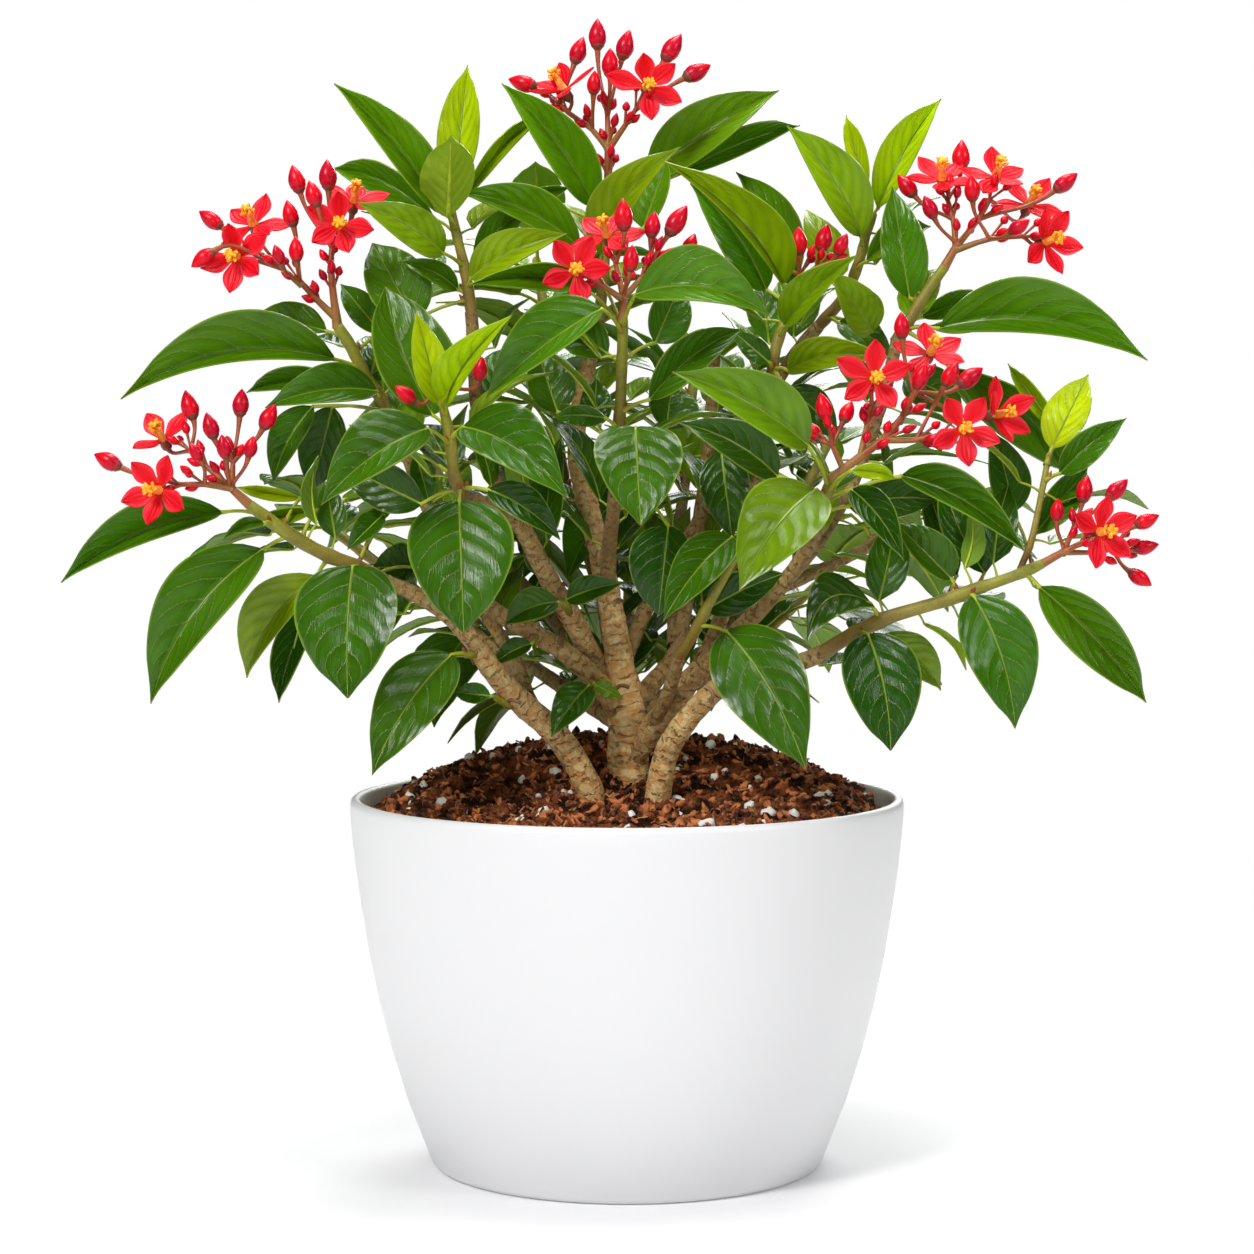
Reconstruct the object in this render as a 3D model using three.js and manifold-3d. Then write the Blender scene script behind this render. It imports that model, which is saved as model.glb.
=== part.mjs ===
// A jatropha in bloom, growing in a plain round pot. Millimetres, +Z up, the front faces -Y.
// The origin is the centre of the pot's flat underside.
//
// Places on the plant are given as [X, Z, near]: where a point shows, in millimetres, on the upright
// plane through the pot's axis when the plant is looked at from the front, and how far the point
// stands toward the viewer from that plane.
import * as THREE from 'three';
import { mergeVertices } from 'three/addons/utils/BufferGeometryUtils.js';
import Module from 'manifold-3d';

const wasm = await Module();
wasm.setup();

// Driving dimensions of the pot and the soil.
const RIM_RADIUS = 100;
const POT_HEIGHT = 133.5;
const FOOT_RADIUS = 71;
const FLOOR = 5;
const FOOT_ROUND = 2.5;
const POT_SIDES = 30;
const SOIL_EDGE = 127;
const SEAT_GAP = 0.3;

// The viewer's place in front of the plant.
const VIEW_DISTANCE = 1135;
const VIEW_HEIGHT = 260;

// Sizes that the plant's pieces share.
const LEAF_THICK = 1.5;
const HALF_PER_LENGTH = 0.24;
const LEAST_FOLD = 0.15;
const STEEPEST_FOLD = 1.1;
const EDGE_WAVE = 0.7;
const ARCH = 0.07;
const BROAD = 0.62;
const SPREAD = [0.62, 1.05];
const BROAD_SPREAD = [0.5, 0.85];
const PETIOLE_RADIUS = 0.85;
const PETAL_LENGTH = 13.5;
const PETAL_HALF = 3.7;
const PETAL_THICK = 1.3;
const COLUMN_LENGTH = 8.5;
const CALYX_LENGTH = 4.5;
const PEDICEL_RADIUS = 0.85;
const STRAIGHTNESS = 0.3;
const HEART_RADIUS = 2;
const HOST_FACET = 0.95;
const PETAL_APART = 1.08;
const BUD_ROWS = [[0.24, 3.1], [0.64, 2.7]];
const SHOOT_SIDES = 5;
const WOOD_STEP = 22;
const SHOOT_STEP = 14;
const STALK_STEP = 16;
const ROOT_STEP = 2;
const END_CLEAR = 2.4;
const ROOT_FREE = 3.2;
const SMALL_LEAF = 62;

// How far apart pieces are sampled, and how far a blade or a leaf's stalk stays from other pieces.
const SAMPLE_STEP = 3;
const BLADE_GAP = 3.4;
const SIBLING_GAP = 1.4;
const STALK_GAP = 2.6;
const CELL = 14;
const FAR_LEAVES = 7;
const MERGE_DISTANCE = 0.002;

const EYE = new THREE.Vector3(0, -VIEW_DISTANCE, VIEW_HEIGHT);

// The point that shows at (across, high) on the axis plane and stands `near` toward the viewer.
function seen([across, high, near]) {
  const shrink = (VIEW_DISTANCE - near) / VIEW_DISTANCE;
  return new THREE.Vector3(across * shrink, -near, VIEW_HEIGHT + (high - VIEW_HEIGHT) * shrink);
}

// The woody branches: [X, Z, near, radius] from the soil or the trunk to where the green begins.
const WOOD = {
  trunk: [
    [0, 100, 0, 6.5], [0, 122, 0, 8.3], [0, 140, 0, 8.6], [0.5, 152, 0, 7.8], [0, 165, 0, 7.4],
    [-2.5, 180, 0, 5.6], [-5.5, 200, -1, 4.7], [-9.5, 220, -3, 4.4], [-14.5, 240, -5, 4.1],
    [-18, 256, -7, 3.6], [-17, 275, -8, 3.2], [-13, 292, -8, 2.8], [-10, 306, -8, 2.5],
  ],
  low_left: [
    [-9, 104, 16, 3.8], [-11, 124, 20, 5.0], [-14.5, 138, 22, 5.1], [-25, 155, 24, 4.9], [-38, 167, 28, 4.6],
    [-48, 178, 32, 4.2], [-56, 190, 35, 3.7], [-66, 200, 38, 3.2], [-76, 206, 40, 2.9], [-87, 211, 42, 2.7],
  ],
  left: [
    [0.5, 158, -1, 3.8], [-9, 172.5, 6, 4.2], [-20.6, 184, 10, 3.9], [-33, 192, 12, 3.6],
    [-44, 198, 14, 3.3],
    [-52, 204, 16, 3.0], [-62, 218, 18, 2.8], [-72, 238, 20, 2.6], [-79, 256, 22, 2.5], [-84, 268, 24, 2.4],
  ],
  front_left: [
    [-1.5, 157, -3, 3.8], [-10, 178, -1, 4.2], [-15, 188, 4, 4.2], [-21, 200, 10, 4.1], [-26, 208, 15, 3.9],
    [-32, 219, 24, 3.6], [-39, 232, 35, 3.2], [-48, 238, 46, 2.8], [-58, 241, 54, 2.5],
  ],
  top_left: [
    [-35, 225, 29, 3.0], [-43, 239, 28, 2.9], [-50, 254, 26, 2.8], [-54, 274, 23, 2.6], [-55, 293, 21, 2.5],
    [-56, 308, 20, 2.4],
  ],
  back_left: [
    [-22, 150, 22, 3.4], [-30, 159, 18, 3.2], [-35.5, 168, 13, 3.0], [-40, 181, 6, 2.8], [-47, 193, -2, 2.6],
    [-57, 208, -10, 2.4], [-70, 224, -18, 2.2],
  ],
  centre: [
    [-7, 208, -2, 3.2], [-6.5, 222, 8, 2.9], [-5, 236, 26, 2.6], [-4, 248, 38, 2.4],
  ],
  top_right: [
    [-2, 180, -3, 3.3], [4, 195, -8, 3.1], [9, 205, -13, 3.0], [22, 226, -18, 2.8], [38, 256, -20, 2.7],
    [52, 280, -19, 2.6], [62, 295, -17, 2.5], [69, 303, -16, 2.5],
  ],
  back_centre: [
    [1, 163, 0, 4.0], [9, 174, 0, 3.6], [17, 184, -2, 3.2], [21, 201, -10, 2.9], [25, 226, -18, 2.7],
    [29, 256, -24, 2.5], [31, 284, -26, 2.3], [32, 300, -27, 2.2],
  ],
  right_centre: [
    [0.5, 143, 1, 4.2], [10, 159, 11, 4.4], [19, 170, 17, 4.2], [28, 181, 22, 3.9], [38, 191, 28, 3.6],
    [48, 201, 33, 3.2], [57, 211, 39, 2.9], [64, 221, 46, 2.7], [69, 231, 53, 2.5],
  ],
  upper_right: [
    [56, 210, 38, 2.7], [68, 224, 34, 2.6], [80, 244, 26, 2.5], [88, 264, 18, 2.4], [94, 284, 12, 2.4],
    [97, 298, 10, 2.3],
  ],
  mid_right: [
    [27, 180, 21, 3.2], [35, 201, 20, 2.9], [42, 226, 17, 2.6], [48, 252, 14, 2.5], [51, 272, 11, 2.4],
    [52, 283, 10, 2.4],
  ],
  low_right: [
    [7, 104, 18, 4.0], [10, 124, 22, 4.8], [12, 139, 25, 4.9], [15.2, 151, 28, 4.6], [23.5, 163, 32, 4.2],
    [34, 173, 36, 3.9], [46, 178, 42, 3.5], [58, 180.5, 46, 3.3], [66, 183, 48, 3.2], [71, 185.5, 50, 3.0],
  ],
  low_centre: [
    [8, 156, 9, 2.8], [15, 171, 24, 2.7], [19, 184, 36, 2.3],
  ],
};

// The green shoots that go on from the wood, or stand on another shoot or branch (`on`).
const SHOOTS = {
  low_left: { route: [
    [-87.5, 211.2, 42, 2.6], [-99, 217, 44, 2.7], [-107, 220, 45, 2.7], [-116, 224.5, 47, 2.6],
    [-126, 231, 50, 2.4], [-136, 238.5, 52, 2.2]] },
  left: { route: [
    [-84.5, 269, 24, 2.3], [-88.5, 277, 24, 2.3], [-94, 285, 25, 2.2], [-99, 295, 26, 2.2],
    [-104, 303, 27, 2.1]] },
  front_left: { route: [
    [-59, 242, 55, 2.3], [-62, 248, 57, 2.3], [-63, 256, 58, 2.2], [-64.4, 266, 59, 2.0],
    [-66.5, 275, 60, 1.6]] },
  top_left: { route: [
    [-56.2, 310, 20, 2.2], [-58, 322, 20, 2.0], [-61, 335, 20, 1.8], [-64, 348, 20, 1.5]] },
  centre: { route: [
    [-3.8, 250.5, 39.5, 2.3], [-3.5, 262, 42, 2.3], [-2.4, 274, 44, 2.2], [-1.8, 292, 46, 2.0],
    [-1.5, 306, 48, 1.9]] },
  top: { after: 'trunk', route: [
    [-9.8, 307.5, -8, 2.4], [-8.5, 320, -8, 2.2], [-7.6, 334, -8, 2.0], [-7.2, 343, -8, 2.0]] },
  right_centre: { route: [
    [69.8, 233, 54, 2.4], [71.5, 241, 58, 2.3], [74, 248, 60, 2.1]] },
  low_right: { route: [
    [72.3, 186.2, 50.4, 2.9], [80, 191, 52, 2.8], [93, 197.5, 54, 2.7], [104, 201, 56, 2.5],
    [116, 204.5, 59, 2.4],
    [125, 208, 60, 2.3], [134, 211, 61, 2.1], [143, 214.3, 62, 2.0], [150, 217.5, 63, 1.8]] },
  far_right: { on: 'low_right', route: [
    [143.5, 214.5, 62, 1.3], [146, 226, 57, 1.3], [149.5, 243, 50, 1.2], [152, 257, 45, 1.0]] },
  low_centre: { route: [
    [19.4, 185.5, 37, 2.2], [24, 192, 44, 2.1], [28, 200, 50, 1.9], [36, 214, 54, 1.6],
    [42, 226, 55, 1.3]] },
  upper_right: { route: [
    [97.5, 300, 10, 2.3], [101, 304, 10, 2.3], [107, 314, 10, 2.2], [114, 324, 10, 2.0]] },
  top_right: { route: [
    [70, 304.2, -15.8, 2.4], [78, 313.5, -13, 2.3], [83, 325, -10, 2.1], [86, 336, -10, 1.8],
    [88.5, 343, -10, 1.5]] },
  mid_right: { route: [
    [52.3, 285, 10, 2.3], [53.5, 295, 10, 2.2], [56.5, 304, 9, 2.0], [59, 313, 8, 1.7]] },
  fork_spur: { on: 'front_left', route: [[-22.5, 202.5, 12, 1.5], [-22.8, 204, 21, 1.3]] },
  elbow_spur: { on: 'left', route: [[-12.5, 176, 9, 1.5], [-13, 174.5, 18, 1.3]] },
  bend_spur: { on: 'left', route: [[-33, 192, 12, 1.4], [-34, 189.8, 20, 1.2]] },
  pot_spur: { on: 'low_left', route: [[-54, 187.5, 34.5, 1.5], [-58.5, 184.5, 40, 1.3]] },
  knob_spur: { on: 'low_left', route: [[-41, 170, 29.5, 1.4], [-47.5, 169, 33, 1.3]] },
};

// A leaf by what shows of it: the foot, where its stalk ends, the tip, and how near each stands. `left` and
// `right` are how far each half reaches from the rib, for someone who walks from foot to tip, and
// `bow` is how far the rib's middle swings to the left. `under` says that the underside shows.
const leaf = (foot, tip, near, left, right, bow = 0, more = {}) => ({ foot, tip, near, left, right, bow, ...more });
const YOUNG = { tone: 'young' };
const OLIVE = { tone: 'olive' };
const DARK = { tone: 'dark' };
const UNDER = { under: true, tone: 'olive' };

const LEAVES = {
  low_left: [
    leaf([-99, 216.5], [-101, 168.5], [56, 72], 16.5, 18.5, -1),
    leaf([-131.5, 222.5], [-172.5, 166.5], [52, 62], 8, 15, -6),
    leaf([-146, 236], [-204.5, 210.5], [50, 42], 4, 10, -5),
    leaf([-112, 213], [-137.5, 176], [44, 30], 4, 12, -4, OLIVE),
    leaf([-112, 205], [-126, 167], [30, 20], 4, 7, -2, DARK),
    leaf([-131, 232], [-146, 226], [56, 60], 1.5, 3, -1.5),
    leaf([-88, 235], [-101, 222.5], [34, 40], 3, 5.5, 0),
    leaf([-118, 241], [-141, 245], [40, 34], 2.5, 2, 0, YOUNG),
    leaf([-112, 237], [-133, 233], [44, 40], 3, 2.5, 0, OLIVE),
    leaf([-76, 216], [-92, 216], [28, 20], 5, 9, 0, DARK),
  ],
  left: [
    leaf([-105, 291], [-182.5, 276.5], [30, 42], 3.5, 14, -9),
    leaf([-90, 279.5], [-130.5, 273.5], [30, 46], 4.5, 9.5, -3),
    leaf([-105, 284], [-137, 279], [18, 8], 3, 5, -2),
    leaf([-108, 301], [-133, 307.5], [22, 8], 3, 7.5, 0),
    leaf([-113, 274], [-127.5, 246.5], [24, 24], 4, 8, -2),
    leaf([-106, 274], [-114, 243], [14, 6], 8, 9, 0, DARK),
    leaf([-88, 300], [-103, 318], [12, 2], 5, 6, 0, DARK),
  ],
  front_left: [
    leaf([-60.5, 240], [-59, 192], [66, 84], 18, 18, 0),
    leaf([-72, 266], [-110.5, 238.5], [66, 90], 6.5, 13.5, -3),
    leaf([-59, 266.5], [-21.5, 241], [68, 92], 13.5, 8, 4),
    leaf([-67.5, 275], [-76, 308.5], [64, 72], 5.5, 6.5, 0, YOUNG),
    leaf([-65, 275], [-41, 307], [68, 84], 8, 3, 3, YOUNG),
    leaf([-70, 271], [-87, 317], [54, 46], 10, 17, 2),
    leaf([-50, 244], [-24, 226], [56, 66], 7.5, 4.5, 2, DARK),
    leaf([-74, 239], [-105, 254], [42, 34], 8.5, 8, 0, DARK),
    leaf([-76, 257], [-71, 238], [38, 34], 5, 4, 0),
  ],
  top_left: [
    leaf([-66, 343], [-105, 389.5], [26, 32], 5, 9, -3),
    leaf([-62, 351], [-57, 396], [16, 6], 8, 6.5, 0, YOUNG),
    leaf([-64, 342], [-63, 371], [30, 52], 10.5, 8.5, 0, UNDER),
    leaf([-58, 349], [-26, 380], [14, -6], 3.2, 2.6, 3.5, OLIVE),
    leaf([-66, 329], [-97, 347], [28, 38], 6, 8, -2, OLIVE),
    leaf([-56, 320], [-21, 336], [26, 36], 9, 4, 2, OLIVE),
    leaf([-69, 341], [-106, 359], [8, -12], 6, 6, -4),
    leaf([-61, 316], [-82, 326], [20, 26], 3.5, 4.5, -2, DARK),
    leaf([-55, 326], [-36, 344], [8, -10], 6, 5, 2),
    leaf([-76, 305], [-91.5, 332.5], [34, 40], 10, 12, 0, DARK),
  ],
  centre: [
    leaf([3, 266.5], [5, 231], [58, 84], 15.5, 14.5, 0),
    leaf([3, 314], [51.5, 306.5], [58, 78], 14, 5, 6),
    leaf([-9, 309], [-51, 277], [56, 72], 4.5, 13, -2),
    leaf([8, 276.5], [42, 302], [52, 40], 7.5, 6, 3, DARK),
    leaf([-17, 331], [-61, 350.5], [33, 56], 4, 9.5, -4),
    leaf([-17, 318], [-57.5, 317.5], [46, 60], 5, 4.5, -3),
    leaf([10, 297], [19, 318], [32, 24], 6, 9, 0, DARK),
    leaf([-7, 293], [-29, 308], [36, 28], 7, 8, 0, DARK),
    leaf([-8, 270], [-27, 270], [50, 46], 4, 3.5, -1),
    leaf([-25, 272], [-32, 293.5], [24, 18], 7.5, 9.5, 0, DARK),
    leaf([-12, 267], [-11, 284], [28, 22], 5.5, 6, 0, DARK),
    leaf([14, 266], [16, 282], [26, 20], 7, 11, 0, DARK),
    leaf([15, 231], [11.5, 198.5], [38, 50], 9.5, 12.5, 0, DARK),
  ],
  top: [
    leaf([-12, 346], [-45, 389.5], [-4, 0], 6.5, 10, -3),
    leaf([8, 356], [54.5, 387], [-14, -24], 12, 6.5, 2),
    leaf([18, 357], [62, 374.5], [-22, -44], 5.5, 4, 2, DARK),
    leaf([-9, 328], [19.5, 367], [8, 26], 11, 4, 5, OLIVE),
    leaf([6, 338], [14.5, 362], [-2, -8], 9, 4, 0),
    leaf([-38, 349], [-20.5, 352.5], [-12, -20], 2, 3, 0),
  ],
  right_centre: [
    leaf([68, 244], [40.5, 207.5], [68, 94], 12, 14.5, -3, { tone: 'fresh' }),
    leaf([65, 260], [16, 286.5], [70, 92], 6, 12.5, -3, { tone: 'fresh' }),
    leaf([54, 249], [18, 268.5], [52, 62], 6, 9, -3, DARK),
    leaf([81, 244], [100, 218.5], [62, 76], 6.5, 5, 2, DARK),
    leaf([34, 258], [38, 226], [38, 42], 8.5, 9, 0, DARK),
    leaf([81, 251], [97, 248], [66, 72], 3, 2.5, 1, YOUNG),
    leaf([99, 249], [144, 221.5], [54, 70], 8.5, 4, 4),
    leaf([80, 238], [112, 240], [46, 34], 8, 7, 2, DARK),
  ],
  low_right: [
    leaf([87, 192], [95.5, 149.5], [58, 68], 13.5, 13, 2, DARK),
    leaf([88, 203], [65, 188.5], [58, 78], 7.5, 9, -9, DARK),
    leaf([125, 206], [140.5, 157.5], [62, 68], 13.5, 11.5, 3),
    leaf([149, 209], [188, 167], [64, 62], 9.5, 8.5, 2),
    leaf([90, 190.5], [113.5, 171.5], [46, 34], 8, 5, 3, OLIVE),
    leaf([117, 212], [97, 232], [54, 46], 4, 9, 0),
    leaf([129, 214], [114, 249], [54, 36], 6, 10, 2, DARK),
    leaf([119, 213], [108, 246], [46, 26], 5, 6, 0, DARK),
    leaf([139, 236], [131, 266], [36, 26], 6, 8.5, -1, DARK),
  ],
  far_right: [
    leaf([153, 259], [166, 285.5], [44, 36], 8.5, 6.5, 0, YOUNG),
    leaf([156, 250], [180, 270], [46, 38], 5.5, 5.5, 1),
    leaf([156, 264], [137, 289.5], [38, 26], 3, 3, 0, OLIVE),
    leaf([147, 228], [166, 252], [48, 50], 5.5, 6, 0),
  ],
  low_centre: [
    leaf([36, 193], [65, 142.5], [58, 84], 14.5, 15.5, 3),
    leaf([38, 227], [13, 196.5], [60, 76], 7, 9.5, -2),
    leaf([29, 201], [57, 214], [50, 48], 7, 7, 1, DARK),
    leaf([27, 203], [26, 226], [44, 36], 6, 7, 0, DARK),
  ],
  upper_right: [
    leaf([112, 302], [187.5, 290.5], [14, 22], 15, 4.5, 8),
    leaf([116, 288], [159, 249], [28, 46], 7, 11, 6),
    leaf([106, 306], [130, 313], [-4, -16], 5, 4, 1),
    leaf([109, 302.5], [134, 305.5], [2, -6], 2, 3.5, 0, OLIVE),
    leaf([101.5, 313], [95, 353], [4, -10], 7.5, 9, 0, DARK),
    leaf([100, 284], [121, 272], [2, -8], 8, 8, 2, DARK),
  ],
  top_right: [
    leaf([90, 345], [112.5, 384], [-8, -18], 8.5, 4.5, 2, YOUNG),
    leaf([86, 352], [78.5, 378], [-14, -26], 3.5, 3.5, 0, YOUNG),
    leaf([84, 335], [57, 374.5], [-2, 12], 6, 11, -3, OLIVE),
    leaf([86, 326], [109, 338.5], [-2, 12], 7, 3, 2),
    leaf([88, 301], [73, 323], [2, 18], 5.5, 9, 0, OLIVE),
    leaf([76, 304], [96, 291], [-8, -2], 6, 5, 2, DARK),
  ],
  mid_right: [
    leaf([56, 318], [12.5, 362], [16, 42], 2.5, 11, -5, OLIVE),
    leaf([50, 316], [22.5, 354], [4, 12], 8, 7, -3, DARK),
    leaf([59, 317], [39, 358], [0, -14], 4, 10.5, -3, DARK),
    leaf([57, 303], [83, 328.5], [18, 36], 8, 3.5, 2, OLIVE),
    leaf([58, 287], [95, 291.5], [24, 38], 7.5, 4, 3, OLIVE),
    leaf([51, 290], [37, 302], [16, 20], 4, 4.5, 0, DARK),
    leaf([57, 280], [76, 262], [18, 26], 7, 7, 2, DARK),
  ],
  fork_spur: [
    leaf([-21.5, 204.5], [-1, 210.5], [22, 30], 5.5, 4, 1),
    leaf([-25, 203.5], [-44, 195.5], [22, 28], 4.5, 7, -2),
  ],
  elbow_spur: [
    leaf([-14, 173], [-27.5, 154.5], [20, 30], 5.5, 7, -1),
    leaf([-12, 174], [-1.5, 168.5], [20, 27], 3.2, 2.6, 0, { tone: 'fresh' }),
  ],
  bend_spur: [leaf([-34.5, 188.5], [-48.5, 180.5], [21, 27], 2.8, 4.5, -1)],
  pot_spur: [leaf([-63.5, 184.5], [-92.5, 140.5], [46, 66], 10.5, 12.5, -3)],
  knob_spur: [leaf([-49.5, 169.5], [-63, 171], [34, 36], 3.2, 4.2, 0)],
};

// A flower opens at `at`; each petal is where its tip shows, with +1 when it leans toward the viewer and -1
// when it leans away, and `column` is where the tip of the stamens shows.
const flower = (at, column, petals) => ({ at, column, petals });

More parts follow.
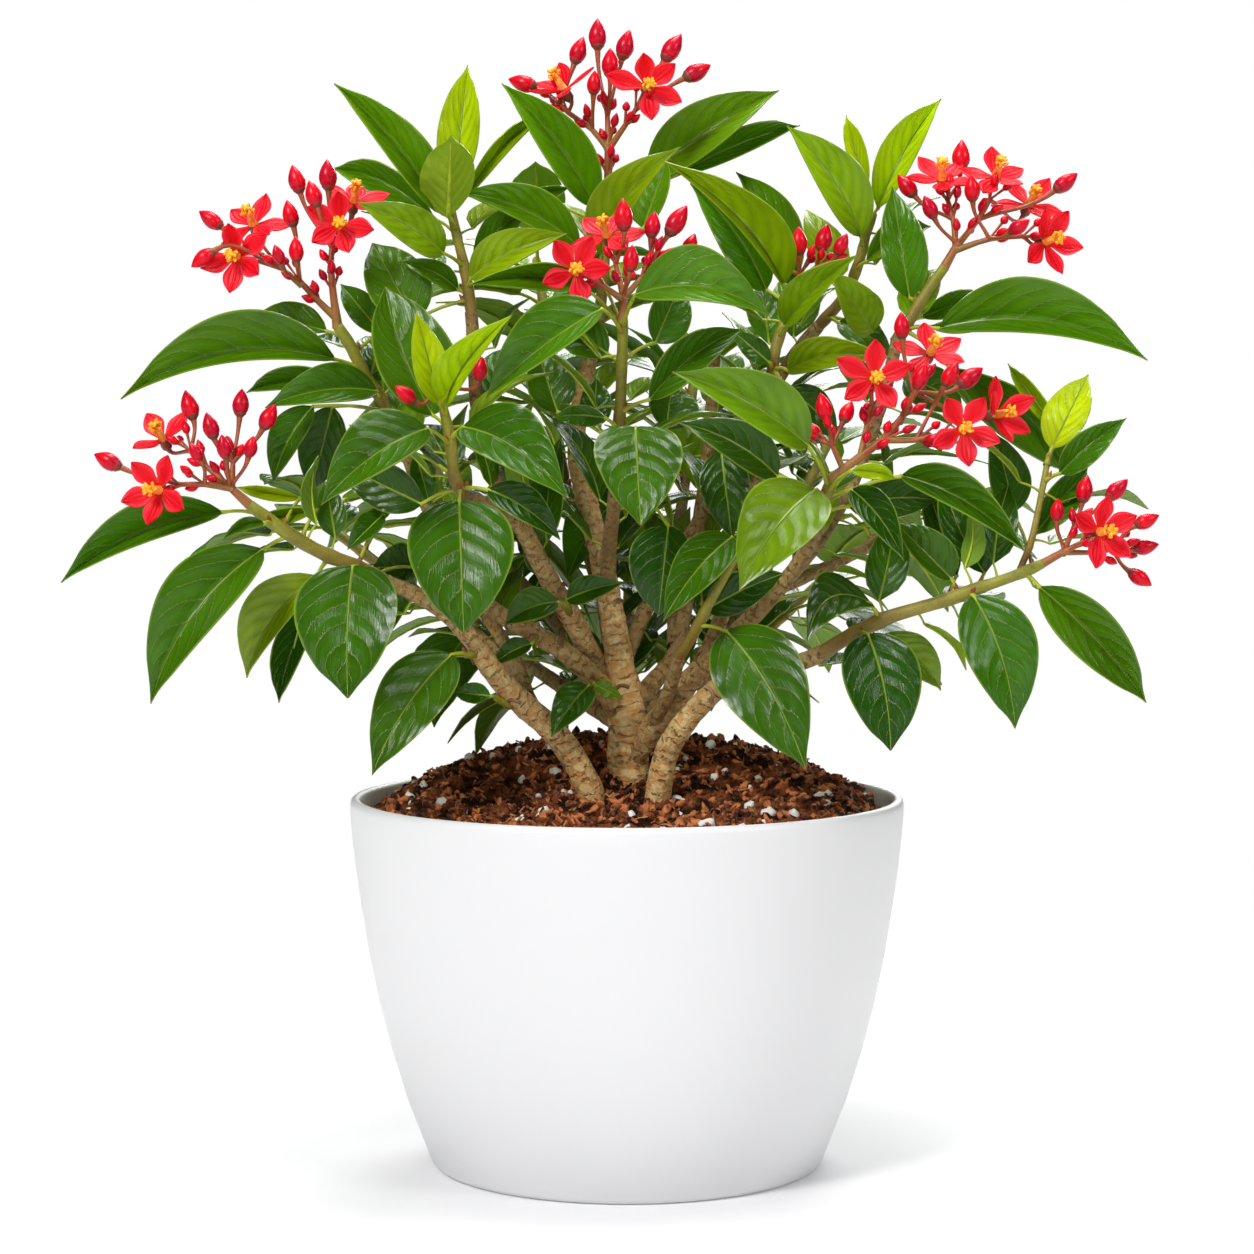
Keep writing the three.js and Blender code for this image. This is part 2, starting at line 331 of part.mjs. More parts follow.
// The heads: stalks from the end of the shoot they stand on, then open flowers and buds (base, tip).
const HEADS = {
  top_head: {
    on: 'top',
    stalks: [
      [[-7, 347, -8, 2.0], [-6.8, 356, -8, 2.0], [-6.6, 367, -8, 2.0]],
      [[-6.6, 366, -8, 1.5], [-12.5, 373, -9, 1.3], [-21, 379, -10, 1.2], [-24, 382, -10, 1.1]],
      [[-6.6, 366, -8, 1.5], [-7, 378, -11, 1.3]],
      [[-6.6, 366, -8, 1.5], [-1, 374, -4, 1.3], [3, 380, -2, 1.1]],
    ],
    flowers: [
      flower([7, 388, 1], [8, 388.5], [[-5.5, 396.5, 1], [7, 399.5, 1], [17, 395.5, 1], [20, 384, 1],
        [12.5, 377, 1]]),
      flower([-22.5, 387, -8], [-27, 394], [[-22, 399, -1], [-31, 394, -1], [-34, 386, 1], [-25, 383, 1],
        [-16, 395, -1]]),
    ],
    buds: [
      [[-10.5, 401, -15], [-10.5, 412.5, -15]], [[-2, 397.5, -13], [1, 408.5, -13]],
      [[13, 397, -12], [19.5, 407, -14]], [[20, 391, -10], [30, 396, -12]],
      [[-19, 396, -17], [-15.5, 406, -18]], [[-6, 391, -8], [-6, 402, -7]],
      [[-32, 388, -14], [-42.5, 391, -16]], [[-12, 385, -3], [-11.5, 394, -1]],
    ],
  },
  left_head: {
    on: 'left',
    stalks: [
      [[-104.6, 306, 27, 2.0], [-105.6, 315, 28, 1.7], [-106.4, 324, 29, 1.5]],
      [[-104.6, 306, 27, 1.7], [-110, 311, 29, 1.6], [-117.5, 319, 33, 1.4]],
      [[-106.4, 323, 29, 1.4], [-106, 331, 28, 1.2]],
      [[-117.5, 318, 33, 1.3], [-124, 323.5, 35, 1.1]],
    ],
    flowers: [
      flower([-103, 339, 33], [-102.5, 339.5], [[-104, 350, 1], [-114.5, 344.5, 1], [-113, 334, 1],
        [-99, 328.5, 1], [-91, 337, 1]]),
      flower([-98, 347, 18], [-96.5, 354], [[-109, 354, -1], [-98, 355.5, -1], [-85.5, 351, -1],
        [-88, 344, 1], [-104, 346, 1]]),
      flower([-140, 328, 39], [-141.5, 328], [[-141, 338.5, 1], [-151.5, 322, 1], [-144, 315, 1],
        [-131.5, 320.5, 1], [-130, 336, 1]]),
      flower([-134, 339, 25], [-136, 345], [[-128, 350, -1], [-142, 346.5, -1], [-124, 338, 1],
        [-146, 337, -1], [-122, 343, -1]]),
    ],
    buds: [
      [[-107, 351, 26], [-107.5, 362.5, 26]], [[-117, 350, 24], [-120, 360.5, 24]],
      [[-119.5, 338, 28], [-122, 348, 28]], [[-118.5, 325.5, 40], [-119, 335, 41]],
      [[-145, 338, 33], [-153.5, 344, 33]], [[-148, 330, 45], [-156.5, 324, 46]],
      [[-124, 325, 44], [-126.5, 332, 46]], [[-111, 345, 36], [-114, 355, 36]],
    ],
  },
  centre_head: {
    on: 'centre',
    stalks: [
      [[-1.4, 309, 48, 1.8], [-1.2, 314, 48, 1.7]],
      [[-1.2, 312, 48, 1.4], [-8, 317, 50, 1.2], [-13, 320, 52, 1.1]],
      [[-1.2, 313, 48, 1.4], [-4, 325, 44, 1.2]],
      [[-1.2, 313, 48, 1.4], [5, 320, 44, 1.2], [9, 326, 42, 1.1]],
    ],
    flowers: [
      flower([-18.5, 322.5, 57], [-18, 323], [[-26, 333, 1], [-12, 334.5, 1], [-6.5, 324, 1],
        [-15.5, 310.5, 1], [-30, 318, 1]]),
      flower([-7, 335, 40], [-9, 341], [[-19, 337.5, -1], [4, 341, -1], [-11, 345, -1], [-3, 345, -1],
        [3, 334, 1]]),
    ],
    buds: [
      [[-1, 336.5, 50], [-1.5, 348.5, 50]], [[8.5, 334, 42], [10, 344, 42]],
      [[14.5, 335, 38], [21.5, 346, 36]], [[1, 322, 55], [2, 332, 56]],
      [[12, 325, 48], [17, 331, 50]], [[21, 328, 30], [24.5, 336, 28]],
    ],
  },
  mid_right_head: {
    on: 'mid_right',
    stalks: [
      [[60, 316, 8, 1.5], [62, 321, 8, 1.3]],
      [[61, 319, 8, 1.2], [68, 324, 9, 1.1]],
    ],
    flowers: [],
    buds: [
      [[62, 328, 12], [61.5, 338.5, 13]], [[69.5, 329, 6], [72, 339.5, 5]], [[75, 328, 14], [79, 336, 15]],
      [[55, 326, 2], [51, 335, -2]],
    ],
  },
  upper_right_head: {
    on: 'upper_right',
    stalks: [
      [[115.5, 326.5, 10, 1.9], [118.5, 332, 10, 1.7]],
      [[118, 331, 10, 1.4], [117, 341, 6, 1.2], [115, 348, 3, 1.1]],
      [[118, 331, 10, 1.4], [126, 341, 8, 1.3], [130, 348, 7, 1.1]],
      [[118, 330, 10, 1.4], [130, 334, 14, 1.3], [142, 335, 17, 1.1]],
    ],
    flowers: [
      flower([113, 355, 2], [112.5, 362], [[100, 356, 1], [105, 364, -1], [120.5, 362, -1], [124, 354, 1],
        [112, 350, 1]]),
      flower([132, 356, 4], [134, 362.5], [[142, 361, -1], [129, 368, -1], [121.5, 361, -1], [128, 350, 1],
        [139.5, 352, 1]]),
      flower([150, 333, 20], [155, 334.5], [[158.5, 341, 1], [150, 345, 1], [162.5, 329, 1],
        [156, 321.5, 1], [146, 323, 1]]),
      flower([144, 346, -6], [146.5, 352], [[139, 356, -1], [155, 350, -1], [150, 357, -1], [149, 341, 1],
        [134.5, 347, -1]]),
    ],
    buds: [
      [[119.5, 358, -8], [120, 369.5, -9]], [[103.5, 349, -4], [97, 357, -6]],
      [[124, 347, 16], [123.5, 357, 18]], [[153, 351, 6], [161.5, 357.5, 6]],
      [[110.5, 341, 12], [106.5, 349.5, 13]], [[137, 336, 26], [144.5, 341, 30]],
    ],
  },
  right_centre_head: {
    on: 'right_centre',
    stalks: [
      [[76, 251, 61, 2.0], [84, 256, 61, 1.9], [92, 262, 60, 1.8], [99, 270, 58, 1.6]],
      [[84, 256, 61, 1.3], [86, 266, 60, 1.1], [88, 274, 58, 1.1]],
      [[92, 262, 60, 1.4], [104, 262, 62, 1.3], [113, 264, 63, 1.1]],
      [[77.5, 252.5, 61, 1.2], [74, 260, 62, 1.1]],
      [[98.5, 269, 58, 1.3], [103, 279, 54, 1.1]],
    ],
    flowers: [
      flower([89, 284, 63], [89.5, 284.5], [[88, 298, 1], [76, 292, 1], [78, 277, 1], [96, 273.5, 1],
        [101, 289, 1]]),
      flower([121, 266, 68], [121.5, 266.5], [[114, 277, 1], [128, 277, 1], [133.5, 261, 1],
        [123, 252.5, 1], [110, 260, 1]]),
      flower([109, 293, 42], [111, 298.5], [[98, 296, -1], [118, 301, -1], [120.5, 290, 1], [108, 305, -1],
        [101, 285, 1]]),
      flower([132.5, 271, 50], [138.5, 272.5], [[138, 283, -1], [145.5, 270, 1], [142, 262, 1],
        [133, 281.5, 1], [147, 279, -1]]),
    ],
    buds: [
      [[99, 298, 52], [98.5, 308, 52]], [[114, 281, 60], [119, 290, 61]], [[119, 281, 50], [128, 288, 48]],
      [[104, 280, 66], [107.5, 289.5, 69]], [[72, 269, 66], [69.5, 279, 67]], [[70, 262, 60],
        [63.5, 268.5, 58]],
      [[77.5, 268, 56], [81, 276, 53]],
    ],
  },
  low_left_head: {
    on: 'low_left',
    stalks: [
      [[-138, 240.5, 52, 2.0], [-143, 245, 53, 1.8]],
      [[-142.5, 244.5, 53, 1.4], [-152, 246, 56, 1.3], [-161, 246, 60, 1.1]],
      [[-142.5, 244.5, 53, 1.4], [-151, 252, 50, 1.3], [-157, 258, 47, 1.1]],
      [[-142.5, 244.5, 53, 1.4], [-142, 254, 52, 1.1]],
    ],
    flowers: [
      flower([-168.5, 244, 64], [-172, 244.5], [[-164.5, 256.5, 1], [-178, 254, 1], [-182, 240, 1],
        [-172, 231.5, 1], [-159.5, 237.5, 1]]),
      flower([-167, 262, 44], [-169.5, 268], [[-172, 273, -1], [-161.5, 272.5, -1], [-176, 261.5, 1]]),
    ],
    buds: [
      [[-182, 252, 54], [-192, 257, 53]], [[-156, 269, 44], [-159, 280, 43]],
      [[-148.5, 262, 52], [-151.5, 272, 52]], [[-139.5, 270, 47], [-138.5, 280.5, 46]],
      [[-144.5, 255, 62], [-146, 264, 64]], [[-131.5, 265.5, 49], [-126.5, 275, 48]],
      [[-136.5, 255.5, 57], [-134.5, 263.5, 59]], [[-153.5, 254.5, 64], [-157.5, 261, 66]],
    ],
  },
  low_right_head: {
    on: 'low_right',
    stalks: [
      [[152.5, 218.8, 63.5, 1.7], [158, 222, 65, 1.6]],
      [[157.5, 221.5, 65, 1.3], [164, 225, 66, 1.1]],
      [[157.5, 221.5, 65, 1.2], [161, 230, 62, 1.1]],
      [[157.5, 221.5, 65, 1.2], [168, 221.5, 62, 1.1], [175, 222.5, 60, 1.0]],
    ],
    flowers: [
      flower([170.5, 229, 71], [174, 229.5], [[161, 236, 1], [171.5, 242, 1], [182.5, 234, 1],
        [181, 219.5, 1], [169, 216, 1]]),
    ],
    buds: [
      [[164, 239, 58], [166, 249.5, 57]], [[173, 240.5, 58], [180.5, 248, 57]], [[183, 231, 60],
        [192, 235, 60]],
      [[182.5, 222.5, 60], [192, 224.5, 60]], [[181, 215, 64], [189.5, 209.5, 65]], [[155, 232.5, 64],
        [155.5, 241, 65]],
    ],
  },
  front_left_head: {
    on: 'front_left',
    stalks: [
      [[-67, 278, 60, 1.3], [-68, 281, 60.5, 1.2]],
    ],
    flowers: [],
    buds: [
      [[-76, 275.5, 70], [-83.5, 281.5, 72]], [[-53.5, 283, 64], [-52, 292, 66]], [[-60, 289, 52],
        [-57.5, 297, 49]],
    ],
  },
};

// Shoots on the far side, as [x, y, z]: the branch each stands on, where it leaves that branch and how it
// runs; the leaves go round it by rule, each a golden turn on from the one below.
const FAR_SHOOTS = {
  back_a: { root: [-3, 2, 168, 4.0], bend: [-28, 40, 196], base: [-58, 66, 226], tip: [-80, 86, 262],
    turn: 0.3, head: true },
  back_b: { root: [-4, 2, 185, 3.4], bend: [-12, 42, 212], base: [-24, 80, 246], tip: [-30, 98, 290],
    turn: 2.1 },
  back_c: { root: [17.5, 3, 187, 3.2], bend: [18, 42, 214], base: [22, 78, 244], tip: [26, 100, 286],
    turn: 4.0 },
  back_d: { root: [5, 4, 158, 4.2], bend: [34, 34, 186], base: [58, 62, 222], tip: [78, 82, 262],
    turn: 1.2 },
  back_e: { root: [-40, -6, 181, 2.8], bend: [-62, 12, 196], base: [-86, 26, 212], tip: [-114, 38, 232],
    turn: 5.0 },
  back_f: { root: [34, -20, 202, 2.8], bend: [60, 10, 210], base: [88, 28, 222], tip: [118, 42, 246],
    turn: 0.9 },
  back_g: { root: [-13, 4, 234, 2.8], bend: [-18, 24, 256], base: [-26, 38, 284], tip: [-34, 52, 330],
    turn: 2.9 },
  back_i: { root: [0, 3, 152, 4.2], bend: [0, 50, 172], base: [1, 92, 192], tip: [0, 124, 214], turn: 1.8 },
  back_j: { root: [-3, 3, 160, 4.0], bend: [-28, 44, 172], base: [-52, 82, 186], tip: [-74, 108, 204],
    turn: 4.4 },
  back_k: { root: [4, 3, 164, 3.8], bend: [30, 46, 174], base: [54, 84, 188], tip: [76, 108, 206],
    turn: 3.3 },
};

// Which branches grow from one foot in the soil, and so are one piece of wood.
const STANDS = {
  trunk_wood: [
    'trunk', 'left', 'front_left', 'top_left', 'centre', 'top_right', 'back_centre', 'right_centre', 'upper_right',
    'mid_right', 'low_centre', 'back_a', 'back_b', 'back_c', 'back_d', 'back_f', 'back_g', 'back_i',
    'back_j', 'back_k',
  ],
  left_wood: ['low_left', 'back_left', 'back_e'],
  right_wood: ['low_right'],
};

const lerp = (a, b, t) => a + (b - a) * t;
const vec = (x, y, z) => new THREE.Vector3(x, y, z);
const unit = (v) => v.clone().normalize();

// A smooth path through the given points, with its radius, cut about every `step`.
function path(points, radii, step) {
  const n = points.length;
  const at = (i) => {
    if (i < 0) return points[0].clone().multiplyScalar(2).sub(points[1]);
    if (i >= n) return points[n - 1].clone().multiplyScalar(2).sub(points[n - 2]);
    return points[i];
  };
  const out = { points: [], radii: [] };
  for (let i = 0; i < n - 1; i++) {
    const [a, b, c, d] = [at(i - 1), at(i), at(i + 1), at(i + 2)];
    const cuts = Math.max(1, Math.round(b.distanceTo(c) / step));
    for (let k = 0; k < cuts; k++) {
      const t = k / cuts;
      const mix = (p, q, r, s) => 0.5 * (2 * q + (r - p) * t + (2 * p - 5 * q + 4 * r - s) * t * t
        + (3 * q - p - 3 * r + s) * t * t * t);
      out.points.push(vec(mix(a.x, b.x, c.x, d.x), mix(a.y, b.y, c.y, d.y), mix(a.z, b.z, c.z, d.z)));
      out.radii.push(lerp(radii[i], radii[i + 1], t));
    }
  }
  out.points.push(points[n - 1].clone());
  out.radii.push(radii[n - 1]);
  return out;
}

function solidOf(points, faces) {
  return new wasm.Manifold(new wasm.Mesh({
    numProp: 3,
    vertProperties: new Float32Array(points.flatMap((p) => [p.x, p.y, p.z])),
    triVerts: new Uint32Array(faces.flat()),
  }));
}

// A closed solid through rings of points; a ring of a single point is a tip. `alike` lays the cuts of
// the second half of each ring as in the first half, which keeps both faces of a blade alike.
function skin(rings, alike = false) {
  const positions = rings.flat();
  const faces = [];
  let start = 0;
  const cap = (from, count, flip) => {
    for (let k = 1; k + 1 < count; k++) {
      faces.push(flip ? [from, from + k + 1, from + k] : [from, from + k, from + k + 1]);
    }
  };
  cap(0, rings[0].length, true);
  for (let i = 0; i + 1 < rings.length; i++) {
    const here = rings[i].length;
    const next = rings[i + 1].length;
    const after = start + here;
    for (let k = 0; k < Math.max(here, next); k++) {
      const a = start + k % here;
      const b = start + (k + 1) % here;
      const c = after + k % next;
      const d = after + (k + 1) % next;
      if (here === 1) faces.push([a, d, c]);
      else if (next === 1) faces.push([a, b, c]);
      else if (alike && k * 2 >= here) faces.push([a, b, d], [a, d, c]);
      else faces.push([a, b, c], [b, d, c]);
    }
    start = after;
  }
  cap(start, rings[rings.length - 1].length, false);
  return solidOf(positions, faces);
}

// A round stem along a path. `lead` is the way its first end faces, when that isn't along the path.
function tube({ points, radii }, sides, lead = null) {
  let side = null;
  return skin(points.map((p, i) => {
    const before = points[Math.max(i - 1, 0)];
    const after = points[Math.min(i + 1, points.length - 1)];
    const along = i === 0 && lead ? lead.clone() : unit(after.clone().sub(before));
    if (side === null) side = Math.abs(along.z) < 0.9 ? vec(0, 0, 1) : vec(1, 0, 0);
    side = unit(side.clone().sub(along.clone().multiplyScalar(side.dot(along))));
    const other = along.clone().cross(side);
    return Array.from({ length: sides }, (_, k) => {
      const turn = (2 * Math.PI * k) / sides;
      return p.clone()
        .add(side.clone().multiplyScalar(radii[i] * Math.cos(turn)))
        .add(other.clone().multiplyScalar(radii[i] * Math.sin(turn)));
    });
  }));
}

// The form of a blade between two points. Each half stands off the rib by its own direction, so a blade
// can be folded and turned; `across` and `face` are the blade's left-hand side and the way its upper face looks.
function bladeForm(foot, tip, face, halves, bow, arch, wave, spread) {
  const chord = tip.clone().sub(foot);
  const across = unit(face.clone().cross(unit(chord)));
  const up = unit(unit(chord).cross(across));
  return { foot, chord, length: chord.length(), across, up, halves, bow, arch, wave, spread };
}

const ribAt = (form, v) => form.foot.clone()
  .add(form.chord.clone().multiplyScalar(v))
  .add(form.across.clone().multiplyScalar(form.bow * 4 * v * (1 - v)))
  .add(form.up.clone().multiplyScalar(form.arch * 4 * v * (1 - v)));

function widthAt([rise, fall], v) {
  const peak = rise / (rise + fall);
  return (v / peak) ** rise * ((1 - v) / (1 - peak)) ** fall;
}

// The point at `v` of the blade's length and `u` of its half width, -1 at the left edge, 1 at the right.
function bladeAt(form, v, u) {
  const [reach, tilt] = form.halves[u < 0 ? 0 : 1];
  const out = Math.abs(u) * reach * widthAt(form.spread, v);
  const ripple = form.wave * Math.abs(u) * Math.sin(v * 11 + (u < 0 ? 0 : 1.7)) * Math.sin(Math.PI * v);
  return ribAt(form, v)
    .add(form.across.clone().multiplyScalar((u < 0 ? 1 : -1) * out * Math.cos(tilt)))
    .add(form.up.clone().multiplyScalar(out * Math.sin(tilt) + ripple));
}

// A four-sided ring about `p`, its first point to the side `across`, seen along `along`.
function diamond(p, along, across, reach) {
  const side = unit(across.clone().sub(along.clone().multiplyScalar(across.dot(along))));
  const over = along.clone().cross(side);
  return [
    p.clone().add(side.clone().multiplyScalar(reach)), p.clone().add(over.clone().multiplyScalar(reach)),
    p.clone().sub(side.clone().multiplyScalar(reach)), p.clone().sub(over.clone().multiplyScalar(reach)),
  ];
}

// The solid of a leaf, its stalk included: the blade is thickest at the rib and thin at its edge.
function leafSolid(form, stalk, stations, flat) {
  const ring = (v) => {
    const rib = ribAt(form, v);
    const lift = form.up.clone().multiplyScalar(flat ? LEAF_THICK : LEAF_THICK / 2);
    const [left, right] = [bladeAt(form, v, -1), bladeAt(form, v, 1)];
    return flat ? [left, right, rib.sub(lift)] : [left, rib.clone().add(lift), right, rib.clone().sub(lift)];
  };
  const [root, foot] = stalk.points;
  const rising = unit(foot.clone().sub(root));
  const turning = unit(rising.clone().add(unit(form.chord)));
  const round = (p, along, radius) => {
    const [left, over, right, under] = diamond(p, along, form.across, radius);
    return flat ? [left.lerp(over, 0.4), right.lerp(over, 0.4), under] : [left, over, right, under];
  };
  return skin([
    round(root, rising, stalk.radii[0]), round(foot, turning, stalk.radii[1]), ...stations.map(ring),
    [ribAt(form, 1)],
  ], !flat);
}

// The solid of a bud on its stalk.
function budSolid(foot, base, tip) {
  const rising = unit(base.clone().sub(foot));
  const along = unit(tip.clone().sub(base));
  const side = unit(Math.abs(along.z) < 0.9 ? vec(0, 0, 1).cross(along) : vec(1, 0, 0).cross(along));
  const rows = BUD_ROWS.map(([t, r]) => diamond(base.clone().lerp(tip, t), along, side, r));
  return skin([diamond(foot, rising, side, PEDICEL_RADIUS), ...rows, [tip]]);
}

// An open flower's petals, in order round its axis: the traced directions, pushed apart where two lie too
// near each other. `reach` goes from the centre to the petal's tip.
function openPetals(centre, axis, tips) {
  const spin = tips.map((tip) => tip.clone().sub(centre));
  const east = unit(Math.abs(axis.z) < 0.9 ? vec(0, 0, 1).cross(axis) : vec(1, 0, 0).cross(axis));
  const north = axis.clone().cross(east);
  const petals = spin.map((v) => ({
    turn: Math.atan2(v.dot(north), v.dot(east)),
    rise: Math.min(Math.max(v.dot(axis) / PETAL_LENGTH, -0.25), 0.6),
    size: Math.min(Math.max(v.length(), PETAL_LENGTH * 0.85), PETAL_LENGTH * 1.12),
  })).sort((a, b) => a.turn - b.turn);
  const least = Math.min(PETAL_APART, (2 * Math.PI) / petals.length);
  for (let round = 0; round < 60; round++) {
    petals.forEach((petal, i) => {
      const next = petals[(i + 1) % petals.length];
      const gap = next.turn - petal.turn + (i + 1 === petals.length ? 2 * Math.PI : 0);
      if (gap < least) {
        petal.turn -= (least - gap) / 2;
        next.turn += (least - gap) / 2;
      }
    });
  }
  for (const petal of petals) {
    const flat = Math.sqrt(1 - petal.rise ** 2);
    petal.reach = east.clone().multiplyScalar(Math.cos(petal.turn) * flat)
      .add(north.clone().multiplyScalar(Math.sin(petal.turn) * flat))
      .add(axis.clone().multiplyScalar(petal.rise)).multiplyScalar(petal.size);
  }
  return { centre, axis, east, north, petals };
}

// The solid of an open flower: the petals meet round its heart, whose column rises before them
// and whose calyx narrows behind.
function flowerSolid({ centre, axis, east, north, petals: order }) {
  const points = [
    centre.clone().add(axis.clone().multiplyScalar(COLUMN_LENGTH)),
    centre.clone().add(axis.clone().multiplyScalar(-CALYX_LENGTH)),
  ];
  const n = order.length;
  order.forEach(({ turn }, i) => {
    const gap = ((order[(i + 1) % n].turn - turn + 2 * Math.PI) % (2 * Math.PI)) / 2;
    const neck = centre.clone()
      .add(east.clone().multiplyScalar(HEART_RADIUS * Math.cos(turn + gap)))
      .add(north.clone().multiplyScalar(HEART_RADIUS * Math.sin(turn + gap)));
    const lift = axis.clone().multiplyScalar(PETAL_THICK / 2);
    points.push(neck.clone().add(lift), neck.clone().sub(lift));
  });
  const faces = [];
  order.forEach(({ reach: v }, i) => {
    const along = unit(v);
    const across = unit(axis.clone().cross(along));
    const over = unit(along.clone().cross(across));
    const rib = centre.clone().add(v.clone().multiplyScalar(0.62)).add(over.clone().multiplyScalar(-0.8));
    const [left, right, tip, top, under] = [0, 1, 2, 3, 4].map((k) => points.length + k);
    points.push(
      rib.clone().add(across.clone().multiplyScalar(PETAL_HALF)).add(over.clone().multiplyScalar(0.6)),
      rib.clone().sub(across.clone().multiplyScalar(PETAL_HALF)).add(over.clone().multiplyScalar(0.6)),
      centre.clone().add(v), rib.clone().add(over.clone().multiplyScalar(PETAL_THICK / 2)),
      rib.clone().sub(over.clone().multiplyScalar(PETAL_THICK / 2)),
    );
    const before = 2 + 2 * ((i + n - 1) % n);
    const after = 2 + 2 * i;
    faces.push(
      [before, right, top], [right, tip, top], [tip, left, top], [left, after, top], [after, before, top],
      [right, before + 1, under], [tip, right, under], [left, tip, under], [after + 1, left, under],
      [before + 1, after + 1, under], [before + 1, right, before], [after, left, after + 1],
      [before, after, 0], [after + 1, before + 1, 1],
    );
  });
  return solidOf(points, faces);
}

// The leaf form that shows as a row of LEAVES says, its tip and foot brought nearer by `shift`.
function tracedForm(row, shift) {
  const foot = seen([...row.foot, row.near[0] + shift[1]]);
  const tip = seen([...row.tip, row.near[1] + shift[0]]);
  const view = unit(EYE.clone().sub(foot.clone().lerp(tip, 0.5)));
  const length = foot.distanceTo(tip);
  const half = Math.max(row.left, row.right, HALF_PER_LENGTH * length);
  const fold = (shown) => {
    const tilt = Math.min(Math.max(Math.acos(Math.min(shown / half, 1)), LEAST_FOLD), STEEPEST_FOLD);
    return [shown / Math.cos(tilt), tilt];
  };
  const halves = [fold(row.left), fold(row.right)];
  const broad = halves[0][0] + halves[1][0] > BROAD * length;
  const form = bladeForm(foot, tip, view, halves, row.bow, ARCH * length, EDGE_WAVE, broad ? BROAD_SPREAD : SPREAD);
  if (row.under) {
    form.up.negate();
    form.arch *= 0.5;
  }
  return form;
}

// What already stands where: sample points with the radius of the piece they lie in, sorted into cells.
const cells = new Map();
const cellOf = (p) => [p.x, p.y, p.z].map((c) => Math.floor(c / CELL));

function occupy(p, radius, owner) {
  const key = cellOf(p).join();
  if (!cells.has(key)) cells.set(key, []);
  cells.get(key).push({ p, radius, owner });
}

// How far, at worst, `p` falls short of keeping `gap` from other pieces, and `own` from its own piece.
function shortfall(p, owner, gap, own) {
  let worst = 0;
  if (p.z < POT_HEIGHT + 3 && Math.hypot(p.x, p.y) < RIM_RADIUS + 4) worst = POT_HEIGHT + 3 - p.z;
  if (Math.hypot(p.x, p.y) < RIM_RADIUS && p.z < soilHeight(p.x, p.y) + 4) {
    worst = Math.max(worst, soilHeight(p.x, p.y) + 4 - p.z);
  }
  const [i, j, k] = cellOf(p);
  for (let a = i - 1; a <= i + 1; a++) {
    for (let b = j - 1; b <= j + 1; b++) {
      for (let c = k - 1; c <= k + 1; c++) {
        for (const item of cells.get(`${a},${b},${c}`) ?? []) {
          const need = item.radius + (item.owner === owner ? own : gap);
          worst = Math.max(worst, need - p.distanceTo(item.p));
        }
      }
    }
  }
  return worst;
}

function occupyPath({ points, radii }, owner) {
  for (let i = 0; i + 1 < points.length; i++) {
    const steps = Math.max(1, Math.ceil(points[i].distanceTo(points[i + 1]) / SAMPLE_STEP));
    for (let k = 0; k <= steps; k++) {
      const t = k / steps;
      occupy(points[i].clone().lerp(points[i + 1], t), lerp(radii[i], radii[i + 1], t), owner);
    }
  }
}

// Points spread over a blade, with how far along it they are.
function bladeSamples(form) {
  const rows = Math.max(3, Math.ceil(form.length / SAMPLE_STEP));
  const out = [];
  for (let i = 0; i < rows; i++) {
    const v = (i + 0.5) / rows;
    const half = Math.max(form.halves[0][0], form.halves[1][0]) * widthAt(form.spread, v);
    const columns = Math.max(1, Math.ceil(half / SAMPLE_STEP));
    for (let j = -columns; j <= columns; j++) out.push([v, bladeAt(form, v, j / columns)]);
  }
  return out;
}

// A leaf's stalk, from the axis of its shoot to just inside the blade; the lowest fit point of the shoot carries it.
function stalkOf(form, axis) {
  let best = null;
  for (const p of axis.roots) {
    const reach = p.distanceTo(form.foot);
    const cost = reach + Math.max(0, p.z - form.foot.z + 0.35 * reach) * 1.2;
    if (best === null || cost < best.cost) best = { cost, p };
  }
  return { points: [best.p.clone(), form.foot.clone()],
    radii: [PETIOLE_RADIUS * 1.1, PETIOLE_RADIUS * 0.9] };
}

// How badly a leaf would crowd what already stands.
function crowding(form, stalk, axis, owner) {
  let worst = 0;
  for (const [v, p] of bladeSamples(form)) {
    worst = Math.max(worst, shortfall(p, owner, BLADE_GAP, v > 0.3 ? SIBLING_GAP : -100));
    if (worst > 4) return worst;
  }
  const [from, to] = stalk.points;
  const steps = Math.max(1, Math.ceil(from.distanceTo(to) / SAMPLE_STEP));
  for (let k = 0; k <= steps; k++) {
    const p = from.clone().lerp(to, k / steps);
    if (p.distanceTo(from) > ROOT_FREE) worst = Math.max(worst, shortfall(p, owner, STALK_GAP, -100));
  }
  return worst;
}

function occupyLeaf(form, stalk, owner) {
  for (const [, p] of bladeSamples(form)) occupy(p, LEAF_THICK / 2, owner);
  occupyPath(stalk, owner);
}

// The ways a leaf may be brought nearer or farther, the least first: [tip, foot].
const SHIFTS = [];
for (let tip = -60; tip <= 60; tip += 5) {
  for (const foot of [0, -6, 6, -12, 12]) SHIFTS.push([tip, foot]);
}
SHIFTS.sort((a, b) => Math.abs(a[0]) + 2 * Math.abs(a[1]) - Math.abs(b[0]) - 2 * Math.abs(b[1])
  || b[0] - a[0] || b[1] - a[1]);

// The pot's section, outside from the foot to the lip and inside back down to the floor, as [radius, height].
const POT_OUTSIDE = [
  [FOOT_RADIUS - FOOT_ROUND, 0], [FOOT_RADIUS + 0.3, FOOT_ROUND - 0.4], [80.2, 25.3], [89.6, 58.3],
  [96.2, 95],
  [99.4, 120.6], [RIM_RADIUS, 131.3], [98.4, POT_HEIGHT], [96.2, 132],
];
const POT_INSIDE = [[95.6, 120.6], [85.4, 58.3], [66, FLOOR]];

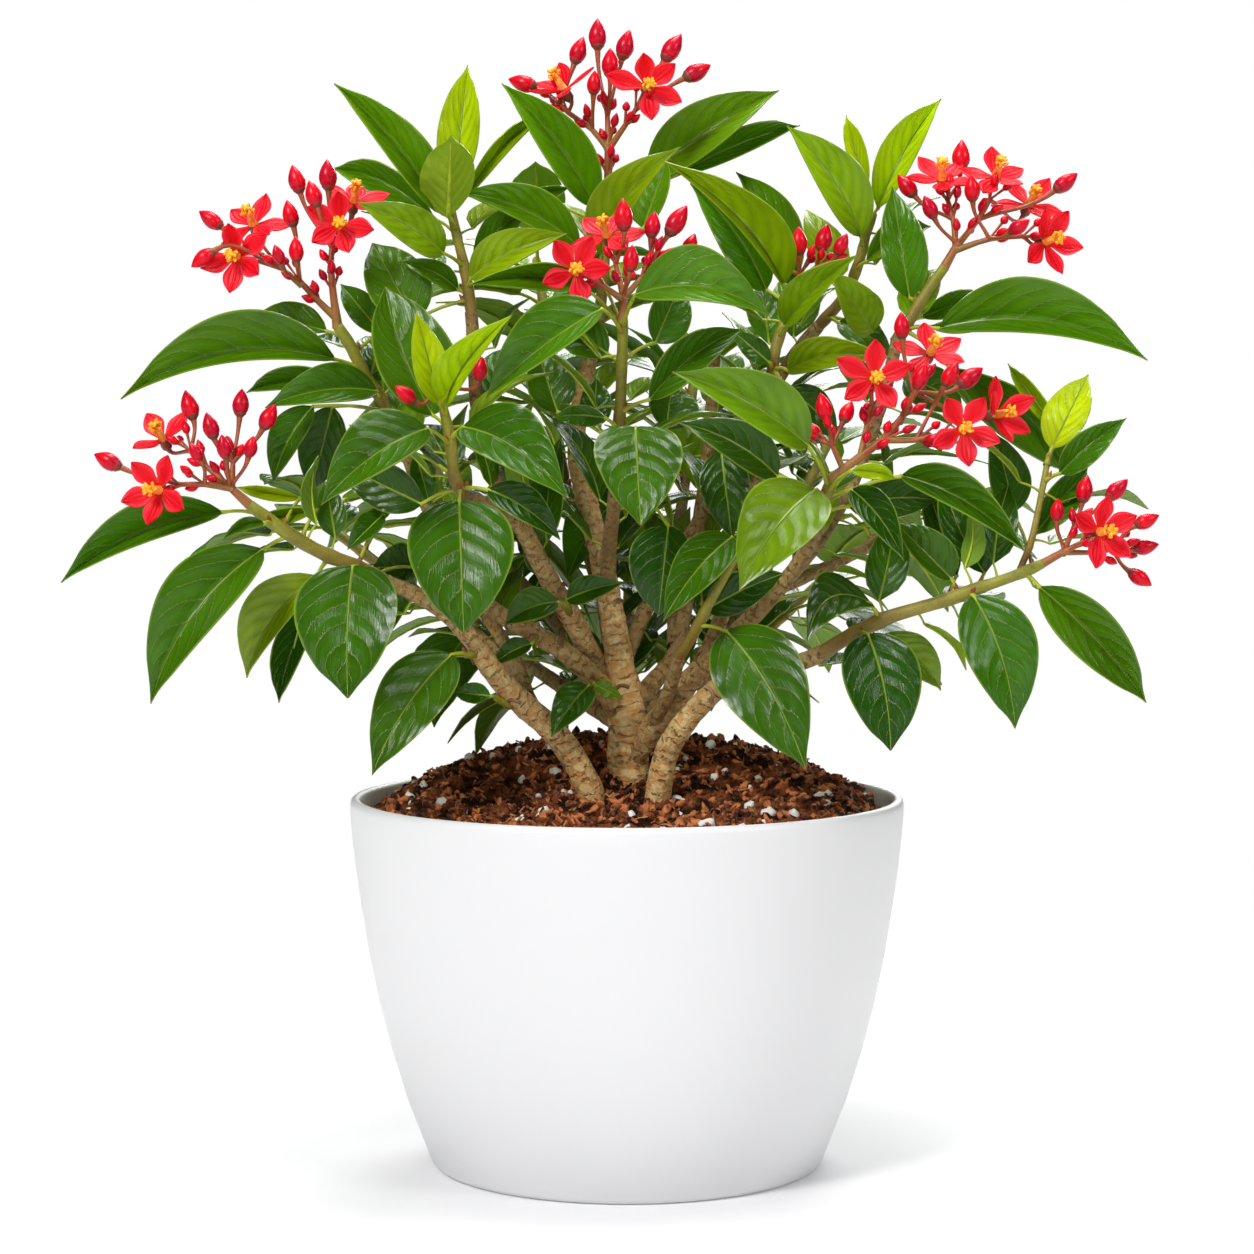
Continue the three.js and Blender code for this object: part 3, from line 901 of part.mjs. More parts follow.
// The soil's mound: a little proud of its edge, and heaped up behind the trunk.
function soilHeight(x, y) {
  const out = Math.min(Math.hypot(x, y) / 95, 1);
  const heap = 22 * Math.exp(-((x - 4) ** 2) / 12000 - ((y - 40) ** 2) / 2600) * (1 - out ** 8);
  const lumps = 0.9 * Math.sin(x * 0.21 + 1.3) * Math.sin(y * 0.24 + 0.4) + 0.6 * Math.sin(x * 0.43 + y * 0.37);
  return SOIL_EDGE + 3.5 * (1 - out ** 2) + heap + lumps * (1 - out ** 6);
}

const circle = (radius, height) => Array.from({ length: POT_SIDES }, (_, k) => {
  const turn = (2 * Math.PI * k) / POT_SIDES;
  return vec(radius * Math.cos(turn), radius * Math.sin(turn), height);
});

function potSolid() {
  const rings = [...POT_OUTSIDE, ...POT_INSIDE].map(([r, z]) => circle(r, z));
  return skin([[vec(0, 0, 0)], ...rings, [vec(0, 0, FLOOR)]]);
}

function soilSolid() {
  const sides = [...POT_INSIDE].reverse().map(([r, z],
    i) => circle(r - SEAT_GAP - 0.1, i ? z : z + SEAT_GAP));
  const top = [95.5, 76, 52, 26].map((r) => circle(r, 0).map((p) => vec(p.x, p.y, soilHeight(p.x, p.y))));
  return skin([[vec(0, 0, FLOOR + SEAT_GAP)], ...sides, ...top, [vec(0, 0, soilHeight(0, 0))]]);
}

// The wood of each stand, with the paths of its branches by name.
const woodPaths = {};
for (const [name, rows] of Object.entries(WOOD)) {
  woodPaths[name] = path(rows.map(seen), rows.map((row) => row[3]), WOOD_STEP);
}
for (const [name, far] of Object.entries(FAR_SHOOTS)) {
  const base = vec(...far.base);
  const rows = [vec(...far.root), vec(...far.bend), base];
  woodPaths[name] = path(rows, [far.root[3], lerp(far.root[3], 2.3, 0.6), 2.3], WOOD_STEP);
}

const woodSides = (name) => (name === 'trunk' ? 8 : name === 'low_left' ? 7 : name in FAR_SHOOTS ? 4 : 5);

const solids = {};
const join = (list) => list.reduce((whole, next) => whole.add(next));

for (const [stand, names] of Object.entries(STANDS)) {
  solids[stand] = join(names.map((name) => tube(woodPaths[name], woodSides(name))));
  for (const name of names) occupyPath(woodPaths[name], stand);
}

// The end of a path and the way it faces there.
function endOf({ points }) {
  const last = points[points.length - 1];
  return { at: last, along: unit(last.clone().sub(points[points.length - 2])) };
}

// Where a side shoot leaves the surface of its host, on the side that faces `toward`.
function surfaceOf(host, root, toward) {
  let best = null;
  host.points.forEach((p, i) => {
    const next = host.points[Math.min(i + 1, host.points.length - 1)];
    for (const t of [0, 0.25, 0.5, 0.75]) {
      const q = p.clone().lerp(next, t);
      const far = q.distanceTo(root);
      if (best === null || far < best.far) {
        const before = host.points[Math.max(i - 1, 0)];
        const radius = lerp(host.radii[i], host.radii[Math.min(i + 1, host.radii.length - 1)], t);
        best = { far, q, along: unit(next.clone().sub(before)), radius: radius * HOST_FACET };
      }
    }
  });
  const out = toward.clone().sub(best.q);
  const normal = unit(out.sub(best.along.clone().multiplyScalar(out.dot(best.along))));
  return { at: best.q.clone().add(normal.clone().multiplyScalar(best.radius)), along: normal };
}

// The points of a shoot's axis that may carry a leaf: those clear of both its ends.
function rootsOf(points) {
  const clear = points.filter((p) => (
    p.distanceTo(points[0]) > END_CLEAR && p.distanceTo(points[points.length - 1]) > END_CLEAR));
  return clear.length ? clear : [points[0].clone().lerp(points[points.length - 1], 0.5)];
}

// Every shoot: its path, beginning just clear of what carries it.
const shootPaths = {};
const shootLeads = {};
function raise(name, points, radii, step, from) {
  points[0] = from.at.clone().add(from.along.clone().multiplyScalar(SEAT_GAP));
  shootPaths[name] = path(points, radii, step);
  shootPaths[name].roots = rootsOf(path(points, radii, ROOT_STEP).points);
  shootLeads[name] = from.along;
}
for (const [name, { on, after, route }] of Object.entries(SHOOTS)) {
  const points = route.map(seen);
  const host = on ? shootPaths[on] && name === 'far_right' ? shootPaths[on] : woodPaths[on] : null;
  const from = host ? surfaceOf(host, points[0], points[1]) : endOf(woodPaths[after ?? name]);
  raise(name, points, route.map((row) => row[3]), SHOOT_STEP, from);
}
for (const [name, far] of Object.entries(FAR_SHOOTS)) {
  const from = endOf(woodPaths[name]);
  const base = vec(...far.base);
  const tip = vec(...far.tip);
  const middle = base.clone().lerp(tip, 0.5).add(from.along.clone().multiplyScalar(3));
  raise(name, [base, middle, tip], [2.3, 2.1, 1.8], SHOOT_STEP, from);
}
for (const [name, route] of Object.entries(shootPaths)) occupyPath(route, name);

// The point at `reach` from `at` that shows at (across, high): `side` is +1 toward the viewer, -1 away.
function reached(at, [across, high], near, reach, side) {
  const flat = seen([across, high, near]);
  const shown = flat.distanceTo(at);
  return flat.add(vec(0, -side * Math.sqrt(Math.max(0, reach ** 2 - shown ** 2)), 0));
}

// A head's stalks, flowers and buds, from its row of HEADS.
function headParts(head) {
  const stalks = head.stalks.map((rows, i) => ({ points: rows.map(seen), radii: rows.map((row) => row[3]),
    first: i === 0 }));
  const joints = stalks.flatMap((stalk) => stalk.points.slice(1));
  const bend = (p, way, q) => p.distanceTo(q) * (1 + STRAIGHTNESS) - p.clone().sub(q).dot(way);
  const sprung = (p, way) => joints.reduce((best, q) => (bend(p, way, q) < bend(p, way, best) ? q : best));
  const flowers = head.flowers.map(({ at, column, petals }) => {
    const centre = seen(at);
    const axis = unit(reached(centre, column, at[2], COLUMN_LENGTH, 1).sub(centre));
    const tips = petals.map(([across, high, side]) => reached(centre, [across, high], at[2],
      PETAL_LENGTH, side));
    return { ...openPetals(centre, axis, tips), foot: sprung(centre, axis) };
  });
  const buds = head.buds.map((row) => {
    const [base, tip] = row.map(seen);
    return { base, tip, foot: sprung(base, unit(tip.clone().sub(base))) };
  });
  return { stalks, flowers, buds };
}

// A head on a far shoot, by rule: two flowers and three buds on a dome.
function farHead(tip, along, turn) {
  const top = tip.clone().add(along.clone().multiplyScalar(18)).add(vec(0, 0, 6));
  const around = (angle, out, high) => top.clone().add(vec(out * Math.cos(angle), out * Math.sin(angle),
    high));
  const stalks = [{ points: [tip.clone(), tip.clone().lerp(top, 0.5).add(vec(0, 0, 1)), top],
    radii: [1.8, 1.6, 1.4], first: true }];
  const flowers = [0, 1].map((k) => {
    const angle = turn + k * 2.6;
    const centre = around(angle, 11, 9);
    const axis = unit(vec(Math.cos(angle), Math.sin(angle), 0.8));
    const side = unit(vec(-Math.sin(angle), Math.cos(angle), 0));
    const other = axis.clone().cross(side);
    const petals = [0, 1, 2, 3, 4].map((i) => {
      const round = turn + i * 1.2566;
      return centre.clone()
        .add(side.clone().multiplyScalar(12 * Math.cos(round)))
        .add(other.clone().multiplyScalar(12 * Math.sin(round)))
        .add(axis.clone().multiplyScalar(5));
    });
    return { ...openPetals(centre, axis, petals), foot: top };
  });
  const buds = [0, 1, 2].map((k) => {
    const angle = turn + 4 + k * 1.4;
    const out = k === 0 ? 0.5 : 7;
    const base = around(angle, out, 14);
    return { base, tip: around(angle, out * 1.9, 25), foot: top };
  });
  return { stalks, flowers, buds };
}

// Puts a head's first end just clear of its shoot and makes its solid.
function growHead(name, parts, from) {
  parts.stalks[0].points[0] = from.at.clone().add(from.along.clone().multiplyScalar(SEAT_GAP));
  const pieces = [];
  for (const stalk of parts.stalks) {
    const route = path(stalk.points, stalk.radii, STALK_STEP);
    pieces.push(tube(route, stalk.first ? 4 : 3, stalk.first ? from.along : null));
    occupyPath(route, name);
  }
  for (const bloom of parts.flowers) {
    const { centre, axis, petals, foot } = bloom;
    const pedicel = {
      points: [foot.clone(), centre.clone().add(axis.clone().multiplyScalar(-CALYX_LENGTH * 0.45))],
      radii: [PEDICEL_RADIUS, PEDICEL_RADIUS],
    };
    pieces.push(tube(pedicel, 3), flowerSolid(bloom));
    occupyPath(pedicel, name);
    for (const { reach } of petals) {
      for (const v of [0.35, 0.6, 0.85]) occupy(centre.clone().addScaledVector(reach, v),
        PETAL_HALF * 0.75, name);
    }
    occupy(centre.clone().add(axis.clone().multiplyScalar(5)), 2, name);
  }
  for (const { base, tip, foot } of parts.buds) {
    pieces.push(budSolid(foot, base, tip));
    occupyPath({ points: [foot, base], radii: [PEDICEL_RADIUS, PEDICEL_RADIUS] }, name);
    for (const v of [0.15, 0.5, 0.85]) occupy(base.clone().lerp(tip, v), v === 0.85 ? 1.8 : 2.8, name);
  }
  solids[name] = join(pieces);
}

for (const [name, head] of Object.entries(HEADS)) growHead(name, headParts(head),
  endOf(shootPaths[head.on]));
for (const [name, far] of Object.entries(FAR_SHOOTS)) {
  if (!far.head) continue;
  const end = endOf(shootPaths[name]);
  growHead(`${name}_head`, farHead(end.at.clone(), end.along, far.turn), end);
}

// Every leaf that stands, by shoot, each with its form and its stalk.
const standing = {};
for (const [name, rows] of Object.entries(LEAVES)) {
  standing[name] = [];
  rows.forEach((row) => {
    let best = null;
    for (const shift of SHIFTS) {
      const form = tracedForm(row, shift);
      const stalk = stalkOf(form, shootPaths[name]);
      const crowd = crowding(form, stalk, shootPaths[name], name);
      if (best === null || crowd < best.crowd) best = { crowd, form, stalk };
      if (crowd <= 0) break;
    }
    standing[name].push(best);
    occupyLeaf(best.form, best.stalk, name);
  });
}

// The leaves of the far shoots: each stands out from its shoot, its blade drooping, its upper face up.
function farLeaf(name, far, i, variant) {
  const axis = shootPaths[name];
  const t = 0.1 + (0.86 * i) / (FAR_LEAVES - 1);
  const spot = axis.points[Math.round(t * (axis.points.length - 1))];
  const turn = far.turn + i * 2.4 + variant[0];
  const out = vec(Math.cos(turn), Math.sin(turn), 0);
  const length = (60 - 14 * t + 7 * Math.sin(i * 3.7 + far.turn * 5)) * variant[2];
  const reach = 16 - 7 * t;
  const foot = spot.clone().add(out.clone().multiplyScalar(reach)).add(vec(0, 0, reach * (0.25 + 0.6 * t)));
  const lean = -0.75 + 1.1 * t + variant[1];
  const chord = out.clone().multiplyScalar(Math.cos(lean)).add(vec(0, 0, Math.sin(lean)));
  const half = length * 0.26;
  const face = vec(0, 0, 1).add(out.clone().multiplyScalar(-0.35));
  const form = bladeForm(foot, foot.clone().add(chord.multiplyScalar(length)), face, [[half, 0.1],
    [half, 0.1]],
    2 * Math.sin(i * 2.1 + far.turn), 0.1 * length, EDGE_WAVE, SPREAD);
  return form;
}

const VARIANTS = [];
for (const size of [1, 0.82, 0.66]) {
  for (const swing of [0, 0.35, -0.35, 0.7, -0.7]) {
    for (const lift of [0, 0.35, -0.35, 0.7]) VARIANTS.push([swing, lift, size]);
  }
}
for (const [name, far] of Object.entries(FAR_SHOOTS)) {
  standing[name] = [];
  for (let i = 0; i < FAR_LEAVES; i++) {
    for (const variant of VARIANTS) {
      const form = farLeaf(name, far, i, variant);
      const stalk = stalkOf(form, shootPaths[name]);
      if (crowding(form, stalk, shootPaths[name], name) > 0) continue;
      standing[name].push({ form, stalk });
      occupyLeaf(form, stalk, name);
      break;
    }
  }
}

const LEAF_STATIONS = [0.15, 0.42, 0.74];
const SMALL_STATIONS = [0.24, 0.64];
for (const [name, leaves] of Object.entries(standing)) {
  const far = name in FAR_SHOOTS;
  const pieces = leaves.map(({ form, stalk }) => (
    leafSolid(form, stalk, form.length < SMALL_LEAF || far ? SMALL_STATIONS : LEAF_STATIONS, far)));
  const sides = far || name.endsWith('_spur') ? 4 : SHOOT_SIDES;
  solids[`${name}_shoot`] = join([tube(shootPaths[name], sides, shootLeads[name]), ...pieces]);
}

solids.pot = potSolid();
const holes = ['trunk', 'low_left', 'low_right'].map((name) => {
  const { points, radii } = woodPaths[name];
  const below = points[0].clone().lerp(points[1], -SEAT_GAP / points[0].distanceTo(points[1]));
  return tube({ points: [below, ...points.slice(1)], radii: radii.map((r) => r + SEAT_GAP + 0.1) },
    woodSides(name));
});
solids.soil = holes.reduce((soil, hole) => soil.subtract(hole), soilSolid());

const MATERIALS = {
  pot: { color: 0xf2f2ef, roughness: 0.4 },
  soil: { color: 0x4a2f22, roughness: 0.95 },
  wood: { color: 0x94734e, roughness: 0.85 },
  leafy: { color: 0x3f6a26, roughness: 0.4 },
  bloom: { color: 0xd52a3c, roughness: 0.5 },
};

function slotOf(name) {
  if (name === 'pot' || name === 'soil') return name;
  if (name.endsWith('_wood')) return 'wood';
  return name.endsWith('_head') ? 'bloom' : 'leafy';
}

// The mesh of a solid, with points that all but meet made one and flattened triangles left out.
function meshOf(name, solid) {
  const { vertProperties, triVerts } = solid.getMesh();
  let geometry = new THREE.BufferGeometry();
  geometry.setAttribute('position', new THREE.BufferAttribute(new Float32Array(vertProperties), 3));
  geometry.setIndex(Array.from(triVerts));
  geometry = mergeVertices(geometry, MERGE_DISTANCE);
  const index = Array.from(geometry.index.array);
  const kept = [];
  for (let i = 0; i < index.length; i += 3) {
    const [a, b, c] = index.slice(i, i + 3);
    if (a !== b && b !== c && c !== a) kept.push(a, b, c);
  }
  geometry.setIndex(kept);
  geometry.computeVertexNormals();
  const mesh = new THREE.Mesh(geometry, new THREE.MeshStandardMaterial(MATERIALS[slotOf(name)]));
  mesh.name = name;
  return mesh;
}

const plant = new THREE.Group();
plant.name = 'potted_jatropha';
for (const [name, solid] of Object.entries(solids)) plant.add(meshOf(name, solid));

export default plant;
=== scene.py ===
"""The looks of a jatropha in bloom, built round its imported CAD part.

The plant is traced: every branch, leaf, flower and bud stands in a row below by where it shows from the
front. The same rules as the CAD's turn the rows into places, so each fine piece keeps the form of the
CAD node that it stands for. Sizes are in millimetres up to the moment that a mesh is made, in metres.
"""
from __future__ import annotations

import logging
import math
from dataclasses import dataclass, field
from enum import Enum

import bpy
import numpy as np
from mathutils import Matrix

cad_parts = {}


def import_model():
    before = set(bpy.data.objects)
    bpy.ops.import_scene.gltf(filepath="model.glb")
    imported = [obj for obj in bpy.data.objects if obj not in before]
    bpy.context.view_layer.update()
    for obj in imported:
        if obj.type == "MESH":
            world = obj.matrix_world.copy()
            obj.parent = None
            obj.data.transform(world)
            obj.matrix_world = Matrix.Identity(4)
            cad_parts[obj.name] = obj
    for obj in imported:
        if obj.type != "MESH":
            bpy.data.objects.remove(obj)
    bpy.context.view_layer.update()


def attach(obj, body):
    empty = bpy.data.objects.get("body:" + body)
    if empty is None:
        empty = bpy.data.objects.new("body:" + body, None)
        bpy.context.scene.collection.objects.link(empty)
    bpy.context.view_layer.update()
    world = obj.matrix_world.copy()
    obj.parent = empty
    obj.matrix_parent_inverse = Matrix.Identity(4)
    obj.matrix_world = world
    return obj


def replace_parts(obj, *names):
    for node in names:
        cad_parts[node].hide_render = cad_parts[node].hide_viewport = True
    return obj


LOG = logging.getLogger("jatropha")
Array = np.ndarray
Number = float | np.ndarray
Pair = tuple[float, float]
Point = tuple[float, ...]
Colour = tuple[float, float, float]
Route = tuple[Point, ...]
Lead = tuple[np.ndarray, np.ndarray]
Aimed = tuple[np.ndarray, np.ndarray, np.ndarray]
Socket = bpy.types.NodeSocket
Wire = float | Point | Socket


class Tone(Enum):
    """The kinds of leaf by age and painted light: how young each is, and how much painted sunlight or
    painted shade its colour carries.
    """

    GROWN = (0.0, 0.5)
    # A grown leaf whose colour carries painted shade.
    DARK = (0.0, 0.1)
    # A leaf a little young, whose colour carries full painted sunlight.
    FRESH_LIT = (0.15, 1.0)
    OLIVE = (0.35, 0.5)
    YOUNG = (1.0, 0.8)


@dataclass(frozen=True)
class Leaf:
    """A leaf by what shows of it: foot, tip, how near each stands, and how far each half reaches."""

    foot: Point
    tip: Point
    near: Point
    left: float
    right: float
    bow: float = 0.0
    tone: Tone = Tone.GROWN
    under: bool = False


@dataclass(frozen=True)
class Flower:
    """An open flower: its centre, the tip of its stamens, and its petals' tips as (x, z, side)."""

    at: Point
    column: Point
    petals: tuple[Point, ...]


@dataclass(frozen=True)
class Head:
    """A head of flowers: the shoot it stands on, its stalks, flowers and buds."""

    on: str
    stalks: tuple[Route, ...]
    flowers: tuple[Flower, ...]
    buds: tuple[tuple[Point, Point], ...]


@dataclass(frozen=True)
class Shoot:
    """A green shoot: its route, and the branch it stands `on` or comes `after`, if not its namesake."""

    route: Route
    on: str | None = None
    after: str | None = None


@dataclass(frozen=True)
class FarShoot:
    """A shoot on the far side, with its branch, in real coordinates."""

    root: Point
    bend: Point
    base: Point
    tip: Point
    turn: float
    head: bool = False


MILLIMETRE = 0.001
GOLDEN_TURN = 2.4
UP = np.array([0.0, 0.0, 1.0])

# Where the photograph was taken from.
VIEW_DISTANCE = 1135.0
VIEW_HEIGHT = 260.0
EYE = np.array([0.0, -VIEW_DISTANCE, VIEW_HEIGHT])

# The pot and its soil, and how near them a leaf may come.
RIM_RADIUS = 100.0
POT_HEIGHT = 133.5
SEAT_GAP = 0.3
SOIL_CLEAR = 4.0
LIP_CLEAR = 3.0
SEARCH = 13.0
SOIL_EDGE = 127.0
SOIL_REACH = 95.0
DOME_HEIGHT = 3.5
HEAP_HEIGHT = 22.0

# The forms of leaves and flowers.
LEAF_THICK = 1.5
HALF_PER_LENGTH = 0.24
LEAST_FOLD = 0.15
STEEPEST_FOLD = 1.1
EDGE_WAVE = 0.7
ARCH = 0.07
BROAD = 0.62
SPREAD = (0.62, 1.05)
BROAD_SPREAD = (0.5, 0.85)
PETIOLE_RADIUS = 0.85
PETAL_LENGTH = 13.5
PETAL_HALF = 3.7
PETAL_APART = 1.08
COLUMN_LENGTH = 8.5
CALYX_LENGTH = 4.5
PEDICEL_RADIUS = 0.85
STRAIGHTNESS = 0.3
HOST_FACET = 0.95

# How finely stems are cut, and what room pieces leave each other.
WOOD_STEP = 22.0
SHOOT_STEP = 14.0
STALK_STEP = 16.0
ROOT_STEP = 2.0
END_CLEAR = 2.4
ROOT_FREE = 3.2
SAMPLE_STEP = 3.0
BLADE_GAP = 3.4
SIBLING_GAP = 1.4
STALK_GAP = 2.6

# The far side, and the small leaves, which stay out of the bare zone above the pot's front.
FAR_LEAVES = 7
FAR_RADII = (2.3, 2.1, 1.8)
SPRAY_STEP = 14.0
SPRAY_FROM = 172.0
SPRAY_LENGTH = 30.0
BARE_HALF = 82.0
BARE_FRONT = 14.0
BARE_TOP = 236.0
BEHIND = 3.0
ROOM = 90000

WOOD: dict[str, Route] = {
    "trunk": (
        (0, 100, 0, 6.5), (0, 122, 0, 8.3), (0, 140, 0, 8.6), (0.5, 152, 0, 7.8), (0, 165, 0, 7.4),
        (-2.5, 180, 0, 5.6), (-5.5, 200, -1, 4.7), (-9.5, 220, -3, 4.4), (-14.5, 240, -5, 4.1),
        (-18, 256, -7, 3.6), (-17, 275, -8, 3.2), (-13, 292, -8, 2.8), (-10, 306, -8, 2.5),
    ),
    "low_left": (
        (-9, 104, 16, 3.8), (-11, 124, 20, 5.0), (-14.5, 138, 22, 5.1), (-25, 155, 24, 4.9),
        (-38, 167, 28, 4.6), (-48, 178, 32, 4.2), (-56, 190, 35, 3.7), (-66, 200, 38, 3.2),
        (-76, 206, 40, 2.9), (-87, 211, 42, 2.7),
    ),
    "left": (
        (0.5, 158, -1, 3.8), (-9, 172.5, 6, 4.2), (-20.6, 184, 10, 3.9), (-33, 192, 12, 3.6),
        (-44, 198, 14, 3.3), (-52, 204, 16, 3.0), (-62, 218, 18, 2.8), (-72, 238, 20, 2.6),
        (-79, 256, 22, 2.5), (-84, 268, 24, 2.4),
    ),
    "front_left": (
        (-1.5, 157, -3, 3.8), (-10, 178, -1, 4.2), (-15, 188, 4, 4.2), (-21, 200, 10, 4.1),
        (-26, 208, 15, 3.9), (-32, 219, 24, 3.6), (-39, 232, 35, 3.2), (-48, 238, 46, 2.8),
        (-58, 241, 54, 2.5),
    ),
    "top_left": (
        (-35, 225, 29, 3.0), (-43, 239, 28, 2.9), (-50, 254, 26, 2.8), (-54, 274, 23, 2.6),
        (-55, 293, 21, 2.5), (-56, 308, 20, 2.4),
    ),
    "back_left": (
        (-22, 150, 22, 3.4), (-30, 159, 18, 3.2), (-35.5, 168, 13, 3.0), (-40, 181, 6, 2.8),
        (-47, 193, -2, 2.6), (-57, 208, -10, 2.4), (-70, 224, -18, 2.2),
    ),
    "centre": (
        (-7, 208, -2, 3.2), (-6.5, 222, 8, 2.9), (-5, 236, 26, 2.6), (-4, 248, 38, 2.4),
    ),
    "top_right": (
        (-2, 180, -3, 3.3), (4, 195, -8, 3.1), (9, 205, -13, 3.0), (22, 226, -18, 2.8), (38, 256, -20, 2.7),
        (52, 280, -19, 2.6), (62, 295, -17, 2.5), (69, 303, -16, 2.5),
    ),
    "back_centre": (
        (1, 163, 0, 4.0), (9, 174, 0, 3.6), (17, 184, -2, 3.2), (21, 201, -10, 2.9), (25, 226, -18, 2.7),
        (29, 256, -24, 2.5), (31, 284, -26, 2.3), (32, 300, -27, 2.2),
    ),
    "right_centre": (
        (0.5, 143, 1, 4.2), (10, 159, 11, 4.4), (19, 170, 17, 4.2), (28, 181, 22, 3.9), (38, 191, 28, 3.6),
        (48, 201, 33, 3.2), (57, 211, 39, 2.9), (64, 221, 46, 2.7), (69, 231, 53, 2.5),
    ),
    "upper_right": (
        (56, 210, 38, 2.7), (68, 224, 34, 2.6), (80, 244, 26, 2.5), (88, 264, 18, 2.4), (94, 284, 12, 2.4),
        (97, 298, 10, 2.3),
    ),
    "mid_right": (
        (27, 180, 21, 3.2), (35, 201, 20, 2.9), (42, 226, 17, 2.6), (48, 252, 14, 2.5), (51, 272, 11, 2.4),
        (52, 283, 10, 2.4),
    ),
    "low_right": (
        (7, 104, 18, 4.0), (10, 124, 22, 4.8), (12, 139, 25, 4.9), (15.2, 151, 28, 4.6),
        (23.5, 163, 32, 4.2), (34, 173, 36, 3.9), (46, 178, 42, 3.5), (58, 180.5, 46, 3.3),
        (66, 183, 48, 3.2), (71, 185.5, 50, 3.0),
    ),
    "low_centre": (
        (8, 156, 9, 2.8), (15, 171, 24, 2.7), (19, 184, 36, 2.3),
    ),
}

SHOOTS: dict[str, Shoot] = {
    "low_left": Shoot((
        (-87.5, 211.2, 42, 2.6), (-99, 217, 44, 2.7), (-107, 220, 45, 2.7), (-116, 224.5, 47, 2.6),
        (-126, 231, 50, 2.4), (-136, 238.5, 52, 2.2),
    )),
    "left": Shoot((
        (-84.5, 269, 24, 2.3), (-88.5, 277, 24, 2.3), (-94, 285, 25, 2.2), (-99, 295, 26, 2.2),
        (-104, 303, 27, 2.1),
    )),
    "front_left": Shoot((
        (-59, 242, 55, 2.3), (-62, 248, 57, 2.3), (-63, 256, 58, 2.2), (-64.4, 266, 59, 2.0),
        (-66.5, 275, 60, 1.6),
    )),
    "top_left": Shoot((
        (-56.2, 310, 20, 2.2), (-58, 322, 20, 2.0), (-61, 335, 20, 1.8), (-64, 348, 20, 1.5),
    )),
    "centre": Shoot((
        (-3.8, 250.5, 39.5, 2.3), (-3.5, 262, 42, 2.3), (-2.4, 274, 44, 2.2), (-1.8, 292, 46, 2.0),
        (-1.5, 306, 48, 1.9),
    )),
    "top": Shoot((
        (-9.8, 307.5, -8, 2.4), (-8.5, 320, -8, 2.2), (-7.6, 334, -8, 2.0), (-7.2, 343, -8, 2.0),
    ), after="trunk"),
    "right_centre": Shoot((
        (69.8, 233, 54, 2.4), (71.5, 241, 58, 2.3), (74, 248, 60, 2.1),
    )),
    "low_right": Shoot((
        (72.3, 186.2, 50.4, 2.9), (80, 191, 52, 2.8), (93, 197.5, 54, 2.7), (104, 201, 56, 2.5),
        (116, 204.5, 59, 2.4), (125, 208, 60, 2.3), (134, 211, 61, 2.1), (143, 214.3, 62, 2.0),
        (150, 217.5, 63, 1.8),
    )),
    "far_right": Shoot((
        (143.5, 214.5, 62, 1.3), (146, 226, 57, 1.3), (149.5, 243, 50, 1.2), (152, 257, 45, 1.0),
    ), on="low_right"),
    "low_centre": Shoot((
        (19.4, 185.5, 37, 2.2), (24, 192, 44, 2.1), (28, 200, 50, 1.9), (36, 214, 54, 1.6),
        (42, 226, 55, 1.3),
    )),
    "upper_right": Shoot((
        (97.5, 300, 10, 2.3), (101, 304, 10, 2.3), (107, 314, 10, 2.2), (114, 324, 10, 2.0),
    )),
    "top_right": Shoot((
        (70, 304.2, -15.8, 2.4), (78, 313.5, -13, 2.3), (83, 325, -10, 2.1), (86, 336, -10, 1.8),
        (88.5, 343, -10, 1.5),
    )),
    "mid_right": Shoot((
        (52.3, 285, 10, 2.3), (53.5, 295, 10, 2.2), (56.5, 304, 9, 2.0), (59, 313, 8, 1.7),
    )),
    "fork_spur": Shoot((
        (-22.5, 202.5, 12, 1.5), (-22.8, 204, 21, 1.3),
    ), on="front_left"),
    "elbow_spur": Shoot((
        (-12.5, 176, 9, 1.5), (-13, 174.5, 18, 1.3),
    ), on="left"),
    "bend_spur": Shoot((
        (-33, 192, 12, 1.4), (-34, 189.8, 20, 1.2),
    ), on="left"),
    "pot_spur": Shoot((
        (-54, 187.5, 34.5, 1.5), (-58.5, 184.5, 40, 1.3),
    ), on="low_left"),
    "knob_spur": Shoot((
        (-41, 170, 29.5, 1.4), (-47.5, 169, 33, 1.3),
    ), on="low_left"),
}
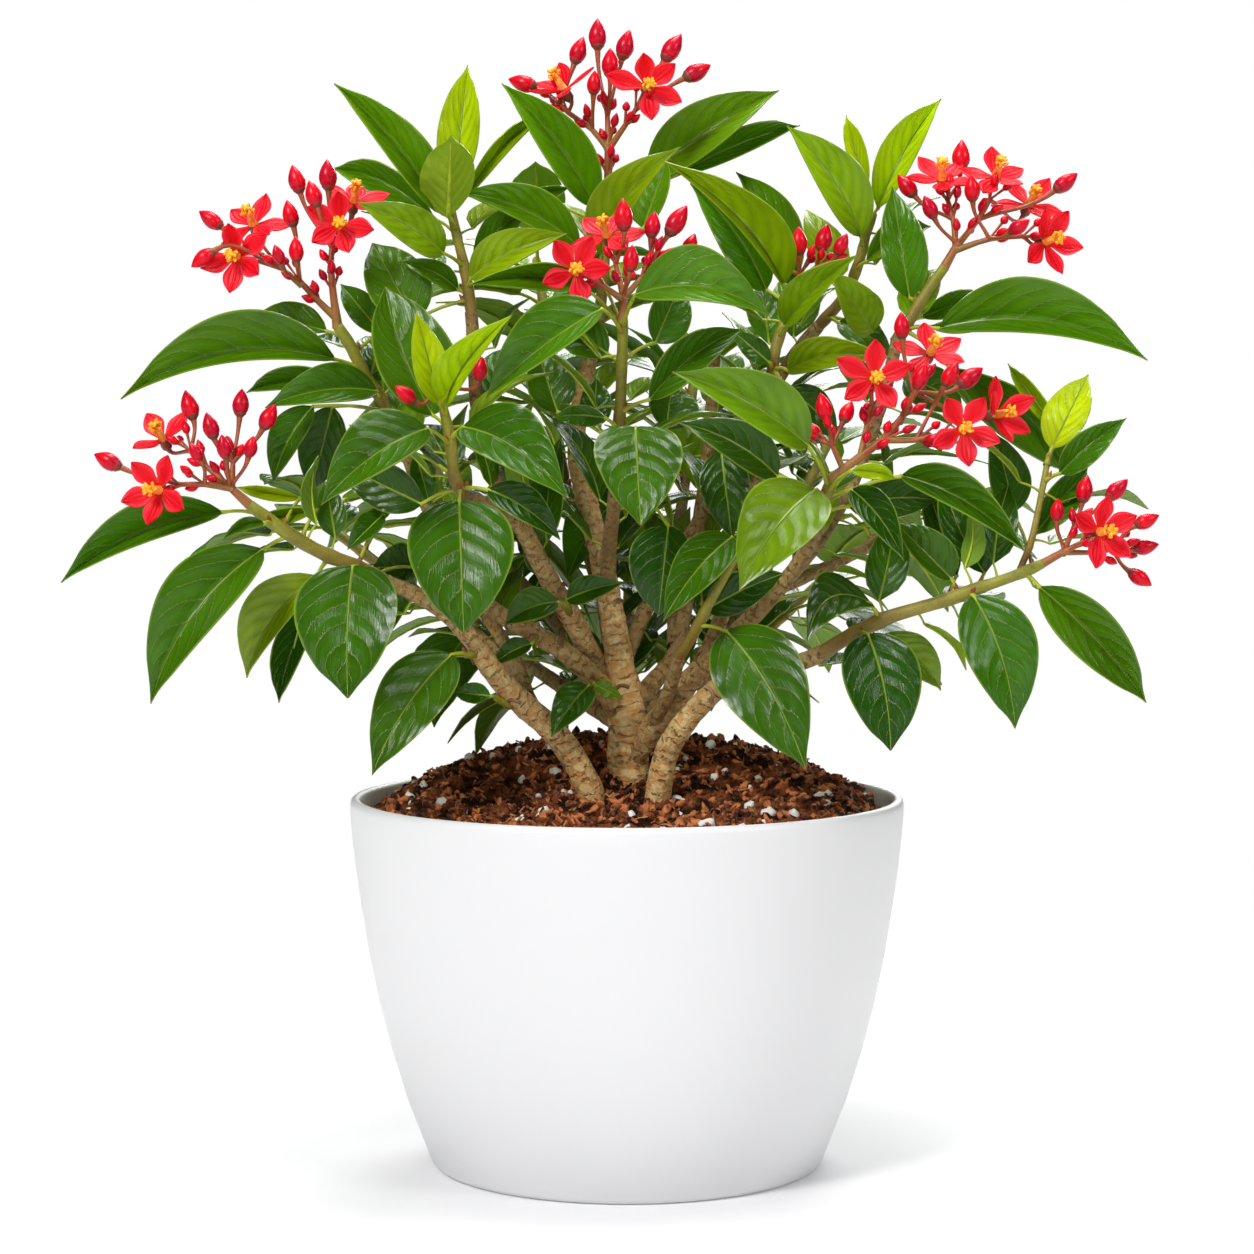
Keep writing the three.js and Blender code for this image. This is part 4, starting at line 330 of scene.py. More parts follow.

# A leaf's tone sets its age and its painted light: some carry painted shade, some painted sunlight.
LEAVES: dict[str, tuple[Leaf, ...]] = {
    "low_left": (
        Leaf((-99, 216.5), (-101, 168.5), (56, 72), 16.5, 18.5, -1),
        Leaf((-131.5, 222.5), (-172.5, 166.5), (52, 62), 8, 15, -6),
        Leaf((-146, 236), (-204.5, 210.5), (50, 42), 4, 10, -5),
        Leaf((-112, 213), (-137.5, 176), (44, 30), 4, 12, -4, Tone.OLIVE),
        Leaf((-112, 205), (-126, 167), (30, 20), 4, 7, -2, Tone.DARK),
        Leaf((-131, 232), (-146, 226), (56, 60), 1.5, 3, -1.5),
        Leaf((-88, 235), (-101, 222.5), (34, 40), 3, 5.5, 0),
        Leaf((-118, 241), (-141, 245), (40, 34), 2.5, 2, 0, Tone.YOUNG),
        Leaf((-112, 237), (-133, 233), (44, 40), 3, 2.5, 0, Tone.OLIVE),
        Leaf((-76, 216), (-92, 216), (28, 20), 5, 9, 0, Tone.DARK),
    ),
    "left": (
        Leaf((-105, 291), (-182.5, 276.5), (30, 42), 3.5, 14, -9),
        Leaf((-90, 279.5), (-130.5, 273.5), (30, 46), 4.5, 9.5, -3),
        Leaf((-105, 284), (-137, 279), (18, 8), 3, 5, -2),
        Leaf((-108, 301), (-133, 307.5), (22, 8), 3, 7.5, 0),
        Leaf((-113, 274), (-127.5, 246.5), (24, 24), 4, 8, -2),
        Leaf((-106, 274), (-114, 243), (14, 6), 8, 9, 0, Tone.DARK),
        Leaf((-88, 300), (-103, 318), (12, 2), 5, 6, 0, Tone.DARK),
    ),
    "front_left": (
        Leaf((-60.5, 240), (-59, 192), (66, 84), 18, 18, 0),
        Leaf((-72, 266), (-110.5, 238.5), (66, 90), 6.5, 13.5, -3),
        Leaf((-59, 266.5), (-21.5, 241), (68, 92), 13.5, 8, 4),
        Leaf((-67.5, 275), (-76, 308.5), (64, 72), 5.5, 6.5, 0, Tone.YOUNG),
        Leaf((-65, 275), (-41, 307), (68, 84), 8, 3, 3, Tone.YOUNG),
        Leaf((-70, 271), (-87, 317), (54, 46), 10, 17, 2),
        Leaf((-50, 244), (-24, 226), (56, 66), 7.5, 4.5, 2, Tone.DARK),
        Leaf((-74, 239), (-105, 254), (42, 34), 8.5, 8, 0, Tone.DARK),
        Leaf((-76, 257), (-71, 238), (38, 34), 5, 4, 0),
    ),
    "top_left": (
        Leaf((-66, 343), (-105, 389.5), (26, 32), 5, 9, -3),
        Leaf((-62, 351), (-57, 396), (16, 6), 8, 6.5, 0, Tone.YOUNG),
        Leaf((-64, 342), (-63, 371), (30, 52), 10.5, 8.5, 0, Tone.OLIVE, under=True),
        Leaf((-58, 349), (-26, 380), (14, -6), 3.2, 2.6, 3.5, Tone.OLIVE),
        Leaf((-66, 329), (-97, 347), (28, 38), 6, 8, -2, Tone.OLIVE),
        Leaf((-56, 320), (-21, 336), (26, 36), 9, 4, 2, Tone.OLIVE),
        Leaf((-69, 341), (-106, 359), (8, -12), 6, 6, -4),
        Leaf((-61, 316), (-82, 326), (20, 26), 3.5, 4.5, -2, Tone.DARK),
        Leaf((-55, 326), (-36, 344), (8, -10), 6, 5, 2),
        Leaf((-76, 305), (-91.5, 332.5), (34, 40), 10, 12, 0, Tone.DARK),
    ),
    "centre": (
        Leaf((3, 266.5), (5, 231), (58, 84), 15.5, 14.5, 0),
        Leaf((3, 314), (51.5, 306.5), (58, 78), 14, 5, 6),
        Leaf((-9, 309), (-51, 277), (56, 72), 4.5, 13, -2),
        Leaf((8, 276.5), (42, 302), (52, 40), 7.5, 6, 3, Tone.DARK),
        Leaf((-17, 331), (-61, 350.5), (33, 56), 4, 9.5, -4),
        Leaf((-17, 318), (-57.5, 317.5), (46, 60), 5, 4.5, -3),
        Leaf((10, 297), (19, 318), (32, 24), 6, 9, 0, Tone.DARK),
        Leaf((-7, 293), (-29, 308), (36, 28), 7, 8, 0, Tone.DARK),
        Leaf((-8, 270), (-27, 270), (50, 46), 4, 3.5, -1),
        Leaf((-25, 272), (-32, 293.5), (24, 18), 7.5, 9.5, 0, Tone.DARK),
        Leaf((-12, 267), (-11, 284), (28, 22), 5.5, 6, 0, Tone.DARK),
        Leaf((14, 266), (16, 282), (26, 20), 7, 11, 0, Tone.DARK),
        Leaf((15, 231), (11.5, 198.5), (38, 50), 9.5, 12.5, 0, Tone.DARK),
    ),
    "top": (
        Leaf((-12, 346), (-45, 389.5), (-4, 0), 6.5, 10, -3),
        Leaf((8, 356), (54.5, 387), (-14, -24), 12, 6.5, 2),
        Leaf((18, 357), (62, 374.5), (-22, -44), 5.5, 4, 2, Tone.DARK),
        Leaf((-9, 328), (19.5, 367), (8, 26), 11, 4, 5, Tone.OLIVE),
        Leaf((6, 338), (14.5, 362), (-2, -8), 9, 4, 0),
        Leaf((-38, 349), (-20.5, 352.5), (-12, -20), 2, 3, 0),
    ),
    "right_centre": (
        Leaf((68, 244), (40.5, 207.5), (68, 94), 12, 14.5, -3, Tone.FRESH_LIT),
        Leaf((65, 260), (16, 286.5), (70, 92), 6, 12.5, -3, Tone.FRESH_LIT),
        Leaf((54, 249), (18, 268.5), (52, 62), 6, 9, -3, Tone.DARK),
        Leaf((81, 244), (100, 218.5), (62, 76), 6.5, 5, 2, Tone.DARK),
        Leaf((34, 258), (38, 226), (38, 42), 8.5, 9, 0, Tone.DARK),
        Leaf((81, 251), (97, 248), (66, 72), 3, 2.5, 1, Tone.YOUNG),
        Leaf((99, 249), (144, 221.5), (54, 70), 8.5, 4, 4),
        Leaf((80, 238), (112, 240), (46, 34), 8, 7, 2, Tone.DARK),
    ),
    "low_right": (
        Leaf((87, 192), (95.5, 149.5), (58, 68), 13.5, 13, 2, Tone.DARK),
        Leaf((88, 203), (65, 188.5), (58, 78), 7.5, 9, -9, Tone.DARK),
        Leaf((125, 206), (140.5, 157.5), (62, 68), 13.5, 11.5, 3),
        Leaf((149, 209), (188, 167), (64, 62), 9.5, 8.5, 2),
        Leaf((90, 190.5), (113.5, 171.5), (46, 34), 8, 5, 3, Tone.OLIVE),
        Leaf((117, 212), (97, 232), (54, 46), 4, 9, 0),
        Leaf((129, 214), (114, 249), (54, 36), 6, 10, 2, Tone.DARK),
        Leaf((119, 213), (108, 246), (46, 26), 5, 6, 0, Tone.DARK),
        Leaf((139, 236), (131, 266), (36, 26), 6, 8.5, -1, Tone.DARK),
    ),
    "far_right": (
        Leaf((153, 259), (166, 285.5), (44, 36), 8.5, 6.5, 0, Tone.YOUNG),
        Leaf((156, 250), (180, 270), (46, 38), 5.5, 5.5, 1),
        Leaf((156, 264), (137, 289.5), (38, 26), 3, 3, 0, Tone.OLIVE),
        Leaf((147, 228), (166, 252), (48, 50), 5.5, 6, 0),
    ),
    "low_centre": (
        Leaf((36, 193), (65, 142.5), (58, 84), 14.5, 15.5, 3),
        Leaf((38, 227), (13, 196.5), (60, 76), 7, 9.5, -2),
        Leaf((29, 201), (57, 214), (50, 48), 7, 7, 1, Tone.DARK),
        Leaf((27, 203), (26, 226), (44, 36), 6, 7, 0, Tone.DARK),
    ),
    "upper_right": (
        Leaf((112, 302), (187.5, 290.5), (14, 22), 15, 4.5, 8),
        Leaf((116, 288), (159, 249), (28, 46), 7, 11, 6),
        Leaf((106, 306), (130, 313), (-4, -16), 5, 4, 1),
        Leaf((109, 302.5), (134, 305.5), (2, -6), 2, 3.5, 0, Tone.OLIVE),
        Leaf((101.5, 313), (95, 353), (4, -10), 7.5, 9, 0, Tone.DARK),
        Leaf((100, 284), (121, 272), (2, -8), 8, 8, 2, Tone.DARK),
    ),
    "top_right": (
        Leaf((90, 345), (112.5, 384), (-8, -18), 8.5, 4.5, 2, Tone.YOUNG),
        Leaf((86, 352), (78.5, 378), (-14, -26), 3.5, 3.5, 0, Tone.YOUNG),
        Leaf((84, 335), (57, 374.5), (-2, 12), 6, 11, -3, Tone.OLIVE),
        Leaf((86, 326), (109, 338.5), (-2, 12), 7, 3, 2),
        Leaf((88, 301), (73, 323), (2, 18), 5.5, 9, 0, Tone.OLIVE),
        Leaf((76, 304), (96, 291), (-8, -2), 6, 5, 2, Tone.DARK),
    ),
    "mid_right": (
        Leaf((56, 318), (12.5, 362), (16, 42), 2.5, 11, -5, Tone.OLIVE),
        Leaf((50, 316), (22.5, 354), (4, 12), 8, 7, -3, Tone.DARK),
        Leaf((59, 317), (39, 358), (0, -14), 4, 10.5, -3, Tone.DARK),
        Leaf((57, 303), (83, 328.5), (18, 36), 8, 3.5, 2, Tone.OLIVE),
        Leaf((58, 287), (95, 291.5), (24, 38), 7.5, 4, 3, Tone.OLIVE),
        Leaf((51, 290), (37, 302), (16, 20), 4, 4.5, 0, Tone.DARK),
        Leaf((57, 280), (76, 262), (18, 26), 7, 7, 2, Tone.DARK),
    ),
    "fork_spur": (
        Leaf((-21.5, 204.5), (-1, 210.5), (22, 30), 5.5, 4, 1),
        Leaf((-25, 203.5), (-44, 195.5), (22, 28), 4.5, 7, -2),
    ),
    "elbow_spur": (
        Leaf((-14, 173), (-27.5, 154.5), (20, 30), 5.5, 7, -1),
        Leaf((-12, 174), (-1.5, 168.5), (20, 27), 3.2, 2.6, 0, Tone.FRESH_LIT),
    ),
    "bend_spur": (Leaf((-34.5, 188.5), (-48.5, 180.5), (21, 27), 2.8, 4.5, -1),),
    "pot_spur": (Leaf((-63.5, 184.5), (-92.5, 140.5), (46, 66), 10.5, 12.5, -3),),
    "knob_spur": (Leaf((-49.5, 169.5), (-63, 171), (34, 36), 3.2, 4.2, 0),),
}

HEADS: dict[str, Head] = {
    "top_head": Head(
        on="top",
        stalks=(
            ((-7, 347, -8, 2.0), (-6.8, 356, -8, 2.0), (-6.6, 367, -8, 2.0)),
            ((-6.6, 366, -8, 1.5), (-12.5, 373, -9, 1.3), (-21, 379, -10, 1.2), (-24, 382, -10, 1.1)),
            ((-6.6, 366, -8, 1.5), (-7, 378, -11, 1.3)),
            ((-6.6, 366, -8, 1.5), (-1, 374, -4, 1.3), (3, 380, -2, 1.1)),
        ),
        flowers=(
            Flower((7, 388, 1), (8, 388.5), ((-5.5, 396.5, 1), (7, 399.5, 1), (17, 395.5, 1), (20, 384, 1),
              (12.5, 377, 1))),
            Flower((-22.5, 387, -8), (-27, 394), ((-22, 399, -1), (-31, 394, -1), (-34, 386, 1),
              (-25, 383, 1), (-16, 395, -1))),
        ),
        buds=(
            ((-10.5, 401, -15), (-10.5, 412.5, -15)), ((-2, 397.5, -13), (1, 408.5, -13)),
            ((13, 397, -12), (19.5, 407, -14)), ((20, 391, -10), (30, 396, -12)),
            ((-19, 396, -17), (-15.5, 406, -18)), ((-6, 391, -8), (-6, 402, -7)),
            ((-32, 388, -14), (-42.5, 391, -16)), ((-12, 385, -3), (-11.5, 394, -1)),
        ),
    ),
    "left_head": Head(
        on="left",
        stalks=(
            ((-104.6, 306, 27, 2.0), (-105.6, 315, 28, 1.7), (-106.4, 324, 29, 1.5)),
            ((-104.6, 306, 27, 1.7), (-110, 311, 29, 1.6), (-117.5, 319, 33, 1.4)),
            ((-106.4, 323, 29, 1.4), (-106, 331, 28, 1.2)),
            ((-117.5, 318, 33, 1.3), (-124, 323.5, 35, 1.1)),
        ),
        flowers=(
            Flower((-103, 339, 33), (-102.5, 339.5), ((-104, 350, 1), (-114.5, 344.5, 1), (-113, 334, 1),
              (-99, 328.5, 1), (-91, 337, 1))),
            Flower((-98, 347, 18), (-96.5, 354), ((-109, 354, -1), (-98, 355.5, -1), (-85.5, 351, -1),
              (-88, 344, 1), (-104, 346, 1))),
            Flower((-140, 328, 39), (-141.5, 328), ((-141, 338.5, 1), (-151.5, 322, 1), (-144, 315, 1),
              (-131.5, 320.5, 1), (-130, 336, 1))),
            Flower((-134, 339, 25), (-136, 345), ((-128, 350, -1), (-142, 346.5, -1), (-124, 338, 1),
              (-146, 337, -1), (-122, 343, -1))),
        ),
        buds=(
            ((-107, 351, 26), (-107.5, 362.5, 26)), ((-117, 350, 24), (-120, 360.5, 24)),
            ((-119.5, 338, 28), (-122, 348, 28)), ((-118.5, 325.5, 40), (-119, 335, 41)),
            ((-145, 338, 33), (-153.5, 344, 33)), ((-148, 330, 45), (-156.5, 324, 46)),
            ((-124, 325, 44), (-126.5, 332, 46)), ((-111, 345, 36), (-114, 355, 36)),
        ),
    ),
    "centre_head": Head(
        on="centre",
        stalks=(
            ((-1.4, 309, 48, 1.8), (-1.2, 314, 48, 1.7)),
            ((-1.2, 312, 48, 1.4), (-8, 317, 50, 1.2), (-13, 320, 52, 1.1)),
            ((-1.2, 313, 48, 1.4), (-4, 325, 44, 1.2)),
            ((-1.2, 313, 48, 1.4), (5, 320, 44, 1.2), (9, 326, 42, 1.1)),
        ),
        flowers=(
            Flower((-18.5, 322.5, 57), (-18, 323), ((-26, 333, 1), (-12, 334.5, 1), (-6.5, 324, 1),
              (-15.5, 310.5, 1), (-30, 318, 1))),
            Flower((-7, 335, 40), (-9, 341), ((-19, 337.5, -1), (4, 341, -1), (-11, 345, -1),
              (-3, 345, -1), (3, 334, 1))),
        ),
        buds=(
            ((-1, 336.5, 50), (-1.5, 348.5, 50)), ((8.5, 334, 42), (10, 344, 42)),
            ((14.5, 335, 38), (21.5, 346, 36)), ((1, 322, 55), (2, 332, 56)),
            ((12, 325, 48), (17, 331, 50)), ((21, 328, 30), (24.5, 336, 28)),
        ),
    ),
    "mid_right_head": Head(
        on="mid_right",
        stalks=(
            ((60, 316, 8, 1.5), (62, 321, 8, 1.3)),
            ((61, 319, 8, 1.2), (68, 324, 9, 1.1)),
        ),
        flowers=(),
        buds=(
            ((62, 328, 12), (61.5, 338.5, 13)), ((69.5, 329, 6), (72, 339.5, 5)), ((75, 328, 14),
              (79, 336, 15)),
            ((55, 326, 2), (51, 335, -2)),
        ),
    ),
    "upper_right_head": Head(
        on="upper_right",
        stalks=(
            ((115.5, 326.5, 10, 1.9), (118.5, 332, 10, 1.7)),
            ((118, 331, 10, 1.4), (117, 341, 6, 1.2), (115, 348, 3, 1.1)),
            ((118, 331, 10, 1.4), (126, 341, 8, 1.3), (130, 348, 7, 1.1)),
            ((118, 330, 10, 1.4), (130, 334, 14, 1.3), (142, 335, 17, 1.1)),
        ),
        flowers=(
            Flower((113, 355, 2), (112.5, 362), ((100, 356, 1), (105, 364, -1), (120.5, 362, -1),
              (124, 354, 1), (112, 350, 1))),
            Flower((132, 356, 4), (134, 362.5), ((142, 361, -1), (129, 368, -1), (121.5, 361, -1),
              (128, 350, 1), (139.5, 352, 1))),
            Flower((150, 333, 20), (155, 334.5), ((158.5, 341, 1), (150, 345, 1), (162.5, 329, 1),
              (156, 321.5, 1), (146, 323, 1))),
            Flower((144, 346, -6), (146.5, 352), ((139, 356, -1), (155, 350, -1), (150, 357, -1),
              (149, 341, 1), (134.5, 347, -1))),
        ),
        buds=(
            ((119.5, 358, -8), (120, 369.5, -9)), ((103.5, 349, -4), (97, 357, -6)),
            ((124, 347, 16), (123.5, 357, 18)), ((153, 351, 6), (161.5, 357.5, 6)),
            ((110.5, 341, 12), (106.5, 349.5, 13)), ((137, 336, 26), (144.5, 341, 30)),
        ),
    ),
    "right_centre_head": Head(
        on="right_centre",
        stalks=(
            ((76, 251, 61, 2.0), (84, 256, 61, 1.9), (92, 262, 60, 1.8), (99, 270, 58, 1.6)),
            ((84, 256, 61, 1.3), (86, 266, 60, 1.1), (88, 274, 58, 1.1)),
            ((92, 262, 60, 1.4), (104, 262, 62, 1.3), (113, 264, 63, 1.1)),
            ((77.5, 252.5, 61, 1.2), (74, 260, 62, 1.1)),
            ((98.5, 269, 58, 1.3), (103, 279, 54, 1.1)),
        ),
        flowers=(
            Flower((89, 284, 63), (89.5, 284.5), ((88, 298, 1), (76, 292, 1), (78, 277, 1), (96, 273.5, 1),
              (101, 289, 1))),
            Flower((121, 266, 68), (121.5, 266.5), ((114, 277, 1), (128, 277, 1), (133.5, 261, 1),
              (123, 252.5, 1), (110, 260, 1))),
            Flower((109, 293, 42), (111, 298.5), ((98, 296, -1), (118, 301, -1), (120.5, 290, 1),
              (108, 305, -1), (101, 285, 1))),
            Flower((132.5, 271, 50), (138.5, 272.5), ((138, 283, -1), (145.5, 270, 1), (142, 262, 1),
              (133, 281.5, 1), (147, 279, -1))),
        ),
        buds=(
            ((99, 298, 52), (98.5, 308, 52)), ((114, 281, 60), (119, 290, 61)), ((119, 281, 50),
              (128, 288, 48)),
            ((104, 280, 66), (107.5, 289.5, 69)), ((72, 269, 66), (69.5, 279, 67)), ((70, 262, 60),
              (63.5, 268.5, 58)),
            ((77.5, 268, 56), (81, 276, 53)),
        ),
    ),
    "low_left_head": Head(
        on="low_left",
        stalks=(
            ((-138, 240.5, 52, 2.0), (-143, 245, 53, 1.8)),
            ((-142.5, 244.5, 53, 1.4), (-152, 246, 56, 1.3), (-161, 246, 60, 1.1)),
            ((-142.5, 244.5, 53, 1.4), (-151, 252, 50, 1.3), (-157, 258, 47, 1.1)),
            ((-142.5, 244.5, 53, 1.4), (-142, 254, 52, 1.1)),
        ),
        flowers=(
            Flower((-168.5, 244, 64), (-172, 244.5), ((-164.5, 256.5, 1), (-178, 254, 1), (-182, 240, 1),
              (-172, 231.5, 1), (-159.5, 237.5, 1))),
            Flower((-167, 262, 44), (-169.5, 268), ((-172, 273, -1), (-161.5, 272.5, -1),
              (-176, 261.5, 1))),
        ),
        buds=(
            ((-182, 252, 54), (-192, 257, 53)), ((-156, 269, 44), (-159, 280, 43)),
            ((-148.5, 262, 52), (-151.5, 272, 52)), ((-139.5, 270, 47), (-138.5, 280.5, 46)),
            ((-144.5, 255, 62), (-146, 264, 64)), ((-131.5, 265.5, 49), (-126.5, 275, 48)),
            ((-136.5, 255.5, 57), (-134.5, 263.5, 59)), ((-153.5, 254.5, 64), (-157.5, 261, 66)),
        ),
    ),
    "low_right_head": Head(
        on="low_right",
        stalks=(
            ((152.5, 218.8, 63.5, 1.7), (158, 222, 65, 1.6)),
            ((157.5, 221.5, 65, 1.3), (164, 225, 66, 1.1)),
            ((157.5, 221.5, 65, 1.2), (161, 230, 62, 1.1)),
            ((157.5, 221.5, 65, 1.2), (168, 221.5, 62, 1.1), (175, 222.5, 60, 1.0)),
        ),
        flowers=(
            Flower((170.5, 229, 71), (174, 229.5), ((161, 236, 1), (171.5, 242, 1), (182.5, 234, 1),
              (181, 219.5, 1), (169, 216, 1))),
        ),
        buds=(
            ((164, 239, 58), (166, 249.5, 57)), ((173, 240.5, 58), (180.5, 248, 57)), ((183, 231, 60),
              (192, 235, 60)),
            ((182.5, 222.5, 60), (192, 224.5, 60)), ((181, 215, 64), (189.5, 209.5, 65)),
            ((155, 232.5, 64), (155.5, 241, 65)),
        ),
    ),
    "front_left_head": Head(
        on="front_left",
        stalks=(
            ((-67, 278, 60, 1.3), (-68, 281, 60.5, 1.2)),
        ),
        flowers=(),
        buds=(
            ((-76, 275.5, 70), (-83.5, 281.5, 72)), ((-53.5, 283, 64), (-52, 292, 66)), ((-60, 289, 52),
              (-57.5, 297, 49)),
        ),
    ),
}

FAR_SHOOTS: dict[str, FarShoot] = {
    "back_a": FarShoot((-3, 2, 168, 4.0), (-28, 40, 196), (-58, 66, 226), (-80, 86, 262), 0.3, head=True),
    "back_b": FarShoot((-4, 2, 185, 3.4), (-12, 42, 212), (-24, 80, 246), (-30, 98, 290), 2.1),
    "back_c": FarShoot((17.5, 3, 187, 3.2), (18, 42, 214), (22, 78, 244), (26, 100, 286), 4.0),
    "back_d": FarShoot((5, 4, 158, 4.2), (34, 34, 186), (58, 62, 222), (78, 82, 262), 1.2),
    "back_e": FarShoot((-40, -6, 181, 2.8), (-62, 12, 196), (-86, 26, 212), (-114, 38, 232), 5.0),
    "back_f": FarShoot((34, -20, 202, 2.8), (60, 10, 210), (88, 28, 222), (118, 42, 246), 0.9),
    "back_g": FarShoot((-13, 4, 234, 2.8), (-18, 24, 256), (-26, 38, 284), (-34, 52, 330), 2.9),
    "back_i": FarShoot((0, 3, 152, 4.2), (0, 50, 172), (1, 92, 192), (0, 124, 214), 1.8),
    "back_j": FarShoot((-3, 3, 160, 4.0), (-28, 44, 172), (-52, 82, 186), (-74, 108, 204), 4.4),
    "back_k": FarShoot((4, 3, 164, 3.8), (30, 46, 174), (54, 84, 188), (76, 108, 206), 3.3),
}

STANDS: dict[str, tuple[str, ...]] = {
    "trunk_wood": (
        "trunk", "left", "front_left", "top_left", "centre", "top_right", "back_centre", "right_centre",
        "upper_right", "mid_right", "low_centre", "back_a", "back_b", "back_c", "back_d", "back_f",
        "back_g", "back_i", "back_j", "back_k",
    ),
    "left_wood": ("low_left", "back_left", "back_e"),
    "right_wood": ("low_right",),
}


def vec(*values: float) -> Array:
    """A point or a direction."""
    return np.array(values, dtype=float)


def unit(v: Array) -> Array:
    """`v` at length 1."""
    return v / math.sqrt(float(v @ v))


def square_to(axis: Array) -> Lead:
    """Two directions square to an axis and to each other."""
    east = unit(np.cross(UP if abs(axis[2]) < 0.9 else vec(1, 0, 0), axis))
    return east, np.cross(axis, east)


def lerp(a: Number, b: Number, t: Number) -> Number:
    """The mix of `a` and `b` at `t`."""
    return a + (b - a) * t


def seen(place: Point) -> Array:
    """The point that shows at (x, z) on the axis plane and stands `near` toward the viewer.

    Args:
        place: Across, up, and how near the viewer it stands.

    Returns:
        The point in the frame.
    """
    across, high, near = place[:3]
    shrink = (VIEW_DISTANCE - near) / VIEW_DISTANCE
    return vec(across * shrink, -near, VIEW_HEIGHT + (high - VIEW_HEIGHT) * shrink)


@dataclass
class Path:
    """A smooth line with a radius at each point, and the points of it that may carry a leaf."""

    points: list[Array]
    radii: list[float]
    roots: list[Array] = field(default_factory=list)

    @classmethod
    def through(cls, knots: list[Array], radii: list[float], step: float) -> Path:
        """The Catmull-Rom line through `knots`, cut about every `step`.

        Args:
            knots: The points it runs through.
            radii: The radius at each.
            step: The length of a piece.

        Returns:
            The line.
        """
        guides = [knots[0] * 2 - knots[1], *knots, knots[-1] * 2 - knots[-2]]
        points, out = [], []
        for i in range(len(knots) - 1):
            a, b, c, d = guides[i:i + 4]
            cuts = max(1, math.floor(np.linalg.norm(c - b) / step + 0.5))
            for k in range(cuts):
                t = k / cuts
                bend, twist = 2 * a - 5 * b + 4 * c - d, 3 * b - a - 3 * c + d
                points.append(0.5 * (2 * b + (c - a) * t + bend * t * t + twist * t ** 3))
                out.append(lerp(radii[i], radii[i + 1], t))
        points.append(knots[-1].copy())
        out.append(radii[-1])
        return cls(points, out)

    @property
    def end(self) -> Lead:
        """Where the line ends, and the way it faces there."""
        return self.points[-1], unit(self.points[-1] - self.points[-2])


